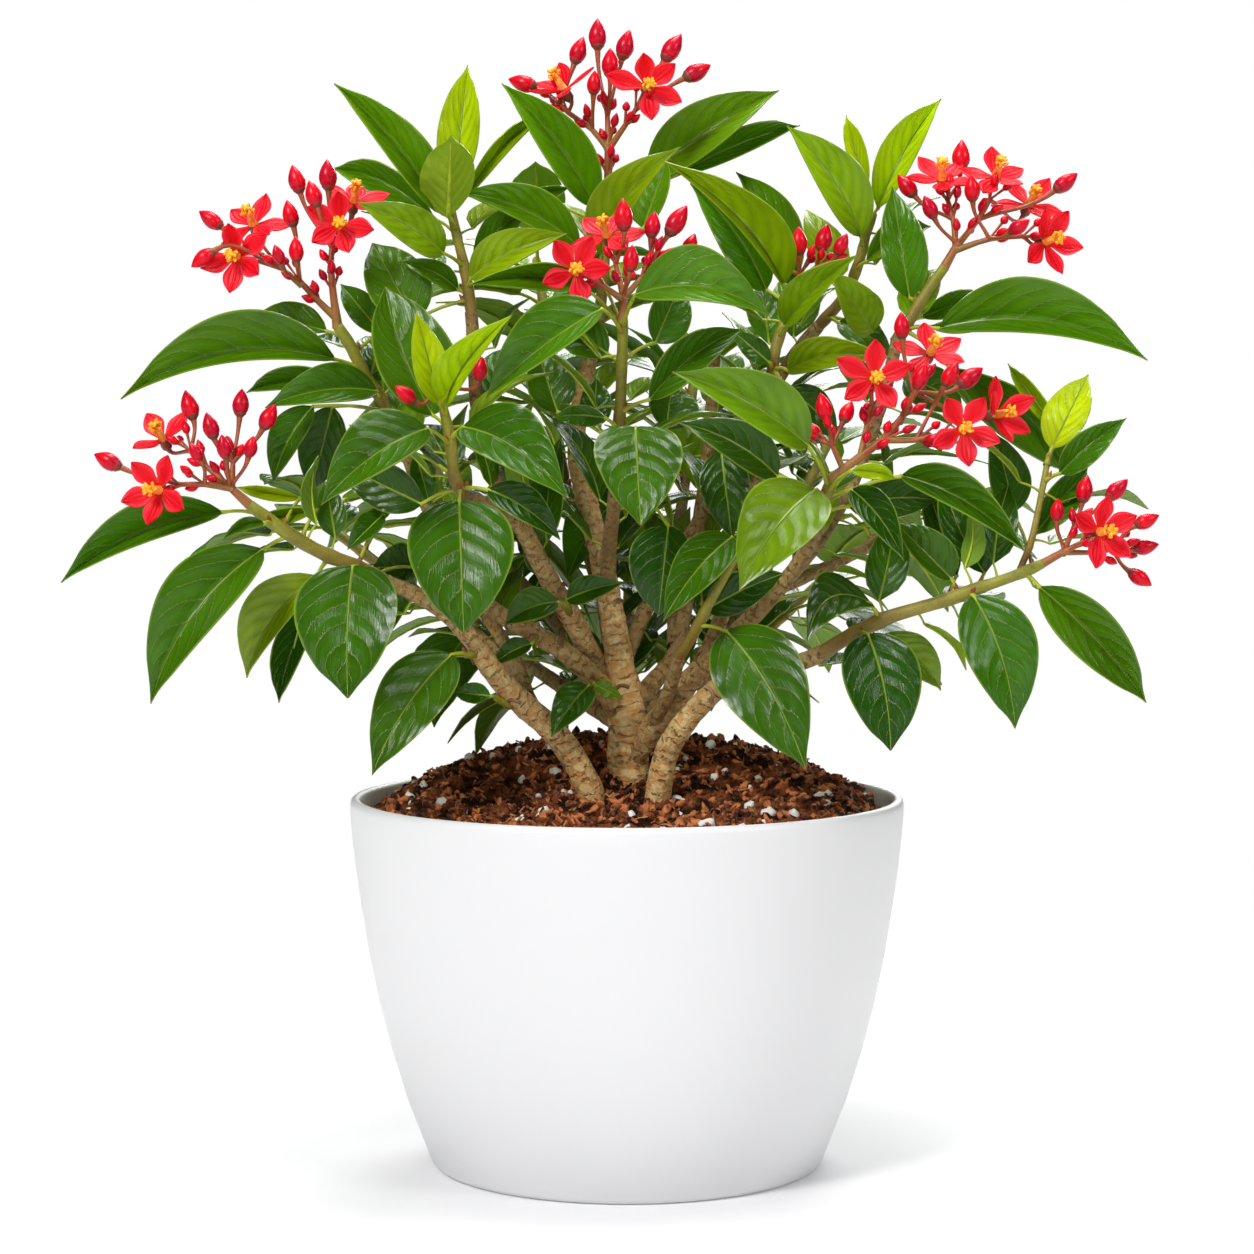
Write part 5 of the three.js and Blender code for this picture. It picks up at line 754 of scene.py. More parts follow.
@dataclass
class Blade:
    """A blade between two points; each half leaves the rib at its own tilt."""

    foot: Array
    chord: Array
    across: Array
    up: Array
    halves: tuple[Pair, Pair]
    bow: float
    arch: float
    wave: float
    spread: Pair
    tone: Tone = Tone.GROWN
    seed: float = 0.0

    @classmethod
    def between(
        cls, foot: Array, tip: Array, face: Array, halves: tuple[Pair, Pair],
        bow: float, arch: float, wave: float, spread: Pair,
    ) -> Blade:
        """A blade whose upper side looks as `face` does.

        Args:
            foot: Where its stalk joins it.
            tip: Its tip.
            face: The way its upper side looks.
            halves: Reach and tilt of the left and the right half.
            bow: How far its rib bends sideways.
            arch: How far its rib arches up.
            wave: How far its margins ripple.
            spread: The two powers that round its outline.

        Returns:
            The blade.
        """
        chord = tip - foot
        across = unit(np.cross(face, unit(chord)))
        up = unit(np.cross(unit(chord), across))
        return cls(foot, chord, across, up, halves, bow, arch, wave, spread)

    @classmethod
    def traced(cls, row: Leaf, shift: Pair) -> Blade:
        """The blade that shows as `row` says, its tip and foot brought nearer by `shift`.

        Args:
            row: What the photograph shows of it.
            shift: How much nearer its tip and its foot come.

        Returns:
            The blade.
        """
        foot = seen((*row.foot, row.near[0] + shift[1]))
        tip = seen((*row.tip, row.near[1] + shift[0]))
        view = unit(EYE - lerp(foot, tip, 0.5))
        length = float(np.linalg.norm(tip - foot))
        half = max(row.left, row.right, HALF_PER_LENGTH * length)

        def fold(shown: float) -> Pair:
            """A half's reach and tilt, from the width that shows."""
            tilt = min(max(math.acos(min(shown / half, 1)), LEAST_FOLD), STEEPEST_FOLD)
            return shown / math.cos(tilt), tilt

        halves = (fold(row.left), fold(row.right))
        broad = halves[0][0] + halves[1][0] > BROAD * length
        blade = cls.between(
            foot, tip, view, halves, row.bow, ARCH * length, EDGE_WAVE, BROAD_SPREAD if broad else SPREAD)
        if row.under:
            blade.up = -blade.up
            blade.arch *= 0.5
        blade.tone = row.tone
        return blade

    @property
    def length(self) -> float:
        """From foot to tip."""
        return float(np.linalg.norm(self.chord))

    def width(self, v: Number) -> Number:
        """The share of the half width at `v` of the length.

        Args:
            v: Shares of the length.

        Returns:
            The share at each.
        """
        rise, fall = self.spread
        peak = rise / (rise + fall)
        return (v / peak) ** rise * ((1 - v) / (1 - peak)) ** fall

    def rib(self, v: Number) -> Array:
        """The rib's points at `v`.

        Args:
            v: Shares of the length.

        Returns:
            The points.
        """
        v = np.asarray(v, dtype=float)[..., None]
        hump = 4 * v * (1 - v)
        return self.foot + self.chord * v + self.across * (self.bow * hump) + self.up * (self.arch * hump)

    def at(self, v: Number, u: Number) -> Array:
        """The blade's points at `v` of the length and `u` of the half width, left under 0.

        Args:
            v: Shares of the length.
            u: Shares of the half width.

        Returns:
            The points.
        """
        v, u = np.broadcast_arrays(np.asarray(v, dtype=float), np.asarray(u, dtype=float))
        left = u < 0
        reach = np.where(left, self.halves[0][0], self.halves[1][0])
        tilt = np.where(left, self.halves[0][1], self.halves[1][1])
        out = np.abs(u) * reach * self.width(v)
        ripple = self.wave * np.abs(u) * np.sin(v * 11 + np.where(left, 0, 1.7)) * np.sin(math.pi * v)
        side = np.where(left, 1, -1) * out * np.cos(tilt)
        lift = out * np.sin(tilt) + ripple
        return self.rib(v) + self.across * side[..., None] + self.up * lift[..., None]

    def samples(self) -> tuple[Array, Array]:
        """Points spread over the blade, with how far along it they are.

        Returns:
            The share of the length of each point, and the points.
        """
        rows = max(3, math.ceil(self.length / SAMPLE_STEP))
        vs, us = [], []
        for i in range(rows):
            v = (i + 0.5) / rows
            half = max(self.halves[0][0], self.halves[1][0]) * self.width(v)
            columns = max(1, math.ceil(half / SAMPLE_STEP))
            for j in range(-columns, columns + 1):
                vs.append(v)
                us.append(j / columns)
        return np.array(vs), self.at(vs, us)


def soil_height(x: Number, y: Number) -> Number:
    """The height of the soil's mound.

    Args:
        x: Places across.
        y: Places in depth.

    Returns:
        The height at each.
    """
    out = np.minimum(np.hypot(x, y) / SOIL_REACH, 1)
    heap = HEAP_HEIGHT * np.exp(-((x - 4) ** 2) / 12000 - ((y - 40) ** 2) / 2600) * (1 - out ** 8)
    lumps = 0.9 * np.sin(x * 0.21 + 1.3) * np.sin(y * 0.24 + 0.4) + 0.6 * np.sin(x * 0.43 + y * 0.37)
    return SOIL_EDGE + DOME_HEIGHT * (1 - out ** 2) + heap + lumps * (1 - out ** 6)


class Crowd:
    """What already stands where: sample points with the radius of the piece that they lie in."""

    def __init__(self) -> None:
        """Room for every sample point, with none in it yet."""
        self.points = np.zeros((ROOM, 3))
        self.radii = np.zeros(ROOM)
        self.owners = np.zeros(ROOM, dtype=int)
        self.count = 0
        self.names: dict[str, int] = {}

    def number(self, owner: str) -> int:
        """A number for `owner`."""
        return self.names.setdefault(owner, len(self.names))

    def occupy(self, points: Array, radii: Number, owner: str) -> None:
        """Adds sample points.

        Args:
            points: Where they are.
            radii: How thick the piece is there.
            owner: The piece that they belong to.
        """
        points = np.atleast_2d(points)
        span = slice(self.count, self.count + len(points))
        self.points[span] = points
        self.radii[span] = radii
        self.owners[span] = self.number(owner)
        self.count += len(points)

    def occupy_path(self, path: Path, owner: str) -> None:
        """Adds a stem's sample points.

        Args:
            path: The stem.
            owner: The piece that it belongs to.
        """
        for i in range(len(path.points) - 1):
            a, b = path.points[i], path.points[i + 1]
            steps = max(1, math.ceil(np.linalg.norm(b - a) / SAMPLE_STEP))
            for k in range(steps + 1):
                t = k / steps
                self.occupy(lerp(a, b, t), lerp(path.radii[i], path.radii[i + 1], t), owner)

    def shortfalls(self, points: Array, owner: str, gap: float, own: Array) -> Array:
        """How far each point falls short of its gap to what stands.

        Args:
            points: The points of a new piece.
            owner: The piece that they would belong to.
            gap: The gap to others' pieces.
            own: The gap to the owner's other pieces, at each point.

        Returns:
            The shortfall at each, 0 where there is room.
        """
        x, y, z = points.T
        away = np.hypot(x, y)
        lip = POT_HEIGHT + LIP_CLEAR
        worst = np.where((z < lip) & (away < RIM_RADIUS + SOIL_CLEAR), lip - z, 0.0)
        floor = soil_height(x, y) + SOIL_CLEAR
        worst = np.where((away < RIM_RADIUS) & (z < floor), np.maximum(worst, floor - z), worst)
        low, high = points.min(0) - SEARCH, points.max(0) + SEARCH
        taken = self.points[:self.count]
        near = np.all((taken > low) & (taken < high), axis=1).nonzero()[0]
        if len(near):
            apart = np.linalg.norm(points[:, None] - self.points[near][None], axis=2)
            mine = self.owners[near] == self.number(owner)
            need = self.radii[near][None] + np.where(mine[None], own[:, None], gap)
            worst = np.maximum(worst, (need - apart).max(1))
        return worst


def stalk_of(blade: Blade, axis: Path) -> Path:
    """A leaf's stalk, from its shoot's axis; the lowest fit point of the shoot carries it.

    Args:
        blade: The leaf's blade.
        axis: Its shoot.

    Returns:
        The stalk.
    """
    best = None
    for p in axis.roots:
        reach = np.linalg.norm(p - blade.foot)
        cost = reach + max(0, p[2] - blade.foot[2] + 0.35 * reach) * 1.2
        if best is None or cost < best[0]:
            best = (cost, p)
    return Path([best[1].copy(), blade.foot.copy()], [PETIOLE_RADIUS * 1.1, PETIOLE_RADIUS * 0.9])


def crowding(blade: Blade, stalk: Path, crowd: Crowd, owner: str) -> float:
    """How badly a leaf would crowd what already stands.

    Args:
        blade: The leaf's blade.
        stalk: Its stalk.
        crowd: What stands.
        owner: The piece that it would belong to.

    Returns:
        The shortfall that counts, 0 where it has room.
    """
    vs, points = blade.samples()
    own = np.where(vs > 0.3, SIBLING_GAP, -100)
    run = np.maximum.accumulate(crowd.shortfalls(points, owner, BLADE_GAP, own))
    over = np.nonzero(run > 4)[0]
    if len(over):
        return float(run[over[0]])
    start, end = stalk.points
    steps = max(1, math.ceil(np.linalg.norm(end - start) / SAMPLE_STEP))
    line = np.array([lerp(start, end, k / steps) for k in range(steps + 1)])
    line = line[np.linalg.norm(line - start, axis=1) > ROOT_FREE]
    worst = max(0.0, float(run[-1]))
    if len(line):
        free = np.full(len(line), -100.0)
        worst = max(worst, float(crowd.shortfalls(line, owner, STALK_GAP, free).max()))
    return worst


@dataclass
class Bloom:
    """An open flower in place: `petals` are the reaches from its centre to the tips, in order."""

    centre: Array
    axis: Array
    petals: list[Array]
    foot: Array

    @classmethod
    def opened(cls, centre: Array, axis: Array, tips: list[Array], foot: Array) -> Bloom:
        """Sorts the petals round the axis and pushes apart those that lie too near each other.

        Args:
            centre: Where its petals meet.
            axis: The way it faces.
            tips: Its petals' tips.
            foot: Where its stalk begins.

        Returns:
            The flower.
        """
        east, north = square_to(axis)
        rows = []
        for tip in tips:
            v = tip - centre
            rise = min(max(float(v @ axis) / PETAL_LENGTH, -0.25), 0.6)
            size = min(max(float(np.linalg.norm(v)), PETAL_LENGTH * 0.85), PETAL_LENGTH * 1.12)
            rows.append([math.atan2(v @ north, v @ east), rise, size])
        rows.sort(key=lambda row: row[0])
        least = min(PETAL_APART, 2 * math.pi / len(rows))
        for _ in range(60):
            for i, row in enumerate(rows):
                after = rows[(i + 1) % len(rows)]
                gap = after[0] - row[0] + (2 * math.pi if i + 1 == len(rows) else 0)
                if gap < least:
                    row[0] -= (least - gap) / 2
                    after[0] += (least - gap) / 2
        petals = []
        for turn, rise, size in rows:
            flat = math.sqrt(1 - rise ** 2)
            out = east * math.cos(turn) * flat + north * math.sin(turn) * flat
            petals.append((out + axis * rise) * size)
        return cls(centre, axis, petals, foot)


@dataclass
class Cluster:
    """A head in place."""

    stalks: list[Path]
    blooms: list[Bloom]
    buds: list[Aimed]

    @classmethod
    def traced(cls, head: Head) -> Cluster:
        """The head that its row says.

        Args:
            head: What the photograph shows of it.

        Returns:
            The head.
        """
        stalks = [Path([seen(row) for row in rows], [row[3] for row in rows]) for rows in head.stalks]
        joints = [p for stalk in stalks for p in stalk.points[1:]]

        def sprung(p: Array, way: Array) -> Array:
            """The joint that a flower at `p` springs from with the least bend in its stalk."""
            return min(joints, key=lambda q: (
                float(np.linalg.norm(p - q)) * (1 + STRAIGHTNESS) - float((p - q) @ way)))

        def reached(at: Array, flat: Array, reach: float, side: float) -> Array:
            """The point over `flat` that is `reach` from `at`, on the viewer's side or behind."""
            deep = math.sqrt(max(0, reach ** 2 - float(np.linalg.norm(flat - at)) ** 2))
            return flat + vec(0, -side * deep, 0)

        blooms = []
        for flower in head.flowers:
            centre, near = seen(flower.at), flower.at[2]
            axis = unit(reached(centre, seen((*flower.column, near)), COLUMN_LENGTH, 1) - centre)
            tips = [reached(centre, seen((x, z, near)), PETAL_LENGTH, side) for x, z, side in flower.petals]
            blooms.append(Bloom.opened(centre, axis, tips, sprung(centre, axis)))
        buds = []
        for base, tip in ((seen(low), seen(high)) for low, high in head.buds):
            buds.append((base, tip, sprung(base, unit(tip - base))))
        return cls(stalks, blooms, buds)

    @classmethod
    def far(cls, tip: Array, along: Array, turn: float) -> Cluster:
        """A head on a far shoot, by rule: two flowers and three buds on a dome.

        Args:
            tip: The end of its shoot.
            along: The way the shoot points there.
            turn: How far it is turned.

        Returns:
            The head.
        """
        top = tip + along * 18 + vec(0, 0, 6)

        def around(angle: float, out: float, high: float) -> Array:
            """A point of the dome."""
            return top + vec(out * math.cos(angle), out * math.sin(angle), high)

        stalk = Path([tip.copy(), lerp(tip, top, 0.5) + vec(0, 0, 1), top], [1.8, 1.6, 1.4])
        blooms = []
        for k in range(2):
            angle = turn + k * 2.6
            centre = around(angle, 11, 9)
            axis = unit(vec(math.cos(angle), math.sin(angle), 0.8))
            side = unit(vec(-math.sin(angle), math.cos(angle), 0))
            other = np.cross(axis, side)
            turns = [turn + i * 1.2566 for i in range(5)]
            tips = [centre + side * 12 * math.cos(t) + other * 12 * math.sin(t) + axis * 5 for t in turns]
            blooms.append(Bloom.opened(centre, axis, tips, top))
        buds = []
        for k in range(3):
            angle = turn + 4 + k * 1.4
            out = 0.5 if k == 0 else 7
            buds.append((around(angle, out, 14), around(angle, out * 1.9, 25), top))
        return cls([stalk], blooms, buds)


SHIFTS = sorted(
    ((tip, foot) for tip in range(-60, 61, 5) for foot in (0, -6, 6, -12, 12)),
    key=lambda s: (abs(s[0]) + 2 * abs(s[1]), -s[0], -s[1]),
)
VARIANTS = [
    (swing, lift, size) for size in (1, 0.82, 0.66) for swing in (0, 0.35, -0.35, 0.7, -0.7)
    for lift in (0, 0.35, -0.35, 0.7)
]


class Plan:
    """Where every part of the plant stands, by the same rules as the CAD."""

    def __init__(self) -> None:
        """Plans every piece, in the order in which they take up room."""
        self.crowd = Crowd()
        self.wood: dict[str, Path] = {}
        self.shoots: dict[str, Path] = {}
        self.heads: dict[str, Cluster] = {}
        self.leaves: dict[str, list[tuple[Blade, Path]]] = {}
        self.small: dict[str, list[tuple[Blade, Path]]] = {}
        self._grow_wood()
        self._raise_shoots()
        self._place_heads()
        self._trace_leaves()
        self._place_far_leaves()
        for number, (stand, names) in enumerate(STANDS.items()):
            self._place_small_leaves(stand, [self.wood[name] for name in names], number)
        for number, (name, path) in enumerate(self.shoots.items()):
            self._place_small_leaves(name, [path], number)

    def _grow_wood(self) -> None:
        """Grows the trunk and the stems with their branches."""
        for name, rows in WOOD.items():
            self.wood[name] = Path.through([seen(row) for row in rows], [row[3] for row in rows], WOOD_STEP)
        for name, far in FAR_SHOOTS.items():
            knots = [vec(*far.root[:3]), vec(*far.bend), vec(*far.base)]
            radii = [far.root[3], lerp(far.root[3], FAR_RADII[0], 0.6), FAR_RADII[0]]
            self.wood[name] = Path.through(knots, radii, WOOD_STEP)
        for stand, names in STANDS.items():
            for name in names:
                self.crowd.occupy_path(self.wood[name], stand)

    @staticmethod
    def _surface_of(host: Path, root: Array, toward: Array) -> Lead:
        """Where a piece begins on the surface of what carries it.

        Args:
            host: What carries it.
            root: Where it would begin on the line of its host.
            toward: Where it goes.

        Returns:
            The point, and the way it leaves.
        """
        best = None
        last = len(host.points) - 1
        for i, p in enumerate(host.points):
            after = host.points[min(i + 1, last)]
            before = host.points[max(i - 1, 0)]
            for t in (0, 0.25, 0.5, 0.75):
                q = lerp(p, after, t)
                far = float(np.linalg.norm(q - root))
                if best is None or far < best[0]:
                    radius = lerp(host.radii[i], host.radii[min(i + 1, last)], t) * HOST_FACET
                    best = (far, q, unit(after - before), radius)
        _, q, along, radius = best
        out = toward - q
        normal = unit(out - along * float(out @ along))
        return q + normal * radius, normal

    def _raise(self, name: str, knots: list[Array], radii: list[float], start: Lead) -> None:
        """Raises one shoot.

        Args:
            name: Its name.
            knots: The points it runs through.
            radii: The radius at each.
            start: Where it begins, and the way it leaves.
        """
        knots[0] = start[0] + start[1] * SEAT_GAP
        self.shoots[name] = Path.through(knots, radii, SHOOT_STEP)
        fine = Path.through(knots, radii, ROOT_STEP).points
        clear = [
            p for p in fine
            if np.linalg.norm(p - fine[0]) > END_CLEAR and np.linalg.norm(p - fine[-1]) > END_CLEAR
        ]
        self.shoots[name].roots = clear or [lerp(fine[0], fine[-1], 0.5)]

    def _raise_shoots(self) -> None:
        """Raises the traced shoots, then those of the far side."""
        for name, shoot in SHOOTS.items():
            knots = [seen(row) for row in shoot.route]
            if shoot.on is None:
                start = self.wood[shoot.after or name].end
            else:
                host = self.shoots[shoot.on] if name == "far_right" else self.wood[shoot.on]
                start = self._surface_of(host, knots[0], knots[1])
            self._raise(name, knots, [row[3] for row in shoot.route], start)
        for name, far in FAR_SHOOTS.items():
            start = self.wood[name].end
            base, tip = vec(*far.base), vec(*far.tip)
            middle = lerp(base, tip, 0.5) + start[1] * 3
            self._raise(name, [base, middle, tip], list(FAR_RADII), start)
        for name, path in self.shoots.items():
            self.crowd.occupy_path(path, name)

    def _place_heads(self) -> None:
        """Sets the traced heads on their shoots, then those of the far side."""
        for name, head in HEADS.items():
            self._place_head(name, Cluster.traced(head), self.shoots[head.on].end)
        for name, far in FAR_SHOOTS.items():
            if far.head:
                at, along = self.shoots[name].end
                self._place_head(f"{name}_head", Cluster.far(at.copy(), along, far.turn), (at, along))

    def _place_head(self, name: str, cluster: Cluster, start: Lead) -> None:
        """Sets one head on what carries it.

        Args:
            name: Its name.
            cluster: Its flowers, buds and stalks.
            start: Where it begins, and the way it leaves.
        """
        cluster.stalks[0].points[0] = start[0] + start[1] * SEAT_GAP
        crowd = self.crowd
        for stalk in cluster.stalks:
            crowd.occupy_path(Path.through(stalk.points, stalk.radii, STALK_STEP), name)
        thin = [PEDICEL_RADIUS, PEDICEL_RADIUS]
        for bloom in cluster.blooms:
            back = bloom.centre - bloom.axis * CALYX_LENGTH * 0.45
            crowd.occupy_path(Path([bloom.foot, back], thin), name)
            for reach in bloom.petals:
                for v in (0.35, 0.6, 0.85):
                    crowd.occupy(bloom.centre + reach * v, PETAL_HALF * 0.75, name)
            crowd.occupy(bloom.centre + bloom.axis * 5, 2, name)
        for base, tip, foot in cluster.buds:
            crowd.occupy_path(Path([foot, base], thin), name)
            for v, radius in ((0.15, 2.8), (0.5, 2.8), (0.85, 1.8)):
                crowd.occupy(lerp(base, tip, v), radius, name)
        self.heads[name] = cluster

    def _stand(self, name: str, blade: Blade, stalk: Path) -> None:
        """Gives a shoot one more leaf.

        Args:
            name: The shoot.
            blade: The blade.
            stalk: Its stalk.
        """
        blade.seed = len(self.leaves[name]) * 0.37 + sum(map(ord, name)) * 0.013
        self.leaves[name].append((blade, stalk))
        self.crowd.occupy(blade.samples()[1], LEAF_THICK / 2, name)
        self.crowd.occupy_path(stalk, name)

    def _trace_leaves(self) -> None:
        """Places the traced leaves, each moved nearer or away where it would crowd another."""
        for name, rows in LEAVES.items():
            self.leaves[name] = []
            for row in rows:
                best = None
                for shift in SHIFTS:
                    blade = Blade.traced(row, shift)
                    stalk = stalk_of(blade, self.shoots[name])
                    crowd = crowding(blade, stalk, self.crowd, name)
                    if best is None or crowd < best[0]:
                        best = (crowd, blade, stalk)
                    if crowd <= 0:
                        break
                self._stand(name, best[1], best[2])

    def _far_blade(self, name: str, far: FarShoot, i: int, variant: Point) -> Blade:
        """A leaf of the far side, by rule.

        Args:
            name: The shoot.
            far: How the shoot stands.
            i: The number of the leaf on it.
            variant: What is changed about it to find room.

        Returns:
            The blade.
        """
        swing, lift, size = variant
        axis = self.shoots[name].points
        t = 0.1 + (0.86 * i) / (FAR_LEAVES - 1)
        spot = axis[math.floor(t * (len(axis) - 1) + 0.5)]
        turn = far.turn + i * GOLDEN_TURN + swing
        out = vec(math.cos(turn), math.sin(turn), 0)
        length = (60 - 14 * t + 7 * math.sin(i * 3.7 + far.turn * 5)) * size
        reach = 16 - 7 * t
        foot = spot + out * reach + vec(0, 0, reach * (0.25 + 0.6 * t))
        lean = -0.75 + 1.1 * t + lift
        chord = out * math.cos(lean) + vec(0, 0, math.sin(lean))
        half = length * 0.26
        blade = Blade.between(
            foot, foot + chord * length, UP - out * 0.35, ((half, 0.1), (half, 0.1)),
            2 * math.sin(i * 2.1 + far.turn), 0.1 * length, EDGE_WAVE, SPREAD)
        # The last far leaf carries painted sunlight in its colour.
        blade.tone = Tone.FRESH_LIT if i == FAR_LEAVES - 1 else Tone.GROWN
        return blade

    @staticmethod
    def _small_blade(spot: Array, along: Array, number: int, variant: Point) -> Blade:
        """A small leaf that stands out from a branch.

        Args:
            spot: Where it springs from.
            along: The way the branch runs there.
            number: Its number.
            variant: What is changed about it to find room.

        Returns:
            The blade.
        """
        swing, lift, size = variant
        side = unit(np.cross(along, vec(0.2, 0.1, 1.0)))
        turn = number * GOLDEN_TURN + swing
        out = unit(side * math.cos(turn) + np.cross(side, along) * math.sin(turn) + UP * (0.25 + lift))
        length = SPRAY_LENGTH * (1 + 0.3 * math.sin(number * 1.7)) * size
        foot = spot + out * (5.5 + 2.5 * size)
        chord = unit(out + along * 0.5 + UP * 0.5 * math.sin(number * 2.3))
        half = length * 0.25
        blade = Blade.between(
            foot, foot + chord * length, UP - out * 0.4, ((half, 0.2), (half, 0.2)),
            math.sin(number * 2.1), 0.1 * length, EDGE_WAVE * 0.5, SPREAD)
        # The tones in turn: some small leaves carry painted shade, some painted sunlight.
        blade.tone = (Tone.GROWN, Tone.DARK, Tone.FRESH_LIT, Tone.GROWN, Tone.OLIVE)[number % 5]
        blade.seed = number * 0.37
        return blade

    def _place_small_leaves(self, owner: str, paths: list[Path], start: int) -> None:
        """Small leaves inside the crown, up each branch, wherever there's room for one.

        Args:
            owner: The stand or shoot that carries them.
            paths: Its branches.
            start: The number of the owner, which turns its leaves.
        """
        self.small[owner] = []
        number = start * 7
        for path in paths:
            fine = Path.through(path.points, path.radii, SPRAY_STEP).points
            for i in range(1, len(fine) - 1):
                for _ in range(2):
                    number += 1
                    if fine[i][2] < SPRAY_FROM:
                        continue
                    for variant in VARIANTS[::2]:
                        blade = self._small_blade(fine[i], unit(fine[i + 1] - fine[i]), number, variant)
                        stalk = Path([fine[i].copy(), blade.foot.copy()], [PETIOLE_RADIUS, PETIOLE_RADIUS])
                        x, y, z = blade.rib(0.5)
                        bare = abs(x) < BARE_HALF and y < BARE_FRONT and z < BARE_TOP
                        if bare or y < fine[i][1] - BEHIND or crowding(blade, stalk, self.crowd, owner) > 0:
                            continue
                        self.small[owner].append((blade, stalk))
                        self.crowd.occupy(blade.samples()[1], LEAF_THICK / 2, owner)
                        break

    def _place_far_leaves(self) -> None:
        """Places the leaves of the far side wherever they have room."""
        for name, far in FAR_SHOOTS.items():
            self.leaves[name] = []
            for i in range(FAR_LEAVES):
                for variant in VARIANTS:
                    blade = self._far_blade(name, far, i, variant)
                    stalk = stalk_of(blade, self.shoots[name])
                    if crowding(blade, stalk, self.crowd, name) > 0:
                        continue
                    self._stand(name, blade, stalk)
                    break


# The finishes.

def linear(red: float, green: float, blue: float) -> tuple[float, float, float, float]:
    """An sRGB colour out of 255 in linear light.

    Args:
        red: The red share.
        green: The green share.
        blue: The blue share.

    Returns:
        The colour with full alpha.
    """
    def one(part: float) -> float:
        """One share of the colour."""
        part /= 255
        return part / 12.92 if part <= 0.04045 else ((part + 0.055) / 1.055) ** 2.4

    return one(red), one(green), one(blue), 1.0


class Weaver:
    """Writes nodes into a tree; an input is a value or another node's output."""

    def __init__(self, tree: bpy.types.NodeTree) -> None:
        """Takes up a tree."""
        self.tree = tree

    def add(self, kind: str, inputs: dict | None = None, out: int | str = 0, **settings: object) -> Socket:
        """Adds a node.

        Args:
            kind: Its type, without the tree's own prefix where that is ShaderNode.
            inputs: Values or sockets by input name or number.
            out: The output to give back.
            settings: The node's own properties.

        Returns:
            The output socket.
        """
        name = kind if "Node" in kind else "ShaderNode" + kind
        node = self.tree.nodes.new(name)
        for key, value in settings.items():
            setattr(node, key, value)
        for key, value in (inputs or {}).items():
            self.put(node.inputs[key], value)
        return node.outputs[out] if len(node.outputs) else node

    def put(self, socket: Socket, value: Wire) -> None:
        """Links or sets one input.

        Args:
            socket: The input.
            value: A result, a number or a colour.
        """
        if isinstance(value, bpy.types.NodeSocket):
            self.tree.links.new(value, socket)
        else:
            socket.default_value = value

    def math(self, operation: str, a: Wire, b: Wire = 0.0, clamp: bool = False) -> Socket:
        """A Math node."""
        return self.add("Math", {0: a, 1: b}, operation=operation, use_clamp=clamp)

    def times(self, a: Wire, b: Wire) -> Socket:
        """The product of two numbers."""
        return self.math("MULTIPLY", a, b)

    def plus(self, a: Wire, b: Wire) -> Socket:
        """The sum of two numbers."""
        return self.math("ADD", a, b)

    def less(self, a: Wire, b: Wire) -> Socket:
        """`b` taken from `a`."""
        return self.math("SUBTRACT", a, b)

    def step(self, value: Wire, low: Wire, high: Wire, start: Wire = 0.0, end: Wire = 1.0) -> Socket:
        """A smooth step from `start` to `end` as `value` goes from `low` to `high`."""
        inputs = {0: value, 1: low, 2: high, 3: start, 4: end}
        return self.add("MapRange", inputs, interpolation_type="SMOOTHSTEP")

    def bump(self, height: Socket, distance: float, strength: float = 0.5) -> Socket:
        """A normal raised by `height`, by up to `distance` metres."""
        inputs = {"Strength": strength, "Distance": distance, "Height": height}
        return self.add("Bump", inputs, out="Normal")

    def mix(self, share: Wire, a: Wire, b: Wire) -> Socket:
        """A colour mix."""
        return self.add("Mix", {0: share, 6: a, 7: b}, out=2, data_type="RGBA")

    def noise(self, place: Socket, scale: Wire, detail: float = 2.0, rough: float = 0.5) -> Socket:
        """A noise value around 0.5."""
        return self.add("TexNoise", {"Vector": place, "Scale": scale, "Detail": detail, "Roughness": rough})

    def parts(self, vector: Socket) -> list[Socket]:
        """The three parts of a vector."""
        return list(self.add("SeparateXYZ", {0: vector}).node.outputs)

    def attribute(self, name: str) -> Socket:
        """A mesh attribute as a vector."""
        return self.add("Attribute", out="Vector", attribute_name=name)

    def object_place(self) -> Socket:
        """The point on the object."""
        return self.add("TexCoord", out="Object")

    def group(self, tree: bpy.types.NodeTree, inputs: dict) -> list[Socket]:
        """A use of a node group, by its outputs.

        Args:
            tree: The group.
            inputs: What goes in, by name.

        Returns:
            What comes out.
        """
        node = self.tree.nodes.new("ShaderNodeGroup")
        node.node_tree = tree
        for key, value in inputs.items():
            self.put(node.inputs[key], value)
        return list(node.outputs)


def shared_group(name: str, inputs: dict[str, str], outputs: dict[str, str]) -> tuple[Weaver, list[Socket]]:
    """Starts a node group.

    Args:
        name: Its name.
        inputs: Socket type by input name.
        outputs: Socket type by output name.

    Returns:
        A weaver for the group, and the inputs as sockets to link from.
    """
    tree = bpy.data.node_groups.new(name, "ShaderNodeTree")
    for label, kind in inputs.items():
        tree.interface.new_socket(label, in_out="INPUT", socket_type=f"NodeSocket{kind}")
    for label, kind in outputs.items():
        tree.interface.new_socket(label, in_out="OUTPUT", socket_type=f"NodeSocket{kind}")
    return Weaver(tree), list(tree.nodes.new("NodeGroupInput").outputs)[:-1]


def end_group(w: Weaver, results: list[Socket]) -> bpy.types.NodeTree:
    """Links the results of a group to its outputs.

    Args:
        w: The weaver of the group.
        results: What comes out, in order.

    Returns:
        The finished group.
    """
    end = w.tree.nodes.new("NodeGroupOutput")
    for socket, value in zip(end.inputs, results):
        w.tree.links.new(value, socket)
    return w.tree


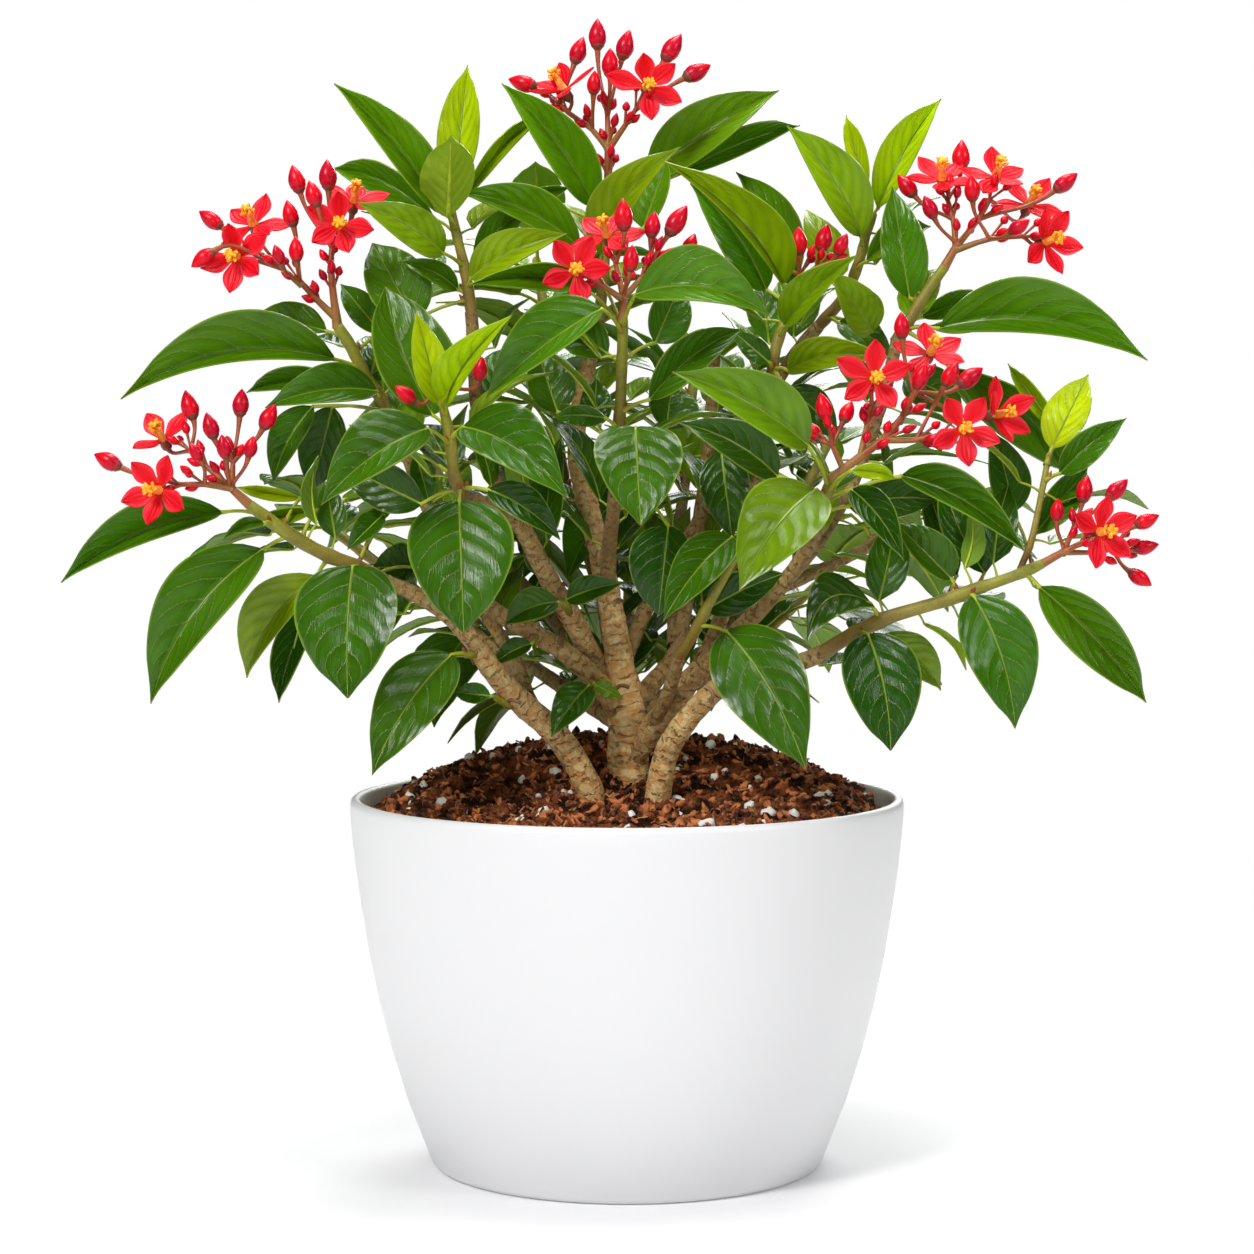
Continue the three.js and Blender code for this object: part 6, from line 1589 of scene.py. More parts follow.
def vein_group() -> bpy.types.NodeTree:
    """The veins of a leaf, from its spot (u, v, mm from the rib): laterals that curve toward the tip.

    Returns:
        The group.
    """
    results = {"Lateral": "Float", "Rib": "Float", "Height": "Float"}
    w, (spot, seed) = shared_group("leaf_veins", {"Spot": "Vector", "Seed": "Float"}, results)
    u, v, off = w.parts(spot)
    m = w.math("ABSOLUTE", u)
    away = w.math("ABSOLUTE", off)
    side = w.times(w.math("SIGN", u), 0.23)
    wobble = w.times(w.less(w.noise(spot, 2.3), 0.5), 0.05)
    lag = w.plus(w.times(m, 0.2), w.times(w.math("POWER", m, 3.0), 0.2))
    rank = w.times(w.less(w.plus(v, wobble), lag), 6.6)
    rank = w.plus(w.plus(rank, side), seed)
    apart = w.math("ABSOLUTE", w.less(w.math("FRACT", rank), 0.5))
    core = w.step(apart, 0.05, 0.008)
    faint = w.times(w.step(m, 0.97, 0.7), w.step(away, 0.0, 1.2, 0.4, 1.0))
    lateral = w.times(core, faint)
    width = w.step(v, 1.0, 0.0, 0.25, 0.62)
    rib = w.step(w.math("DIVIDE", away, width), 1.0, 0.45)
    pillow = w.math("POWER", w.times(apart, 2.0), 0.6)
    reach = w.math("DIVIDE", away, w.math("MAXIMUM", m, 0.03))
    height = w.times(w.times(pillow, w.step(m, 1.0, 0.4, 0.2, 1.0)), w.step(reach, 1.0, 9.0))
    return end_group(w, [lateral, rib, height])


def speckle_group() -> bpy.types.NodeTree:
    """Two sizes of mottling on the object's own coordinates, around 0.

    Returns:
        The group.
    """
    w, (place, scale) = shared_group(
        "mottling", {"Place": "Vector", "Scale": "Float"}, {"Broad": "Float", "Fine": "Float"})
    broad = w.less(w.noise(place, scale, 2.0), 0.5)
    fine = w.less(w.noise(place, w.times(scale, 7.0), 3.0), 0.5)
    return end_group(w, [broad, fine])


GROUPS: dict[str, bpy.types.NodeTree] = {}


@dataclass(frozen=True)
class Finish:
    """A finish with one Principled shader; what its nodes paint is in `weave`."""

    name: str
    roughness: float = 0.5
    specular: float = 0.5
    subsurface: float = 0.0

    def weave(self, w: Weaver) -> dict:
        """The shader inputs that the finish paints."""
        return {}

    def make(self) -> bpy.types.Material:
        """The finish as a material.

        Returns:
            The new material.
        """
        material = bpy.data.materials.new(self.name)
        material.use_nodes = True
        tree = material.node_tree
        tree.nodes.clear()
        w = Weaver(tree)
        shader = tree.nodes.new("ShaderNodeBsdfPrincipled")
        fixed = {
            "Roughness": self.roughness, "Specular IOR Level": self.specular,
            "Subsurface Weight": self.subsurface,
        }
        fixed.update(self.weave(w))
        through = fixed.pop("Through", None)
        share = fixed.pop("Share", 0.3)
        for key, value in fixed.items():
            w.put(shader.inputs[key], value)
        shader.inputs["Subsurface Radius"].default_value = (0.004, 0.002, 0.001)
        shader.inputs["Subsurface Scale"].default_value = 0.5
        surface = shader.outputs[0]
        if through is not None:
            glow = w.add("BsdfTranslucent", {"Color": through})
            surface = w.add("MixShader", {0: share, 1: surface, 2: glow})
        w.add("OutputMaterial", {"Surface": surface})
        return material


@dataclass(frozen=True)
class LeafFinish(Finish):
    """A leaf's blade: glossy and dark above, paler below, lime when it is young, with painted sunlight and
    painted shade by its light value.
    """

    roughness: float = 0.23
    specular: float = 0.35
    # Painted light: the lightest green below is painted sunlight, the darkest is painted shade.
    painted_sunlit: Colour = (112, 158, 6)
    grown: Colour = (74, 124, 4)
    deep: Colour = (30, 68, 2)
    young: Colour = (204, 224, 14)
    below: Colour = (122, 158, 46)
    vein: Colour = (160, 188, 60)
    tip: Colour = (140, 110, 40)
    glow: Colour = (140, 196, 8)
    relief: float = 0.00045

    def weave(self, w: Weaver) -> dict:
        """The blade's colour, gloss and relief.

        Args:
            w: The weaver of the material's tree.

        Returns:
            What goes into the shader, by socket.
        """
        spot = w.attribute("spot")
        age, light, seed = w.parts(w.attribute("kind"))
        side = w.add("Attribute", out="Fac", attribute_name="side")
        lateral, rib, height = w.group(GROUPS["veins"], {0: spot, 1: w.times(seed, 3.7)})
        broad, fine = w.group(GROUPS["mottling"], {0: w.object_place(), 1: 60.0})
        u, v, _ = w.parts(spot)
        # Painted light and shade: the leaf's light value mixes painted shade, grown green and painted
        # sunlight.
        shade = w.mix(light, linear(*self.deep), linear(*self.grown))
        shade = w.mix(w.math("SUBTRACT", light, 1.0, clamp=True), shade, linear(*self.painted_sunlit))
        colour = w.mix(age, shade, linear(*self.young))
        # Mottling at random, plus painted shade: darker in the valleys along the veins, lighter on the
        # raised pillows between them.
        mottling_and_painted_relief_shade = w.plus(w.times(broad, 0.7), w.times(fine, 0.18))
        mottling_and_painted_relief_shade = w.plus(mottling_and_painted_relief_shade, w.times(w.less(height, 0.6), 0.36))
        colour = w.add("HueSaturation", {
            "Hue": w.plus(0.5, w.times(w.math("SINE", w.times(seed, 9.0)), 0.008)),
            "Value": w.plus(1.0, mottling_and_painted_relief_shade), "Saturation": 1.0, "Color": colour})
        colour = w.mix(w.times(lateral, w.less(0.34, w.times(age, 0.2))), colour, linear(*self.vein))
        edge = w.step(w.math("ABSOLUTE", u), 0.93, 1.0, 0.0, 0.5)
        marked = w.math("MAXIMUM", w.times(rib, 0.8), edge)
        colour = w.mix(marked, colour, linear(*self.vein))
        colour = w.mix(w.step(v, 0.965, 1.0, 0.0, 0.8), colour, linear(*self.tip))
        under = w.mix(age, linear(*self.below), linear(*self.young))
        under = w.mix(w.times(lateral, 0.4), under, linear(*self.vein))
        colour = w.mix(side, under, colour)
        relief = w.plus(height, w.times(fine, 0.12))
        relief = w.less(relief, w.times(rib, 0.8))
        facing = w.less(w.times(side, 2.0), 1.0)
        bump = w.bump(w.times(relief, facing), self.relief, 0.8)
        rough = w.plus(self.roughness, w.times(w.less(1.0, side), 0.25))
        return {
            "Base Color": colour, "Normal": bump, "Roughness": w.plus(rough, w.times(fine, 0.15)),
            "Through": w.mix(0.6, colour, linear(*self.glow)), "Share": w.plus(0.26, w.times(age, 0.16)),
        }


@dataclass(frozen=True)
class StemFinish(Finish):
    """Green stems: one colour to another along "kind", with mottling."""

    roughness: float = 0.5
    start: Colour = (122, 90, 32)
    end: Colour = (130, 134, 24)

    def weave(self, w: Weaver) -> dict:
        """The stem's colour and relief.

        Args:
            w: The weaver of the material's tree.

        Returns:
            What goes into the shader, by socket.
        """
        along, _, _ = w.parts(w.attribute("kind"))
        broad, fine = w.group(GROUPS["mottling"], {0: w.object_place(), 1: 150.0})
        colour = w.mix(along, linear(*self.start), linear(*self.end))
        value = w.plus(1.0, w.plus(broad, w.times(fine, 0.6)))
        colour = w.add("HueSaturation", {"Value": value, "Color": colour})
        return {"Base Color": colour, "Normal": w.bump(w.plus(broad, fine), 0.0004)}


@dataclass(frozen=True)
class BarkFinish(Finish):
    """Tan bark, wrinkled across, and greener up the branches."""

    roughness: float = 0.75
    tan: Colour = (230, 164, 90)
    pale: Colour = (255, 224, 158)
    dark: Colour = (84, 46, 16)
    green: Colour = (118, 94, 44)

    def weave(self, w: Weaver) -> dict:
        """The bark's colour and relief.

        Args:
            w: The weaver of the material's tree.

        Returns:
            What goes into the shader, by socket.
        """
        green, seed, _ = w.parts(w.attribute("kind"))
        east, north, along = w.parts(w.attribute("spot"))
        place = w.object_place()
        broad, fine = w.group(GROUPS["mottling"], {0: place, 1: 90.0})
        around = w.add("CombineXYZ", {
            0: w.times(east, 0.7), 1: w.times(north, 0.7),
            2: w.plus(w.times(along, 0.16), seed)})
        rank = w.plus(w.times(along, 0.27), w.times(w.noise(around, 1.0, 3.0, 0.6), 3.0))
        apart = w.math("ABSOLUTE", w.less(w.math("FRACT", rank), 0.5))
        crack = w.step(apart, 0.0, w.step(w.noise(around, 2.1), 0.42, 0.7, 0.02, 0.3))
        plate = w.step(w.noise(around, 1.9, 4.0, 0.7), 0.35, 0.65)
        colour = w.mix(plate, linear(*self.tan), linear(*self.pale))
        colour = w.mix(w.times(green, 0.8), colour, linear(*self.green))
        colour = w.mix(w.times(w.less(1.0, crack), 0.45), colour, linear(*self.dark))
        value = w.plus(1.0, w.plus(w.times(broad, 0.9), w.times(fine, 0.8)))
        colour = w.add("HueSaturation", {"Value": value, "Color": colour})
        relief = w.plus(crack, w.plus(w.times(fine, 0.5), w.times(plate, 0.5)))
        return {"Base Color": colour, "Normal": w.bump(relief, 0.0011, 0.9)}


@dataclass(frozen=True)
class PetalFinish(Finish):
    """A petal: coral crimson, deeper at the heart, with faint lines along it."""

    roughness: float = 0.42
    specular: float = 0.3
    subsurface: float = 0.1
    body: Colour = (234, 4, 34)
    rim: Colour = (252, 58, 78)
    heart: Colour = (236, 50, 8)
    line: Colour = (200, 10, 36)
    glow: Colour = (255, 24, 36)
    share: float = 0.3

    def weave(self, w: Weaver) -> dict:
        """The petal's colour and relief.

        Args:
            w: The weaver of the material's tree.

        Returns:
            What goes into the shader, by socket.
        """
        u, v, _ = w.parts(w.attribute("spot"))
        m = w.math("ABSOLUTE", u)
        lines = w.math("SINE", w.times(u, 14.0))
        colour = w.mix(w.step(m, 0.35, 1.0), linear(*self.body), linear(*self.rim))
        colour = w.mix(w.step(v, 0.34, 0.05), colour, linear(*self.heart))
        colour = w.mix(w.times(w.step(lines, 0.2, 1.0), 0.1), colour, linear(*self.line))
        return {
            "Base Color": colour, "Normal": w.bump(lines, 0.0002),
            "Through": linear(*self.glow), "Share": self.share,
        }


@dataclass(frozen=True)
class PlainFinish(Finish):
    """One colour with mottling."""

    colour: Colour = (200, 200, 200)
    other: Colour | None = None
    scale: float = 120.0
    bump: float = 0.0003
    spread: float = 0.5

    def weave(self, w: Weaver) -> dict:
        """The colour and relief.

        Args:
            w: The weaver of the material's tree.

        Returns:
            What goes into the shader, by socket.
        """
        broad, fine = w.group(GROUPS["mottling"], {0: w.object_place(), 1: self.scale})
        base = linear(*self.colour)
        if self.other:
            base = w.mix(w.step(broad, -0.12, 0.12), base, linear(*self.other))
        value = w.plus(1.0, w.times(fine, self.spread))
        colour = w.add("HueSaturation", {"Value": value, "Color": base})
        if not self.bump:
            return {"Base Color": colour}
        return {"Base Color": colour, "Normal": w.bump(fine, self.bump)}


@dataclass(frozen=True)
class FlatFinish(Finish):
    """One even colour."""

    colour: Colour = (240, 240, 240)

    def weave(self, w: Weaver) -> dict:
        """The colour alone."""
        return {"Base Color": linear(*self.colour)}


class Looks(Enum):
    """Every finish of the plant and its pot."""

    LEAF = LeafFinish("leaf")
    STEM = StemFinish("green_stem")
    PETIOLE = StemFinish("petiole", start=(140, 128, 28), end=(160, 176, 34))
    BARK = BarkFinish("bark")
    STALK = StemFinish("flower_stalk", roughness=0.45, start=(138, 110, 44), end=(158, 46, 30))
    PETAL = PetalFinish("petal")
    BUD = PlainFinish(
        "bud", roughness=0.3, specular=0.24, colour=(214, 0, 28), other=(180, 0, 36), scale=110.0, bump=0.0)
    CALYX = PlainFinish("calyx", roughness=0.45, colour=(132, 40, 38), other=(110, 62, 40), scale=260.0)
    COLUMN = PlainFinish(
        "stamen_column", roughness=0.5, colour=(240, 120, 50), other=(244, 168, 70), scale=500.0)
    ANTHER = PlainFinish("anther", roughness=0.5, colour=(252, 186, 20), other=(246, 150, 14), scale=500.0)
    SCAR = PlainFinish("leaf_scar", roughness=0.75, colour=(112, 80, 52), other=(150, 118, 82), scale=300.0)
    SCALE = PlainFinish("bud_scale", roughness=0.6, colour=(132, 52, 26), other=(150, 96, 44), scale=300.0)
    POT = FlatFinish("pot_plastic", roughness=0.4, specular=0.45, colour=(220, 220, 221))
    SOIL = PlainFinish(
        "potting_mix", roughness=0.85, specular=0.15, colour=(36, 15, 6), other=(122, 66, 34), bump=0.001)
    CHIP = PlainFinish(
        "bark_chips", roughness=0.6, specular=0.2, colour=(50, 20, 8), other=(206, 124, 74), scale=240.0,
        bump=0.0006, spread=1.1)
    FIBRE = PlainFinish("coir_fibre", roughness=0.6, colour=(196, 132, 82), other=(120, 66, 36))
    PERLITE = PlainFinish("perlite", roughness=0.8, colour=(236, 232, 224), bump=0.0005, spread=0.2)

    @property
    def material(self) -> bpy.types.Material:
        """The material, made on first use."""
        return bpy.data.materials.get(self.value.name) or self.value.make()


# The meshes.

class Skin:
    """A mesh gathered part by part, with what its finishes read at each point."""

    def __init__(self) -> None:
        """An empty mesh."""
        self.points: list[Array] = []
        self.faces: list[tuple[int, ...]] = []
        self.slots: list[int] = []
        self.marks: dict[str, list[Array]] = {"spot": [], "kind": [], "side": []}
        self.looks: list[Looks] = []
        self.count = 0

    def add(
        self, points: Array, faces: list[tuple[int, ...]], look: Looks,
        spot: Array | Point = (0, 0, 0), kind: Array | Point = (0, 0, 0), side: float = 1.0,
    ) -> None:
        """Adds a part.

        Args:
            points: Its points.
            faces: Its faces, by point.
            look: Its finish.
            spot: Where each point lies on the part, or one for all.
            kind: What the finish reads beside that.
            side: Which face of a leaf each point lies on.
        """
        if look not in self.looks:
            self.looks.append(look)
        slot = self.looks.index(look)
        size = len(points)
        self.points.append(points)
        self.faces += [tuple(i + self.count for i in face) for face in faces]
        self.slots += [slot] * len(faces)
        for name, value, width in (("spot", spot, 3), ("kind", kind, 3), ("side", side, 1)):
            rows = np.asarray(value, float).reshape(-1, width)
            self.marks[name].append(np.broadcast_to(rows, (size, width)))
        self.count += size

    def grid(
        self, net: Array, look: Looks, closed: bool = False, flip: bool = False,
        **marks: Array | Point | float,
    ) -> None:
        """Adds a net of points as quads.

        Args:
            net: The points, rows by columns.
            look: Its finish.
            closed: Whether its last column joins its first.
            flip: Whether its faces look the other way.
            marks: What the finish reads at each point, by name.
        """
        rows, columns = net.shape[:2]
        wide = columns if closed else columns - 1
        faces = []
        for i in range(rows - 1):
            for j in range(wide):
                a, b = i * columns + j, i * columns + (j + 1) % columns
                face = (a, b, b + columns, a + columns)
                faces.append(face[::-1] if flip else face)
        self.add(net.reshape(-1, 3), faces, look, **marks)

    def tube(
        self, points: list[Array], radii: list[float], look: Looks, sides: int = 8,
        kinds: list[Point] | None = None, ends: bool = True,
    ) -> None:
        """Adds a tube.

        Args:
            points: The line it runs along.
            radii: The radius at each point.
            look: Its finish.
            sides: The number of its sides.
            kinds: What the finish reads at each point of the line.
            ends: Whether it ends round.
        """
        points = [np.asarray(p, float) for p in points]
        radii = list(radii)
        kinds = np.zeros((len(points), 3)) if kinds is None else np.asarray(kinds, float)
        if ends:
            tip = unit(points[-1] - points[-2])
            points.append(points[-1] + tip * radii[-1] * 0.5)
            radii += [radii[-1] * 0.55]
            points.append(points[-2] + tip * radii[-2] * 0.75)
            radii.append(0.02)
            kinds = np.vstack([kinds, kinds[-1:], kinds[-1:]])
        net = np.zeros((len(points), sides, 3))
        turn = ring_of(sides)
        for i, (_, side, other) in enumerate(frames(points)):
            net[i] = points[i] + (np.outer(np.cos(turn), side) + np.outer(np.sin(turn), other)) * radii[i]
        self.grid(net, look, closed=True, kind=np.repeat(kinds[:, None], sides, axis=1))

    def piece(self, name: str) -> bpy.types.Object:
        """The gathered mesh as an object, in metres.

        Args:
            name: The name of the object.

        Returns:
            The new object, in the scene.
        """
        mesh = bpy.data.meshes.new(name)
        mesh.from_pydata(np.concatenate(self.points) / 1000, [], self.faces)
        for label, rows in self.marks.items():
            rows = np.concatenate(rows)
            kind = "FLOAT" if label == "side" else "FLOAT_VECTOR"
            layer = mesh.attributes.new(label, kind, "POINT")
            layer.data.foreach_set("value" if label == "side" else "vector", rows.ravel())
        for look in self.looks:
            mesh.materials.append(look.material)
        mesh.polygons.foreach_set("material_index", self.slots)
        mesh.shade_smooth()
        return stood(name, mesh)


def stood(name: str, data: bpy.types.ID | None) -> bpy.types.Object:
    """A new object in the scene.

    Args:
        name: Its name.
        data: Its mesh, light or camera.

    Returns:
        The object.
    """
    obj = bpy.data.objects.new(name, data)
    bpy.context.scene.collection.objects.link(obj)
    return obj


def smooth(low: float, high: float, v: Number) -> Number:
    """A smooth step."""
    t = np.clip((np.asarray(v, float) - low) / (high - low), 0, 1)
    return t * t * (3 - 2 * t)


def ring_of(sides: int) -> Array:
    """The angles of a ring's points."""
    return np.arange(sides) * 2 * math.pi / sides


def frames(points: list[Array]) -> list[Aimed]:
    """The way a line runs at each of its points, with two sides square to it that don't twist.

    Args:
        points: The line.

    Returns:
        The way along and both sides, at each point.
    """
    rows, side, last = [], None, len(points) - 1
    for i in range(last + 1):
        along = unit(points[min(i + 1, last)] - points[max(i - 1, 0)])
        if side is None:
            side = UP if abs(along[2]) < 0.9 else vec(1, 0, 0)
        side = unit(side - along * float(side @ along))
        rows.append((along, side, np.cross(along, side)))
    return rows


def faced(net: Array, toward: Array) -> tuple[Array, bool]:
    """The normals of a net of points.

    Args:
        net: The points, rows by columns.
        toward: The side on which the normals stand.

    Returns:
        The normals, and whether they follow the net's own order.
    """
    normal = np.cross(np.gradient(net, axis=1), np.gradient(net, axis=0))
    normal /= np.maximum(np.linalg.norm(normal, axis=2, keepdims=True), 1e-9)
    up = float(normal[len(net) // 2].mean(0) @ toward) > 0
    return normal if up else -normal, up


def finer(path: Path, step: float, back: float = 0.0) -> tuple[list[Array], list[float]]:
    """A path cut into smaller steps, and begun `back` before its first point.

    Args:
        path: The path.
        step: The length of a piece.
        back: How far before its start the line begins.

    Returns:
        The points, and the radius at each.
    """
    fine = Path.through(path.points, path.radii, step)
    if back:
        start = fine.points[0] - unit(fine.points[1] - fine.points[0]) * back
        return [start] + fine.points, [fine.radii[0]] + fine.radii
    return fine.points, fine.radii


@dataclass(frozen=True)
class FineLeaf:
    """How a leaf is made: its blade's net, its thickness, and its stalk, which runs on as the rib."""

    rows: int = 28
    columns: int = 12
    thick: float = 0.5
    bulge: float = 0.11
    ruffle: float = 0.28
    first: float = 0.004
    # Heights and distances out over which a leaf's colour gains painted sunlight.
    crown: tuple[float, float] = (235.0, 370.0)
    outside: tuple[float, float] = (90.0, 190.0)
    stalk_share: float = 1.0

    def build(self, skin: Skin, blade: Blade, stalk: Path) -> None:
        """Adds a leaf to a skin.

        Args:
            skin: What the leaf goes into.
            blade: The blade's form.
            stalk: Its stalk, from shoot to blade.
        """
        v = np.linspace(self.first, 1 - self.first, self.rows + 1)[:, None]
        u = np.linspace(-1, 1, self.columns + 1)[None, :]
        m = np.abs(u)
        left = u < 0
        reach = np.where(left, blade.halves[0][0], blade.halves[1][0])
        tilt = np.where(left, blade.halves[0][1], blade.halves[1][1])
        width = blade.width(v) * (1 - 0.3 * smooth(0.8, 0.97, v) * (1 - smooth(0.97, 1.0, v) * 0.2))
        out = m * reach * width
        ripple = blade.wave * m * np.sin(v * 11 + np.where(left, 0, 1.7)) * np.sin(math.pi * v)
        phase = blade.seed * 7 + np.where(left, 0, 2.1)
        ripple = ripple + self.ruffle * m ** 3 * np.sin(v * 38 + phase) * np.sin(math.pi * v)
        swell = self.bulge * reach * width * m * (1 - m) * 4 * 0.5
        side = np.where(left, 1, -1) * out * np.cos(tilt)
        lift = out * np.sin(tilt) + ripple + swell
        net = blade.rib(v) + blade.across * side[..., None] + blade.up * lift[..., None]
        normal, faces_up = faced(net, blade.up)
        upper, under = net + normal * self.thick / 2, net - normal * self.thick / 2
        signed = np.where(left, -1, 1) * out
        spot = np.stack([np.broadcast_to(u, out.shape), np.broadcast_to(v, out.shape), signed], axis=2)
        kind = (*self.painted_light_level(blade), blade.seed)
        skin.grid(upper, Looks.LEAF, flip=faces_up, spot=spot, kind=kind, side=1.0)
        skin.grid(under, Looks.LEAF, flip=not faces_up, spot=spot, kind=kind, side=0.0)
        last, wide = self.rows, self.columns
        ring = [(i, 0) for i in range(last + 1)] + [(last, j) for j in range(1, wide + 1)]
        ring += [(i, wide) for i in range(last - 1, -1, -1)] + [(0, j) for j in range(wide - 1, 0, -1)]
        rim = np.array([[upper[i, j] for i, j in ring], [under[i, j] for i, j in ring]])
        marks = np.array([[spot[i, j] for i, j in ring]] * 2)
        skin.grid(rim, Looks.LEAF, closed=True, flip=faces_up, spot=marks, kind=kind, side=1.0)
        self._stalk(skin, blade, stalk)

    def painted_light_level(self, blade: Blade) -> tuple[float, float]:
        """How young a leaf is, and how much painted sunlight its colour carries: more toward the top and
        the outside.

        Args:
            blade: The leaf's blade.

        Returns:
            Both, from 0 up.
        """
        age, light = blade.tone.value
        # Painted sunlight: leaves higher in the crown and further out get a lighter colour.
        middle = blade.rib(0.5)
        high = float(smooth(*self.crown, middle[2]))
        outer = float(smooth(*self.outside, abs(middle[0])))
        return age, light + 1.15 * high + 0.45 * outer

    def _stalk(self, skin: Skin, blade: Blade, stalk: Path) -> None:
        """The stalk with its thick foot, and the rib below the blade.

        Args:
            skin: What it goes into.
            blade: The blade.
            stalk: The stalk.
        """
        root, foot = stalk.points
        line = foot - root
        length = float(np.linalg.norm(line))
        sag = unit(np.cross(np.cross(line, UP), line)) if abs(unit(line)[2]) < 0.97 else blade.across
        points, radii = [], []
        for t in (-0.02, 0.06, 0.14, 0.3, 0.5, 0.7, 0.86, 1.0):
            points.append(root + line * t + sag * length * 0.05 * math.sin(math.pi * max(t, 0)))
            swell = 0.85 * math.exp(-max(t, 0) * length / 2.2) + 0.2 * smooth(0.85, 1.0, t)
            radii.append((0.62 + swell) * self.stalk_share)
        kinds = [(min(max(0.2 + 0.8 * t, 0), 1), 0, 0) for t in (0, 0, 0.2, 0.5, 0.7, 0.9, 1, 1)]
        for v in (0.06, 0.16, 0.3, 0.46, 0.62, 0.78, 0.9):
            radius = (0.8 * (1 - v) + 0.14) * self.stalk_share
            points.append(blade.rib(v) - blade.up * (radius - 0.12))
            radii.append(radius)
            kinds.append((1, 0, 0))
        skin.tube(points, radii, Looks.PETIOLE, sides=7, kinds=kinds)


@dataclass
class LeafyShoot:
    """A green shoot with its leaves, buds' scales at their feet, and a growing tip."""

    name: str
    plan: Plan
    sides: int = 14
    step: float = 3.0
    leaf: FineLeaf = FineLeaf()
    scale_length: float = 3.4
    slim: float = 0.9
    knuckle: float = 0.13

    def build(self) -> bpy.types.Object:
        """The shoot's piece.

        Returns:
            The object that replaces the CAD shoot.
        """
        skin = Skin()
        path = self.plan.shoots[self.name]
        points, radii = finer(path, self.step, 1.5)
        last = len(points) - 1
        feet = [stalk.points[0] for _, stalk in self.plan.leaves[self.name]]
        thick = []
        for p, r in zip(points, radii):
            near = min([float(np.linalg.norm(p - f)) for f in feet] or [99.0])
            thick.append(r * (self.slim + self.knuckle * math.exp(-(near / 2.2) ** 2)))
        kinds = [(i / last, 0, 0) for i in range(last + 1)]
        skin.tube(points, thick, Looks.STEM, sides=self.sides, kinds=kinds)
        for blade, stalk in self.plan.leaves[self.name]:
            self.leaf.build(skin, blade, stalk)
            self._scale(skin, stalk)
        piece = skin.piece(f"leafy_{self.name}")
        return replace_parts(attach(piece, "root"), f"{self.name}_shoot")

    def _scale(self, skin: Skin, stalk: Path) -> None:
        """A small bud above a leaf's foot.

        Args:
            skin: What it goes into.
            stalk: The leaf's stalk.
        """
        root, foot = stalk.points
        way = unit(unit(foot - root) + UP * 1.4)
        base = root + unit(foot - root) * 1.6
        rows = [base, base + way * self.scale_length * 0.5, base + way * self.scale_length]
        skin.tube(rows, [1.0, 0.85, 0.12], Looks.SCALE, sides=6)


@dataclass
class SmallLeaves:
    """The small leaves along one stand of wood or one shoot."""

    name: str
    plan: Plan
    leaf: FineLeaf = FineLeaf(rows=8, columns=4, thick=0.4, ruffle=0.2, stalk_share=0.55)

    def build(self) -> list[bpy.types.Object]:
        """The small leaves' piece.

        Returns:
            The piece, or nothing where no small leaf had room.
        """
        rows = self.plan.small[self.name]
        if not rows:
            return []
        skin = Skin()
        for blade, stalk in rows:
            self.leaf.build(skin, blade, stalk)
        return [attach(skin.piece(f"small_leaves_{self.name}"), "root")]


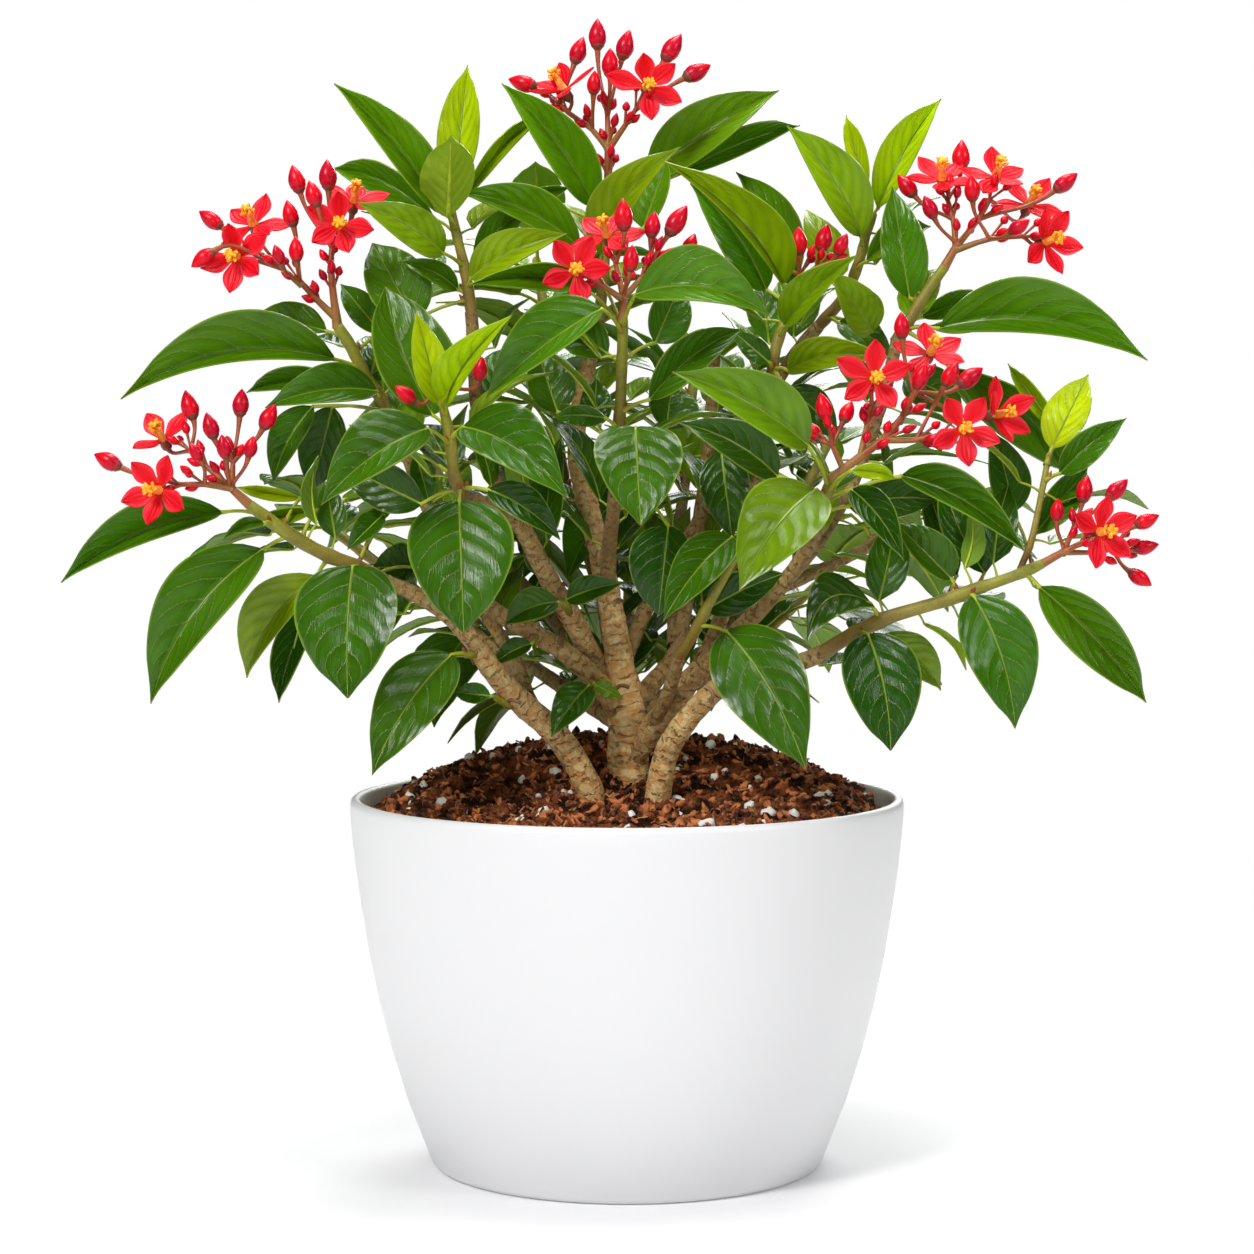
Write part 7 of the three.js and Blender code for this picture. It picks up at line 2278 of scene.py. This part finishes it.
@dataclass
class FlowerHead:
    """A head of flowers and buds on branched stalks."""

    name: str
    plan: Plan
    rows: int = 10
    columns: int = 8
    thick: float = 0.4
    cup: float = 0.75
    slim: float = 0.78
    sprig_buds: int = 3
    anthers: list[tuple[Array, Array]] = field(default_factory=list)

    def build(self) -> list[bpy.types.Object]:
        """The head's pieces.

        Returns:
            The head and its anthers.
        """
        skin = Skin()
        cluster = self.plan.heads[self.name]
        for stalk in cluster.stalks:
            points, radii = finer(stalk, 4.0, 1.0)
            radii = [r * lerp(1.0, self.slim, min(i / 3, 1)) for i, r in enumerate(radii)]
            kinds = [(i / len(points), 0, 0) for i in range(len(points))]
            skin.tube(points, radii, Looks.STALK, sides=9, kinds=kinds)
        for i, bloom in enumerate(cluster.blooms):
            self._flower(skin, bloom, i)
        for base, tip, foot in cluster.buds:
            self._bud(skin, base, tip, foot)
        ends = [pair for stalk in cluster.stalks for pair in zip(stalk.points, stalk.points[1:])]
        for i, (before, joint) in enumerate(ends):
            self._sprig(skin, joint, unit(joint - before), i)
        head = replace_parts(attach(skin.piece(self.name), "root"), self.name)
        return [head, self._anther_piece()] if self.anthers else [head]

    def _pedicel(self, skin: Skin, foot: Array, base: Array, way: Array) -> None:
        """A flower's own stalk, in one curve into its axis.

        Args:
            skin: What it goes into.
            foot: Where it begins.
            base: Where the flower begins.
            way: The way the flower faces.
        """
        length = float(np.linalg.norm(base - foot))
        lead, bend = lerp(foot, base, 0.4), base - way * length * 0.42
        points, radii = [], []
        for t in np.linspace(0, 1, 9):
            rest = 1 - t
            begun = foot * rest ** 3 + lead * 3 * rest ** 2 * t
            points.append(begun + bend * 3 * rest * t ** 2 + base * t ** 3)
            radii.append(0.62 + 0.3 * rest ** 4 + 0.5 * t ** 6)
        skin.tube(points, radii, Looks.STALK, sides=8, kinds=[(0.7, 0, 0)] * len(points), ends=False)

    def _sprig(self, skin: Skin, joint: Array, along: Array, number: int) -> None:
        """A few unopened buds on short thin stalks, where the stalks branch.

        Args:
            skin: What it goes into.
            joint: Where the stalks branch.
            along: The way the stalk runs there.
            number: The number of the joint.
        """
        east = unit(np.cross(along, vec(0.3, 0.9, 0.2)))
        north = np.cross(along, east)
        for k in range(self.sprig_buds):
            turn = number * GOLDEN_TURN + k * 2.1
            way = unit(along + (east * math.cos(turn) + north * math.sin(turn)) * 0.6 + UP * 0.2)
            base = joint + way * (5.0 + 2.5 * math.sin(number * 1.7 + k * 1.3))
            tip = base + way * (4.6 + 1.2 * math.sin(number * 2.3 + k * 2))
            line = [joint, lerp(joint, base, 0.5), base]
            skin.tube(line, [0.5, 0.4, 0.55], Looks.STALK, sides=6, kinds=[(0.8, 0, 0)] * 3, ends=False)
            self._spindle(skin, base, tip, 1.2)

    def _flower(self, skin: Skin, bloom: Bloom, number: int) -> None:
        """An open flower with its calyx, petals and column.

        Args:
            skin: What it goes into.
            bloom: The form of the flower.
            number: Its number.
        """
        back = bloom.centre - bloom.axis * CALYX_LENGTH
        self._pedicel(skin, bloom.foot, back, bloom.axis)
        heights = [0.0, 1.0, 2.2, 3.4, 4.4, 5.0]
        wide = [1.2, 1.9, 1.95, 1.8, 1.9, 1.7]
        skin.tube([back + bloom.axis * h for h in heights], wide, Looks.CALYX, sides=12)
        for i, reach in enumerate(bloom.petals):
            self._petal(skin, bloom, reach, number * 5 + i)
        top = bloom.centre + bloom.axis * (COLUMN_LENGTH - 2.4)
        line = [lerp(bloom.centre, top, t) for t in (0, 0.25, 0.5, 0.75, 1)]
        skin.tube(line, [1.8, 1.5, 1.35, 1.2, 1.0], Looks.COLUMN, sides=10)
        east, north = square_to(bloom.axis)
        for k in range(10):
            turn = k * GOLDEN_TURN + number
            inner = k >= 5
            out = east * math.cos(turn) + north * math.sin(turn)
            start = top - bloom.axis * (0.4 if inner else 1.8)
            knee = start + unit(bloom.axis + out * (0.25 if inner else 0.7)) * 1.8
            end = knee + unit(bloom.axis * (1.2 if inner else 0.7) + out * 0.8) * 1.0
            skin.tube([start, knee, end], [0.34, 0.26, 0.24], Looks.COLUMN, sides=5)
            aim = bloom.axis * (0.3 if inner else 0.9) + out * (1 if inner else 0.5)
            self.anthers.append((end, unit(aim)))

    def _petal(self, skin: Skin, bloom: Bloom, reach: Array, number: int) -> None:
        """A petal: a narrow claw that widens to a blunt, slightly reflexed blade.

        Args:
            skin: What it goes into.
            bloom: The flower.
            reach: From the flower's centre to the petal's tip.
            number: Its number.
        """
        along = unit(reach)
        length = float(np.linalg.norm(reach))
        across = unit(np.cross(bloom.axis, along))
        over = np.cross(along, across)
        v = np.linspace(0.05, 1, self.rows + 1)[:, None]
        u = np.linspace(-1, 1, self.columns + 1)[None, :]
        fall = np.clip((v - 0.5) / 0.5, 0, 1)
        shape = (0.2 + 0.82 * smooth(0.0, 0.6, v)) * np.maximum(1 - fall ** 2.3, 0.02)
        half = PETAL_HALF * shape
        bend = -1.5 * np.sin(math.pi * v * 0.9) * 0.6 + 0.9 * np.sin(number * 2.3) * v ** 3
        lift = bend + self.cup * (u ** 2) * shape + 0.22 * np.sin(u * 7 + number) * v
        flat = bloom.centre + along * (v * length)[..., None] + across * (u * half)[..., None]
        net = flat + over * lift[..., None]
        normal, faces_up = faced(net, bloom.axis)
        spot = np.stack(np.broadcast_arrays(u, v, u * half), axis=2)
        for offset, flip in ((self.thick / 2, faces_up), (-self.thick / 2, not faces_up)):
            skin.grid(net + normal * offset, Looks.PETAL, flip=flip, spot=spot)

    def _bud(self, skin: Skin, base: Array, tip: Array, foot: Array) -> None:
        """A closed bud: a pointed spindle in a short calyx.

        Args:
            skin: What it goes into.
            base: Its lower end.
            tip: Its point.
            foot: Where its stalk begins.
        """
        line = tip - base
        length = float(np.linalg.norm(line))
        way = line / length
        self._pedicel(skin, foot, base + way * 0.4, way)
        self._spindle(skin, base, tip, min(3.1, length * 0.26))

    def _spindle(self, skin: Skin, base: Array, tip: Array, half: float) -> None:
        """A bud's body and calyx.

        Args:
            skin: What it goes into.
            base: Its lower end.
            tip: Its point.
            half: Its radius.
        """
        line = tip - base
        ts = np.array([0, 0.06, 0.14, 0.26, 0.4, 0.54, 0.68, 0.8, 0.9, 0.97, 1.0])
        radii = half * np.sin(math.pi * ts ** 0.86) ** 0.85 + 0.4 * (1 - ts) + 0.06
        radii[-1] = 0.05
        skin.tube([base + line * t for t in ts], list(radii), Looks.BUD, sides=12, ends=False)
        cup = [0, 0.05, 0.14, 0.24]
        radii = [half * f for f in (0.34, 0.5, 0.8, 0.86)]
        skin.tube([base + line * t for t in cup], radii, Looks.CALYX, sides=12)

    def _anther_piece(self) -> bpy.types.Object:
        """The anthers, one oval on each filament's end.

        Returns:
            The piece.
        """
        rows = [(place, way, np.cross(way, vec(0.3, 0.5, 0.8))) for place, way in self.anthers]
        obj = point_object(f"{self.name}_anthers", rows)
        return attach(Repeat.ANTHERS.value.apply(obj), "root")


# The repeats, by Geometry Nodes.

class Shape(Enum):
    """The small shapes that are strewn or set out."""

    CRUMB = "crumb"
    FIBRE = "fibre"
    OVAL = "oval"
    CRESCENT = "crescent"


@dataclass(frozen=True)
class Scatter:
    """A Geometry Nodes tree that sets a small shape on a surface, or on points that say their aim."""

    name: str
    look: Looks
    shape: Shape
    least: float
    most: float
    density: float = 0.0
    stretch: Colour = (1.0, 1.0, 1.0)
    spin: Colour = (0.0, 0.0, 3.2)
    lift: float = 0.0
    rough: float = 0.0
    grain: float = 420.0
    seed: int = 1
    detail: int = 2

    def _shape(self, w: Weaver) -> Socket:
        """The shape that is repeated, about 1 mm in size.

        Args:
            w: The weaver of the tree.

        Returns:
            The shape.
        """
        half = MILLIMETRE / 2
        if self.shape is Shape.CRUMB:
            return w.add("GeometryNodeMeshIcoSphere", {"Radius": half, "Subdivisions": self.detail})
        if self.shape is Shape.OVAL:
            return w.add("GeometryNodeMeshUVSphere", {"Segments": 8, "Rings": 6, "Radius": half})
        bent = self.shape is Shape.CRESCENT
        middle = (0, MILLIMETRE * 0.7, 0 if bent else MILLIMETRE * 0.3)
        line = w.add("GeometryNodeCurveQuadraticBezier", {
            "Resolution": 7, "Start": (-half, 0, 0), "Middle": middle, "End": (half, 0, 0)})
        profile = w.add("GeometryNodeCurvePrimitiveCircle", {
            "Resolution": 4, "Radius": MILLIMETRE * (0.12 if bent else 0.035)})
        return w.add("GeometryNodeCurveToMesh", {"Curve": line, "Profile Curve": profile})

    def tree(self) -> bpy.types.NodeTree:
        """The tree.

        Returns:
            A Geometry Nodes tree with the inputs Density, Seed, Least and Most.
        """
        found = bpy.data.node_groups.get(self.name)
        if found:
            return found
        tree = bpy.data.node_groups.new(self.name, "GeometryNodeTree")
        face = tree.interface
        face.new_socket("Geometry", in_out="INPUT", socket_type="NodeSocketGeometry")
        for label, kind in (("Density", "Float"), ("Seed", "Int"), ("Least", "Float"), ("Most", "Float")):
            face.new_socket(label, in_out="INPUT", socket_type=f"NodeSocket{kind}")
        face.new_socket("Geometry", in_out="OUTPUT", socket_type="NodeSocketGeometry")
        w = Weaver(tree)
        geometry, density, seed, least, most = list(tree.nodes.new("NodeGroupInput").outputs)[:5]
        if self.density:
            points = w.add("GeometryNodeDistributePointsOnFaces", {
                "Mesh": geometry, "Density": density, "Seed": seed})
            turn = points.node.outputs["Rotation"]
        else:
            aim = w.add("GeometryNodeInputNamedAttribute", {"Name": "aim"}, data_type="FLOAT_VECTOR")
            along = w.add("GeometryNodeInputNamedAttribute", {"Name": "along"}, data_type="FLOAT_VECTOR")
            turn = w.add("FunctionNodeAlignRotationToVector", {"Vector": aim}, axis="Z")
            turn = w.add("FunctionNodeAlignRotationToVector", {
                "Rotation": turn, "Vector": along}, axis="Y", pivot_axis="Z")
            points = geometry
        spin = w.add("FunctionNodeRandomValue", {
            0: tuple(-s for s in self.spin), 1: self.spin, "Seed": seed}, data_type="FLOAT_VECTOR")
        spin = w.add("FunctionNodeEulerToRotation", {0: spin})
        turn = w.add("FunctionNodeRotateRotation", {
            "Rotation": turn, "Rotate By": spin}, rotation_space="LOCAL")
        size = w.add("FunctionNodeRandomValue", {2: least, 3: most, "Seed": seed}, out=1, data_type="FLOAT")
        scale = w.add("VectorMath", {0: self.stretch, "Scale": size}, operation="SCALE")
        placed = w.add("GeometryNodeInstanceOnPoints", {
            "Points": points, "Instance": self._shape(w), "Rotation": turn, "Scale": scale})
        placed = w.add("GeometryNodeTranslateInstances", {
            "Instances": placed, "Translation": (0, 0, self.lift * MILLIMETRE)})
        real = w.add("GeometryNodeRealizeInstances", {"Geometry": placed})
        if self.rough:
            noise = w.add("TexNoise", {"Scale": self.grain, "Detail": 1.0}, out="Color")
            push = w.add("VectorMath", {0: noise, 1: (0.5, 0.5, 0.5)}, operation="SUBTRACT")
            push = w.add("VectorMath", {0: push, "Scale": self.rough / 1000}, operation="SCALE")
            real = w.add("GeometryNodeSetPosition", {"Geometry": real, "Offset": push})
        dressed = w.add("GeometryNodeSetMaterial", {"Geometry": real, "Material": self.look.material})
        w.put(tree.nodes.new("NodeGroupOutput").inputs[0], dressed)
        return tree

    def apply(self, obj: bpy.types.Object) -> bpy.types.Object:
        """Runs the tree on an object's mesh.

        Args:
            obj: The surface, or the points. It is taken away.

        Returns:
            A plain mesh object by the same name.
        """
        tree = self.tree()
        modifier = obj.modifiers.new(self.name, "NODES")
        modifier.node_group = tree
        inputs = {s.name: s.identifier for s in tree.interface.items_tree if s.in_out == "INPUT"}
        modifier[inputs["Density"]] = float(self.density)
        modifier[inputs["Seed"]] = self.seed
        modifier[inputs["Least"]] = self.least
        modifier[inputs["Most"]] = self.most
        bpy.context.view_layer.update()
        solved = obj.evaluated_get(bpy.context.evaluated_depsgraph_get())
        mesh = bpy.data.meshes.new_from_object(solved)
        name = obj.name
        bpy.data.objects.remove(obj)
        mesh.shade_smooth()
        return stood(name, mesh)


class Repeat(Enum):
    """Every repeat of the plant and its soil."""

    ANTHERS = Scatter(
        "anthers", Looks.ANTHER, Shape.OVAL, 1.2, 1.45, stretch=(1.0, 1.1, 2.0), spin=(0.6, 0.6, 3.1))
    SCARS = Scatter(
        "leaf_scars", Looks.SCAR, Shape.CRESCENT, 3.4, 6.4, stretch=(1, 1, 0.7), spin=(0.1, 0.1, 0.4))
    CHIPS = Scatter(
        "chips", Looks.CHIP, Shape.CRUMB, 2.0, 6.2, density=50000, stretch=(1.5, 0.62, 0.36),
        spin=(1.2, 1.2, 3.2), lift=0.3, rough=3.2, seed=3)
    CRUMBS = Scatter(
        "crumbs", Looks.SOIL, Shape.CRUMB, 1.0, 2.8, density=160000, spin=(3, 3, 3), rough=1.4,
        seed=4, detail=1)
    FIBRES = Scatter(
        "fibres", Looks.FIBRE, Shape.FIBRE, 5.0, 12.0, density=48000, spin=(0.5, 0.5, 3.2), lift=0.1,
        rough=3.4, seed=7)
    PERLITE = Scatter(
        "perlite_grains", Looks.PERLITE, Shape.CRUMB, 1.6, 5.4, density=3800, stretch=(1.2, 1, 0.8),
        spin=(3, 3, 3), lift=0.25, rough=2.4, seed=9)


@dataclass
class StandOfWood:
    """A trunk or stem with its branches: bark-covered, ringed by old leaf scars."""

    name: str
    plan: Plan
    sides: int = 18
    step: float = 2.4
    ring: float = 0.05
    knob: float = 0.07
    scar_every: float = 3.2
    barked: float = 2.9
    slim: float = 0.95

    def build(self) -> list[bpy.types.Object]:
        """The stand's pieces.

        Returns:
            The wood and its leaf scars.
        """
        skin = Skin()
        scars: list[Aimed] = []
        for number, branch in enumerate(STANDS[self.name]):
            self._branch(skin, self.plan.wood[branch], number, scars)
        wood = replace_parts(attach(skin.piece(f"bark_{self.name}"), "root"), self.name)
        return [wood, self._scar_piece(scars)]

    def _branch(self, skin: Skin, path: Path, number: int, scars: list[Aimed]) -> None:
        """One branch, its bark raised in uneven rings.

        Args:
            skin: What it goes into.
            path: Its line.
            number: Its number on the stand.
            scars: Takes up the place, aim and line of each leaf scar.
        """
        points, radii = finer(path, self.step)
        run, turn = 0.0, ring_of(self.sides)
        net = np.zeros((len(points), self.sides, 3))
        spot, kind = np.zeros_like(net), np.zeros_like(net)
        since, spin = 0.0, number * 1.9
        for i, (along, side, other) in enumerate(frames(points)):
            p = points[i]
            if i:
                apart = float(np.linalg.norm(p - points[i - 1]))
                run, since = run + apart, since + apart
            radius = radii[i] * self.slim
            old = float(smooth(2.0, 7.0, radius))
            wander = 1.3 * np.sin(turn + run * 0.05)
            wave = np.sin(run * 0.9 + number + wander) * np.sin(run * 0.37 + turn * 2)
            lump = np.sin(turn * 3 + run * 0.11 + number) * np.sin(run * 0.19 + turn)
            out = radius * (1 + self.ring * wave + self.knob * old * lump)
            net[i] = p + np.outer(np.cos(turn) * out, side) + np.outer(np.sin(turn) * out, other)
            spot[i] = np.stack([np.cos(turn), np.sin(turn), np.full(self.sides, run)], axis=1)
            kind[i] = (1 - smooth(2.2, 6.6, radius), number * 3.7, 0)
            if since > self.scar_every * (1 + 2 * (radius < 6)) and radius > self.barked:
                since, spin = 0.0, spin + GOLDEN_TURN
                way = side * math.cos(spin) + other * math.sin(spin)
                scars.append((p + way * radius * 0.97, way, along))
        skin.grid(net, Looks.BARK, closed=True, spot=spot, kind=kind)
        last = len(points) - 1
        cap = points[last] + unit(points[last] - points[last - 1]) * 0.4
        ring = np.vstack([net[last], cap[None]])
        faces = [(k, (k + 1) % self.sides, self.sides) for k in range(self.sides)]
        skin.add(ring, faces, Looks.BARK, spot=spot[last][0], kind=kind[last][0])

    def _scar_piece(self, scars: list[Aimed]) -> bpy.types.Object:
        """The leaf scars, by Geometry Nodes."""
        obj = point_object(f"scars_{self.name}", scars)
        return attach(Repeat.SCARS.value.apply(obj), "root")


def point_object(name: str, rows: list[Aimed]) -> bpy.types.Object:
    """Points that each say which way they aim and along what they lie.

    Args:
        name: The name of the object.
        rows: Place, aim and line of each point.

    Returns:
        The new object.
    """
    mesh = bpy.data.meshes.new(name)
    mesh.from_pydata([tuple(p / 1000) for p, _, _ in rows], [], [])
    for label, column in (("aim", 1), ("along", 2)):
        layer = mesh.attributes.new(label, "FLOAT_VECTOR", "POINT")
        layer.data.foreach_set("vector", np.concatenate([row[column] for row in rows]))
    return stood(name, mesh)


@dataclass
class Pot:
    """The pot: a smooth tapered bowl with a rounded lip."""

    outside: tuple[Pair, ...] = (
        (66.0, 0.0), (68.5, 0.0), (70.2, 0.7), (71.3, 2.1), (80.2, 25.3), (85.3, 41.5), (89.6, 58.3),
        (93.3, 76.4), (96.2, 95.0), (98.1, 108.5), (99.4, 120.6), (99.9, 127.5), (100.0, 131.2),
        (99.7, 132.5), (98.9, 133.3), (98.0, 133.5), (97.0, 133.3), (96.4, 132.6), (96.15, 131.4),
    )
    inside: tuple[Pair, ...] = ((95.6, 120.6), (90.9, 88.0), (85.4, 58.3), (66.0, 5.0))
    floor: float = 5.0
    hub: float = 0.01
    sides: int = 160

    def build(self) -> bpy.types.Object:
        """The pot's piece.

        Returns:
            The object that replaces the CAD pot.
        """
        skin = Skin()
        turn = ring_of(self.sides)
        rows = [(self.hub, 0.0), *self.outside, *self.inside, (self.hub, self.floor)]
        ring = np.stack([np.cos(turn), np.sin(turn), np.ones(self.sides)], axis=1)
        skin.grid(np.array([ring * (r, r, z) for r, z in rows]), Looks.POT, closed=True)
        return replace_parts(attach(skin.piece("plain_pot"), "root"), "pot")


@dataclass
class Soil:
    """The potting mix: a rough mound with bark chips, crumbs, coir and perlite."""

    radius: float = 95.7
    strewn: float = 90.5
    rings: int = 60
    sides: int = 120
    rough: float = 1.1
    hem: float = 112.0
    sunk: float = 0.4

    def _mound(self, radius: float, skirt: bool) -> Skin:
        """The mound's surface.

        Args:
            radius: How far out it goes.
            skirt: Whether its edge is drawn down into the pot.

        Returns:
            Its mesh.
        """
        skin = Skin()
        turn = ring_of(self.sides)
        rows = []
        for i in range(self.rings + 1):
            r = 0.05 + (radius - 0.05) * i / self.rings
            x, y = r * np.cos(turn), r * np.sin(turn)
            across, deep = np.sin(x * 0.9 + 2 * np.sin(y * 0.5)), np.sin(y * 0.8 + 1.7 * np.sin(x * 0.6))
            bumps = across * deep * self.rough
            rows.append(np.stack([x, y, soil_height(x, y) + bumps - self.sunk], axis=1))
        if skirt:
            rows.append(np.stack([x, y, np.full(self.sides, self.hem)], axis=1))
        skin.grid(np.array(rows), Looks.SOIL, closed=True)
        return skin

    def build(self) -> list[bpy.types.Object]:
        """The soil's pieces.

        Returns:
            The mound and what is strewn on it.
        """
        mound = self._mound(self.radius, True).piece("soil_mound")
        pieces = [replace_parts(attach(mound, "root"), "soil")]
        for repeat in (Repeat.CHIPS, Repeat.CRUMBS, Repeat.FIBRES, Repeat.PERLITE):
            bed = self._mound(self.strewn, False).piece(repeat.value.name)
            pieces.append(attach(repeat.value.apply(bed), "root"))
        return pieces


# The stage.

@dataclass(frozen=True)
class Studio:
    """A white table, a soft white surround and soft lights."""

    table: float = 3.0
    eye: Point = (0.0, -1.135, 0.26)
    pitch: float = 3.3
    lens: float = 90.3
    white: float = 1.0
    fill: float = 0.15

    def world(self) -> None:
        """White behind, and an even fill with a brighter top."""
        world = bpy.data.worlds.new("studio")
        world.use_nodes = True
        tree = world.node_tree
        tree.nodes.clear()
        w = Weaver(tree)
        _, _, up = w.parts(w.add("TexCoord", out="Generated"))
        level = w.step(up, -0.2, 0.9, self.fill * 0.6, self.fill * 1.3)
        lamp = w.add("Background", {"Color": (1, 1, 1, 1), "Strength": level})
        plain = w.add("Background", {"Color": (1, 1, 1, 1), "Strength": self.white})
        seen_by_eye = w.add("LightPath", out="Is Camera Ray")
        surface = w.add("MixShader", {0: seen_by_eye, 1: lamp, 2: plain})
        w.add("OutputWorld", {"Surface": surface})
        bpy.context.scene.world = world

    def floor(self) -> None:
        """A table that fades into the white."""
        far = self.table
        mesh = bpy.data.meshes.new("table")
        corners = [(-far, -far, 0), (far, -far, 0), (far, far, 0), (-far, far, 0)]
        mesh.from_pydata(corners, [], [(0, 1, 2, 3)])
        material = bpy.data.materials.new("table")
        material.use_nodes = True
        tree = material.node_tree
        tree.nodes.clear()
        w = Weaver(tree)
        away = w.add("VectorMath", {0: w.object_place()}, out="Value", operation="LENGTH")
        matt = w.add("BsdfDiffuse", {"Color": (0.86, 0.86, 0.87, 1)})
        plain = w.add("Emission", {"Color": (1, 1, 1, 1), "Strength": self.white})
        share = w.step(away, 0.2, 0.72, 0.1, 1.0)
        w.add("OutputMaterial", {"Surface": w.add("MixShader", {0: share, 1: matt, 2: plain})})
        mesh.materials.append(material)
        stood("table", mesh)

    @staticmethod
    def lamp(name: str, place: Point, size: float, power: float, target: Point = (0, 0, 0.22)) -> None:
        """A square soft lamp that looks at `target`.

        Args:
            name: Its name.
            place: Where it hangs, in metres.
            size: The length of its side.
            power: Its power in watts.
            target: What it looks at.
        """
        light = bpy.data.lights.new(name, "AREA")
        light.shape = "SQUARE"
        light.size = size
        light.energy = power
        obj = stood(name, light)
        way = vec(*target) - vec(*place)
        flat = math.hypot(way[0], way[1])
        obj.location = place
        obj.rotation_euler = (math.atan2(flat, -way[2]), 0, math.atan2(way[1], way[0]) - math.pi / 2)

    def camera(self) -> None:
        """The photograph's viewpoint."""
        data = bpy.data.cameras.new("camera")
        data.lens = self.lens
        data.sensor_width = 36.0
        obj = stood("camera", data)
        obj.location = self.eye
        obj.rotation_euler = (math.radians(90 - self.pitch), 0, 0)
        bpy.context.scene.camera = obj

    def build(self) -> None:
        """Sets the whole stage."""
        self.world()
        self.floor()
        self.lamp("key", (-0.8, -1.2, 1.3), 0.5, 24.0)
        self.lamp("front", (-0.15, -1.5, 0.3), 0.5, 1.8)
        self.lamp("side", (1.2, -0.9, 1.0), 0.45, 7.5)
        self.lamp("top", (0.1, 0.1, 1.6), 0.7, 20.0)
        self.lamp("back", (0.3, 1.3, 0.9), 0.9, 18.0)
        self.camera()
        scene = bpy.context.scene
        scene.view_settings.view_transform = "Standard"
        scene.view_settings.look = "None"


def main() -> None:
    """Builds the plant, its pot and the stage."""
    logging.basicConfig(level=logging.INFO, format="%(name)s: %(message)s")
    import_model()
    GROUPS["veins"] = vein_group()
    GROUPS["mottling"] = speckle_group()
    plan = Plan()
    pieces: list[bpy.types.Object] = [Pot().build(), *Soil().build()]
    for name in STANDS:
        pieces += StandOfWood(name, plan).build()
    for name in plan.leaves:
        pieces.append(LeafyShoot(name, plan).build())
    for name in plan.small:
        pieces += SmallLeaves(name, plan).build()
    for name in plan.heads:
        pieces += FlowerHead(name, plan).build()
    for piece in pieces:
        LOG.info("%s: %d points", piece.name, len(piece.data.vertices))
    Studio().build()


if __name__ == "__main__":
    main()
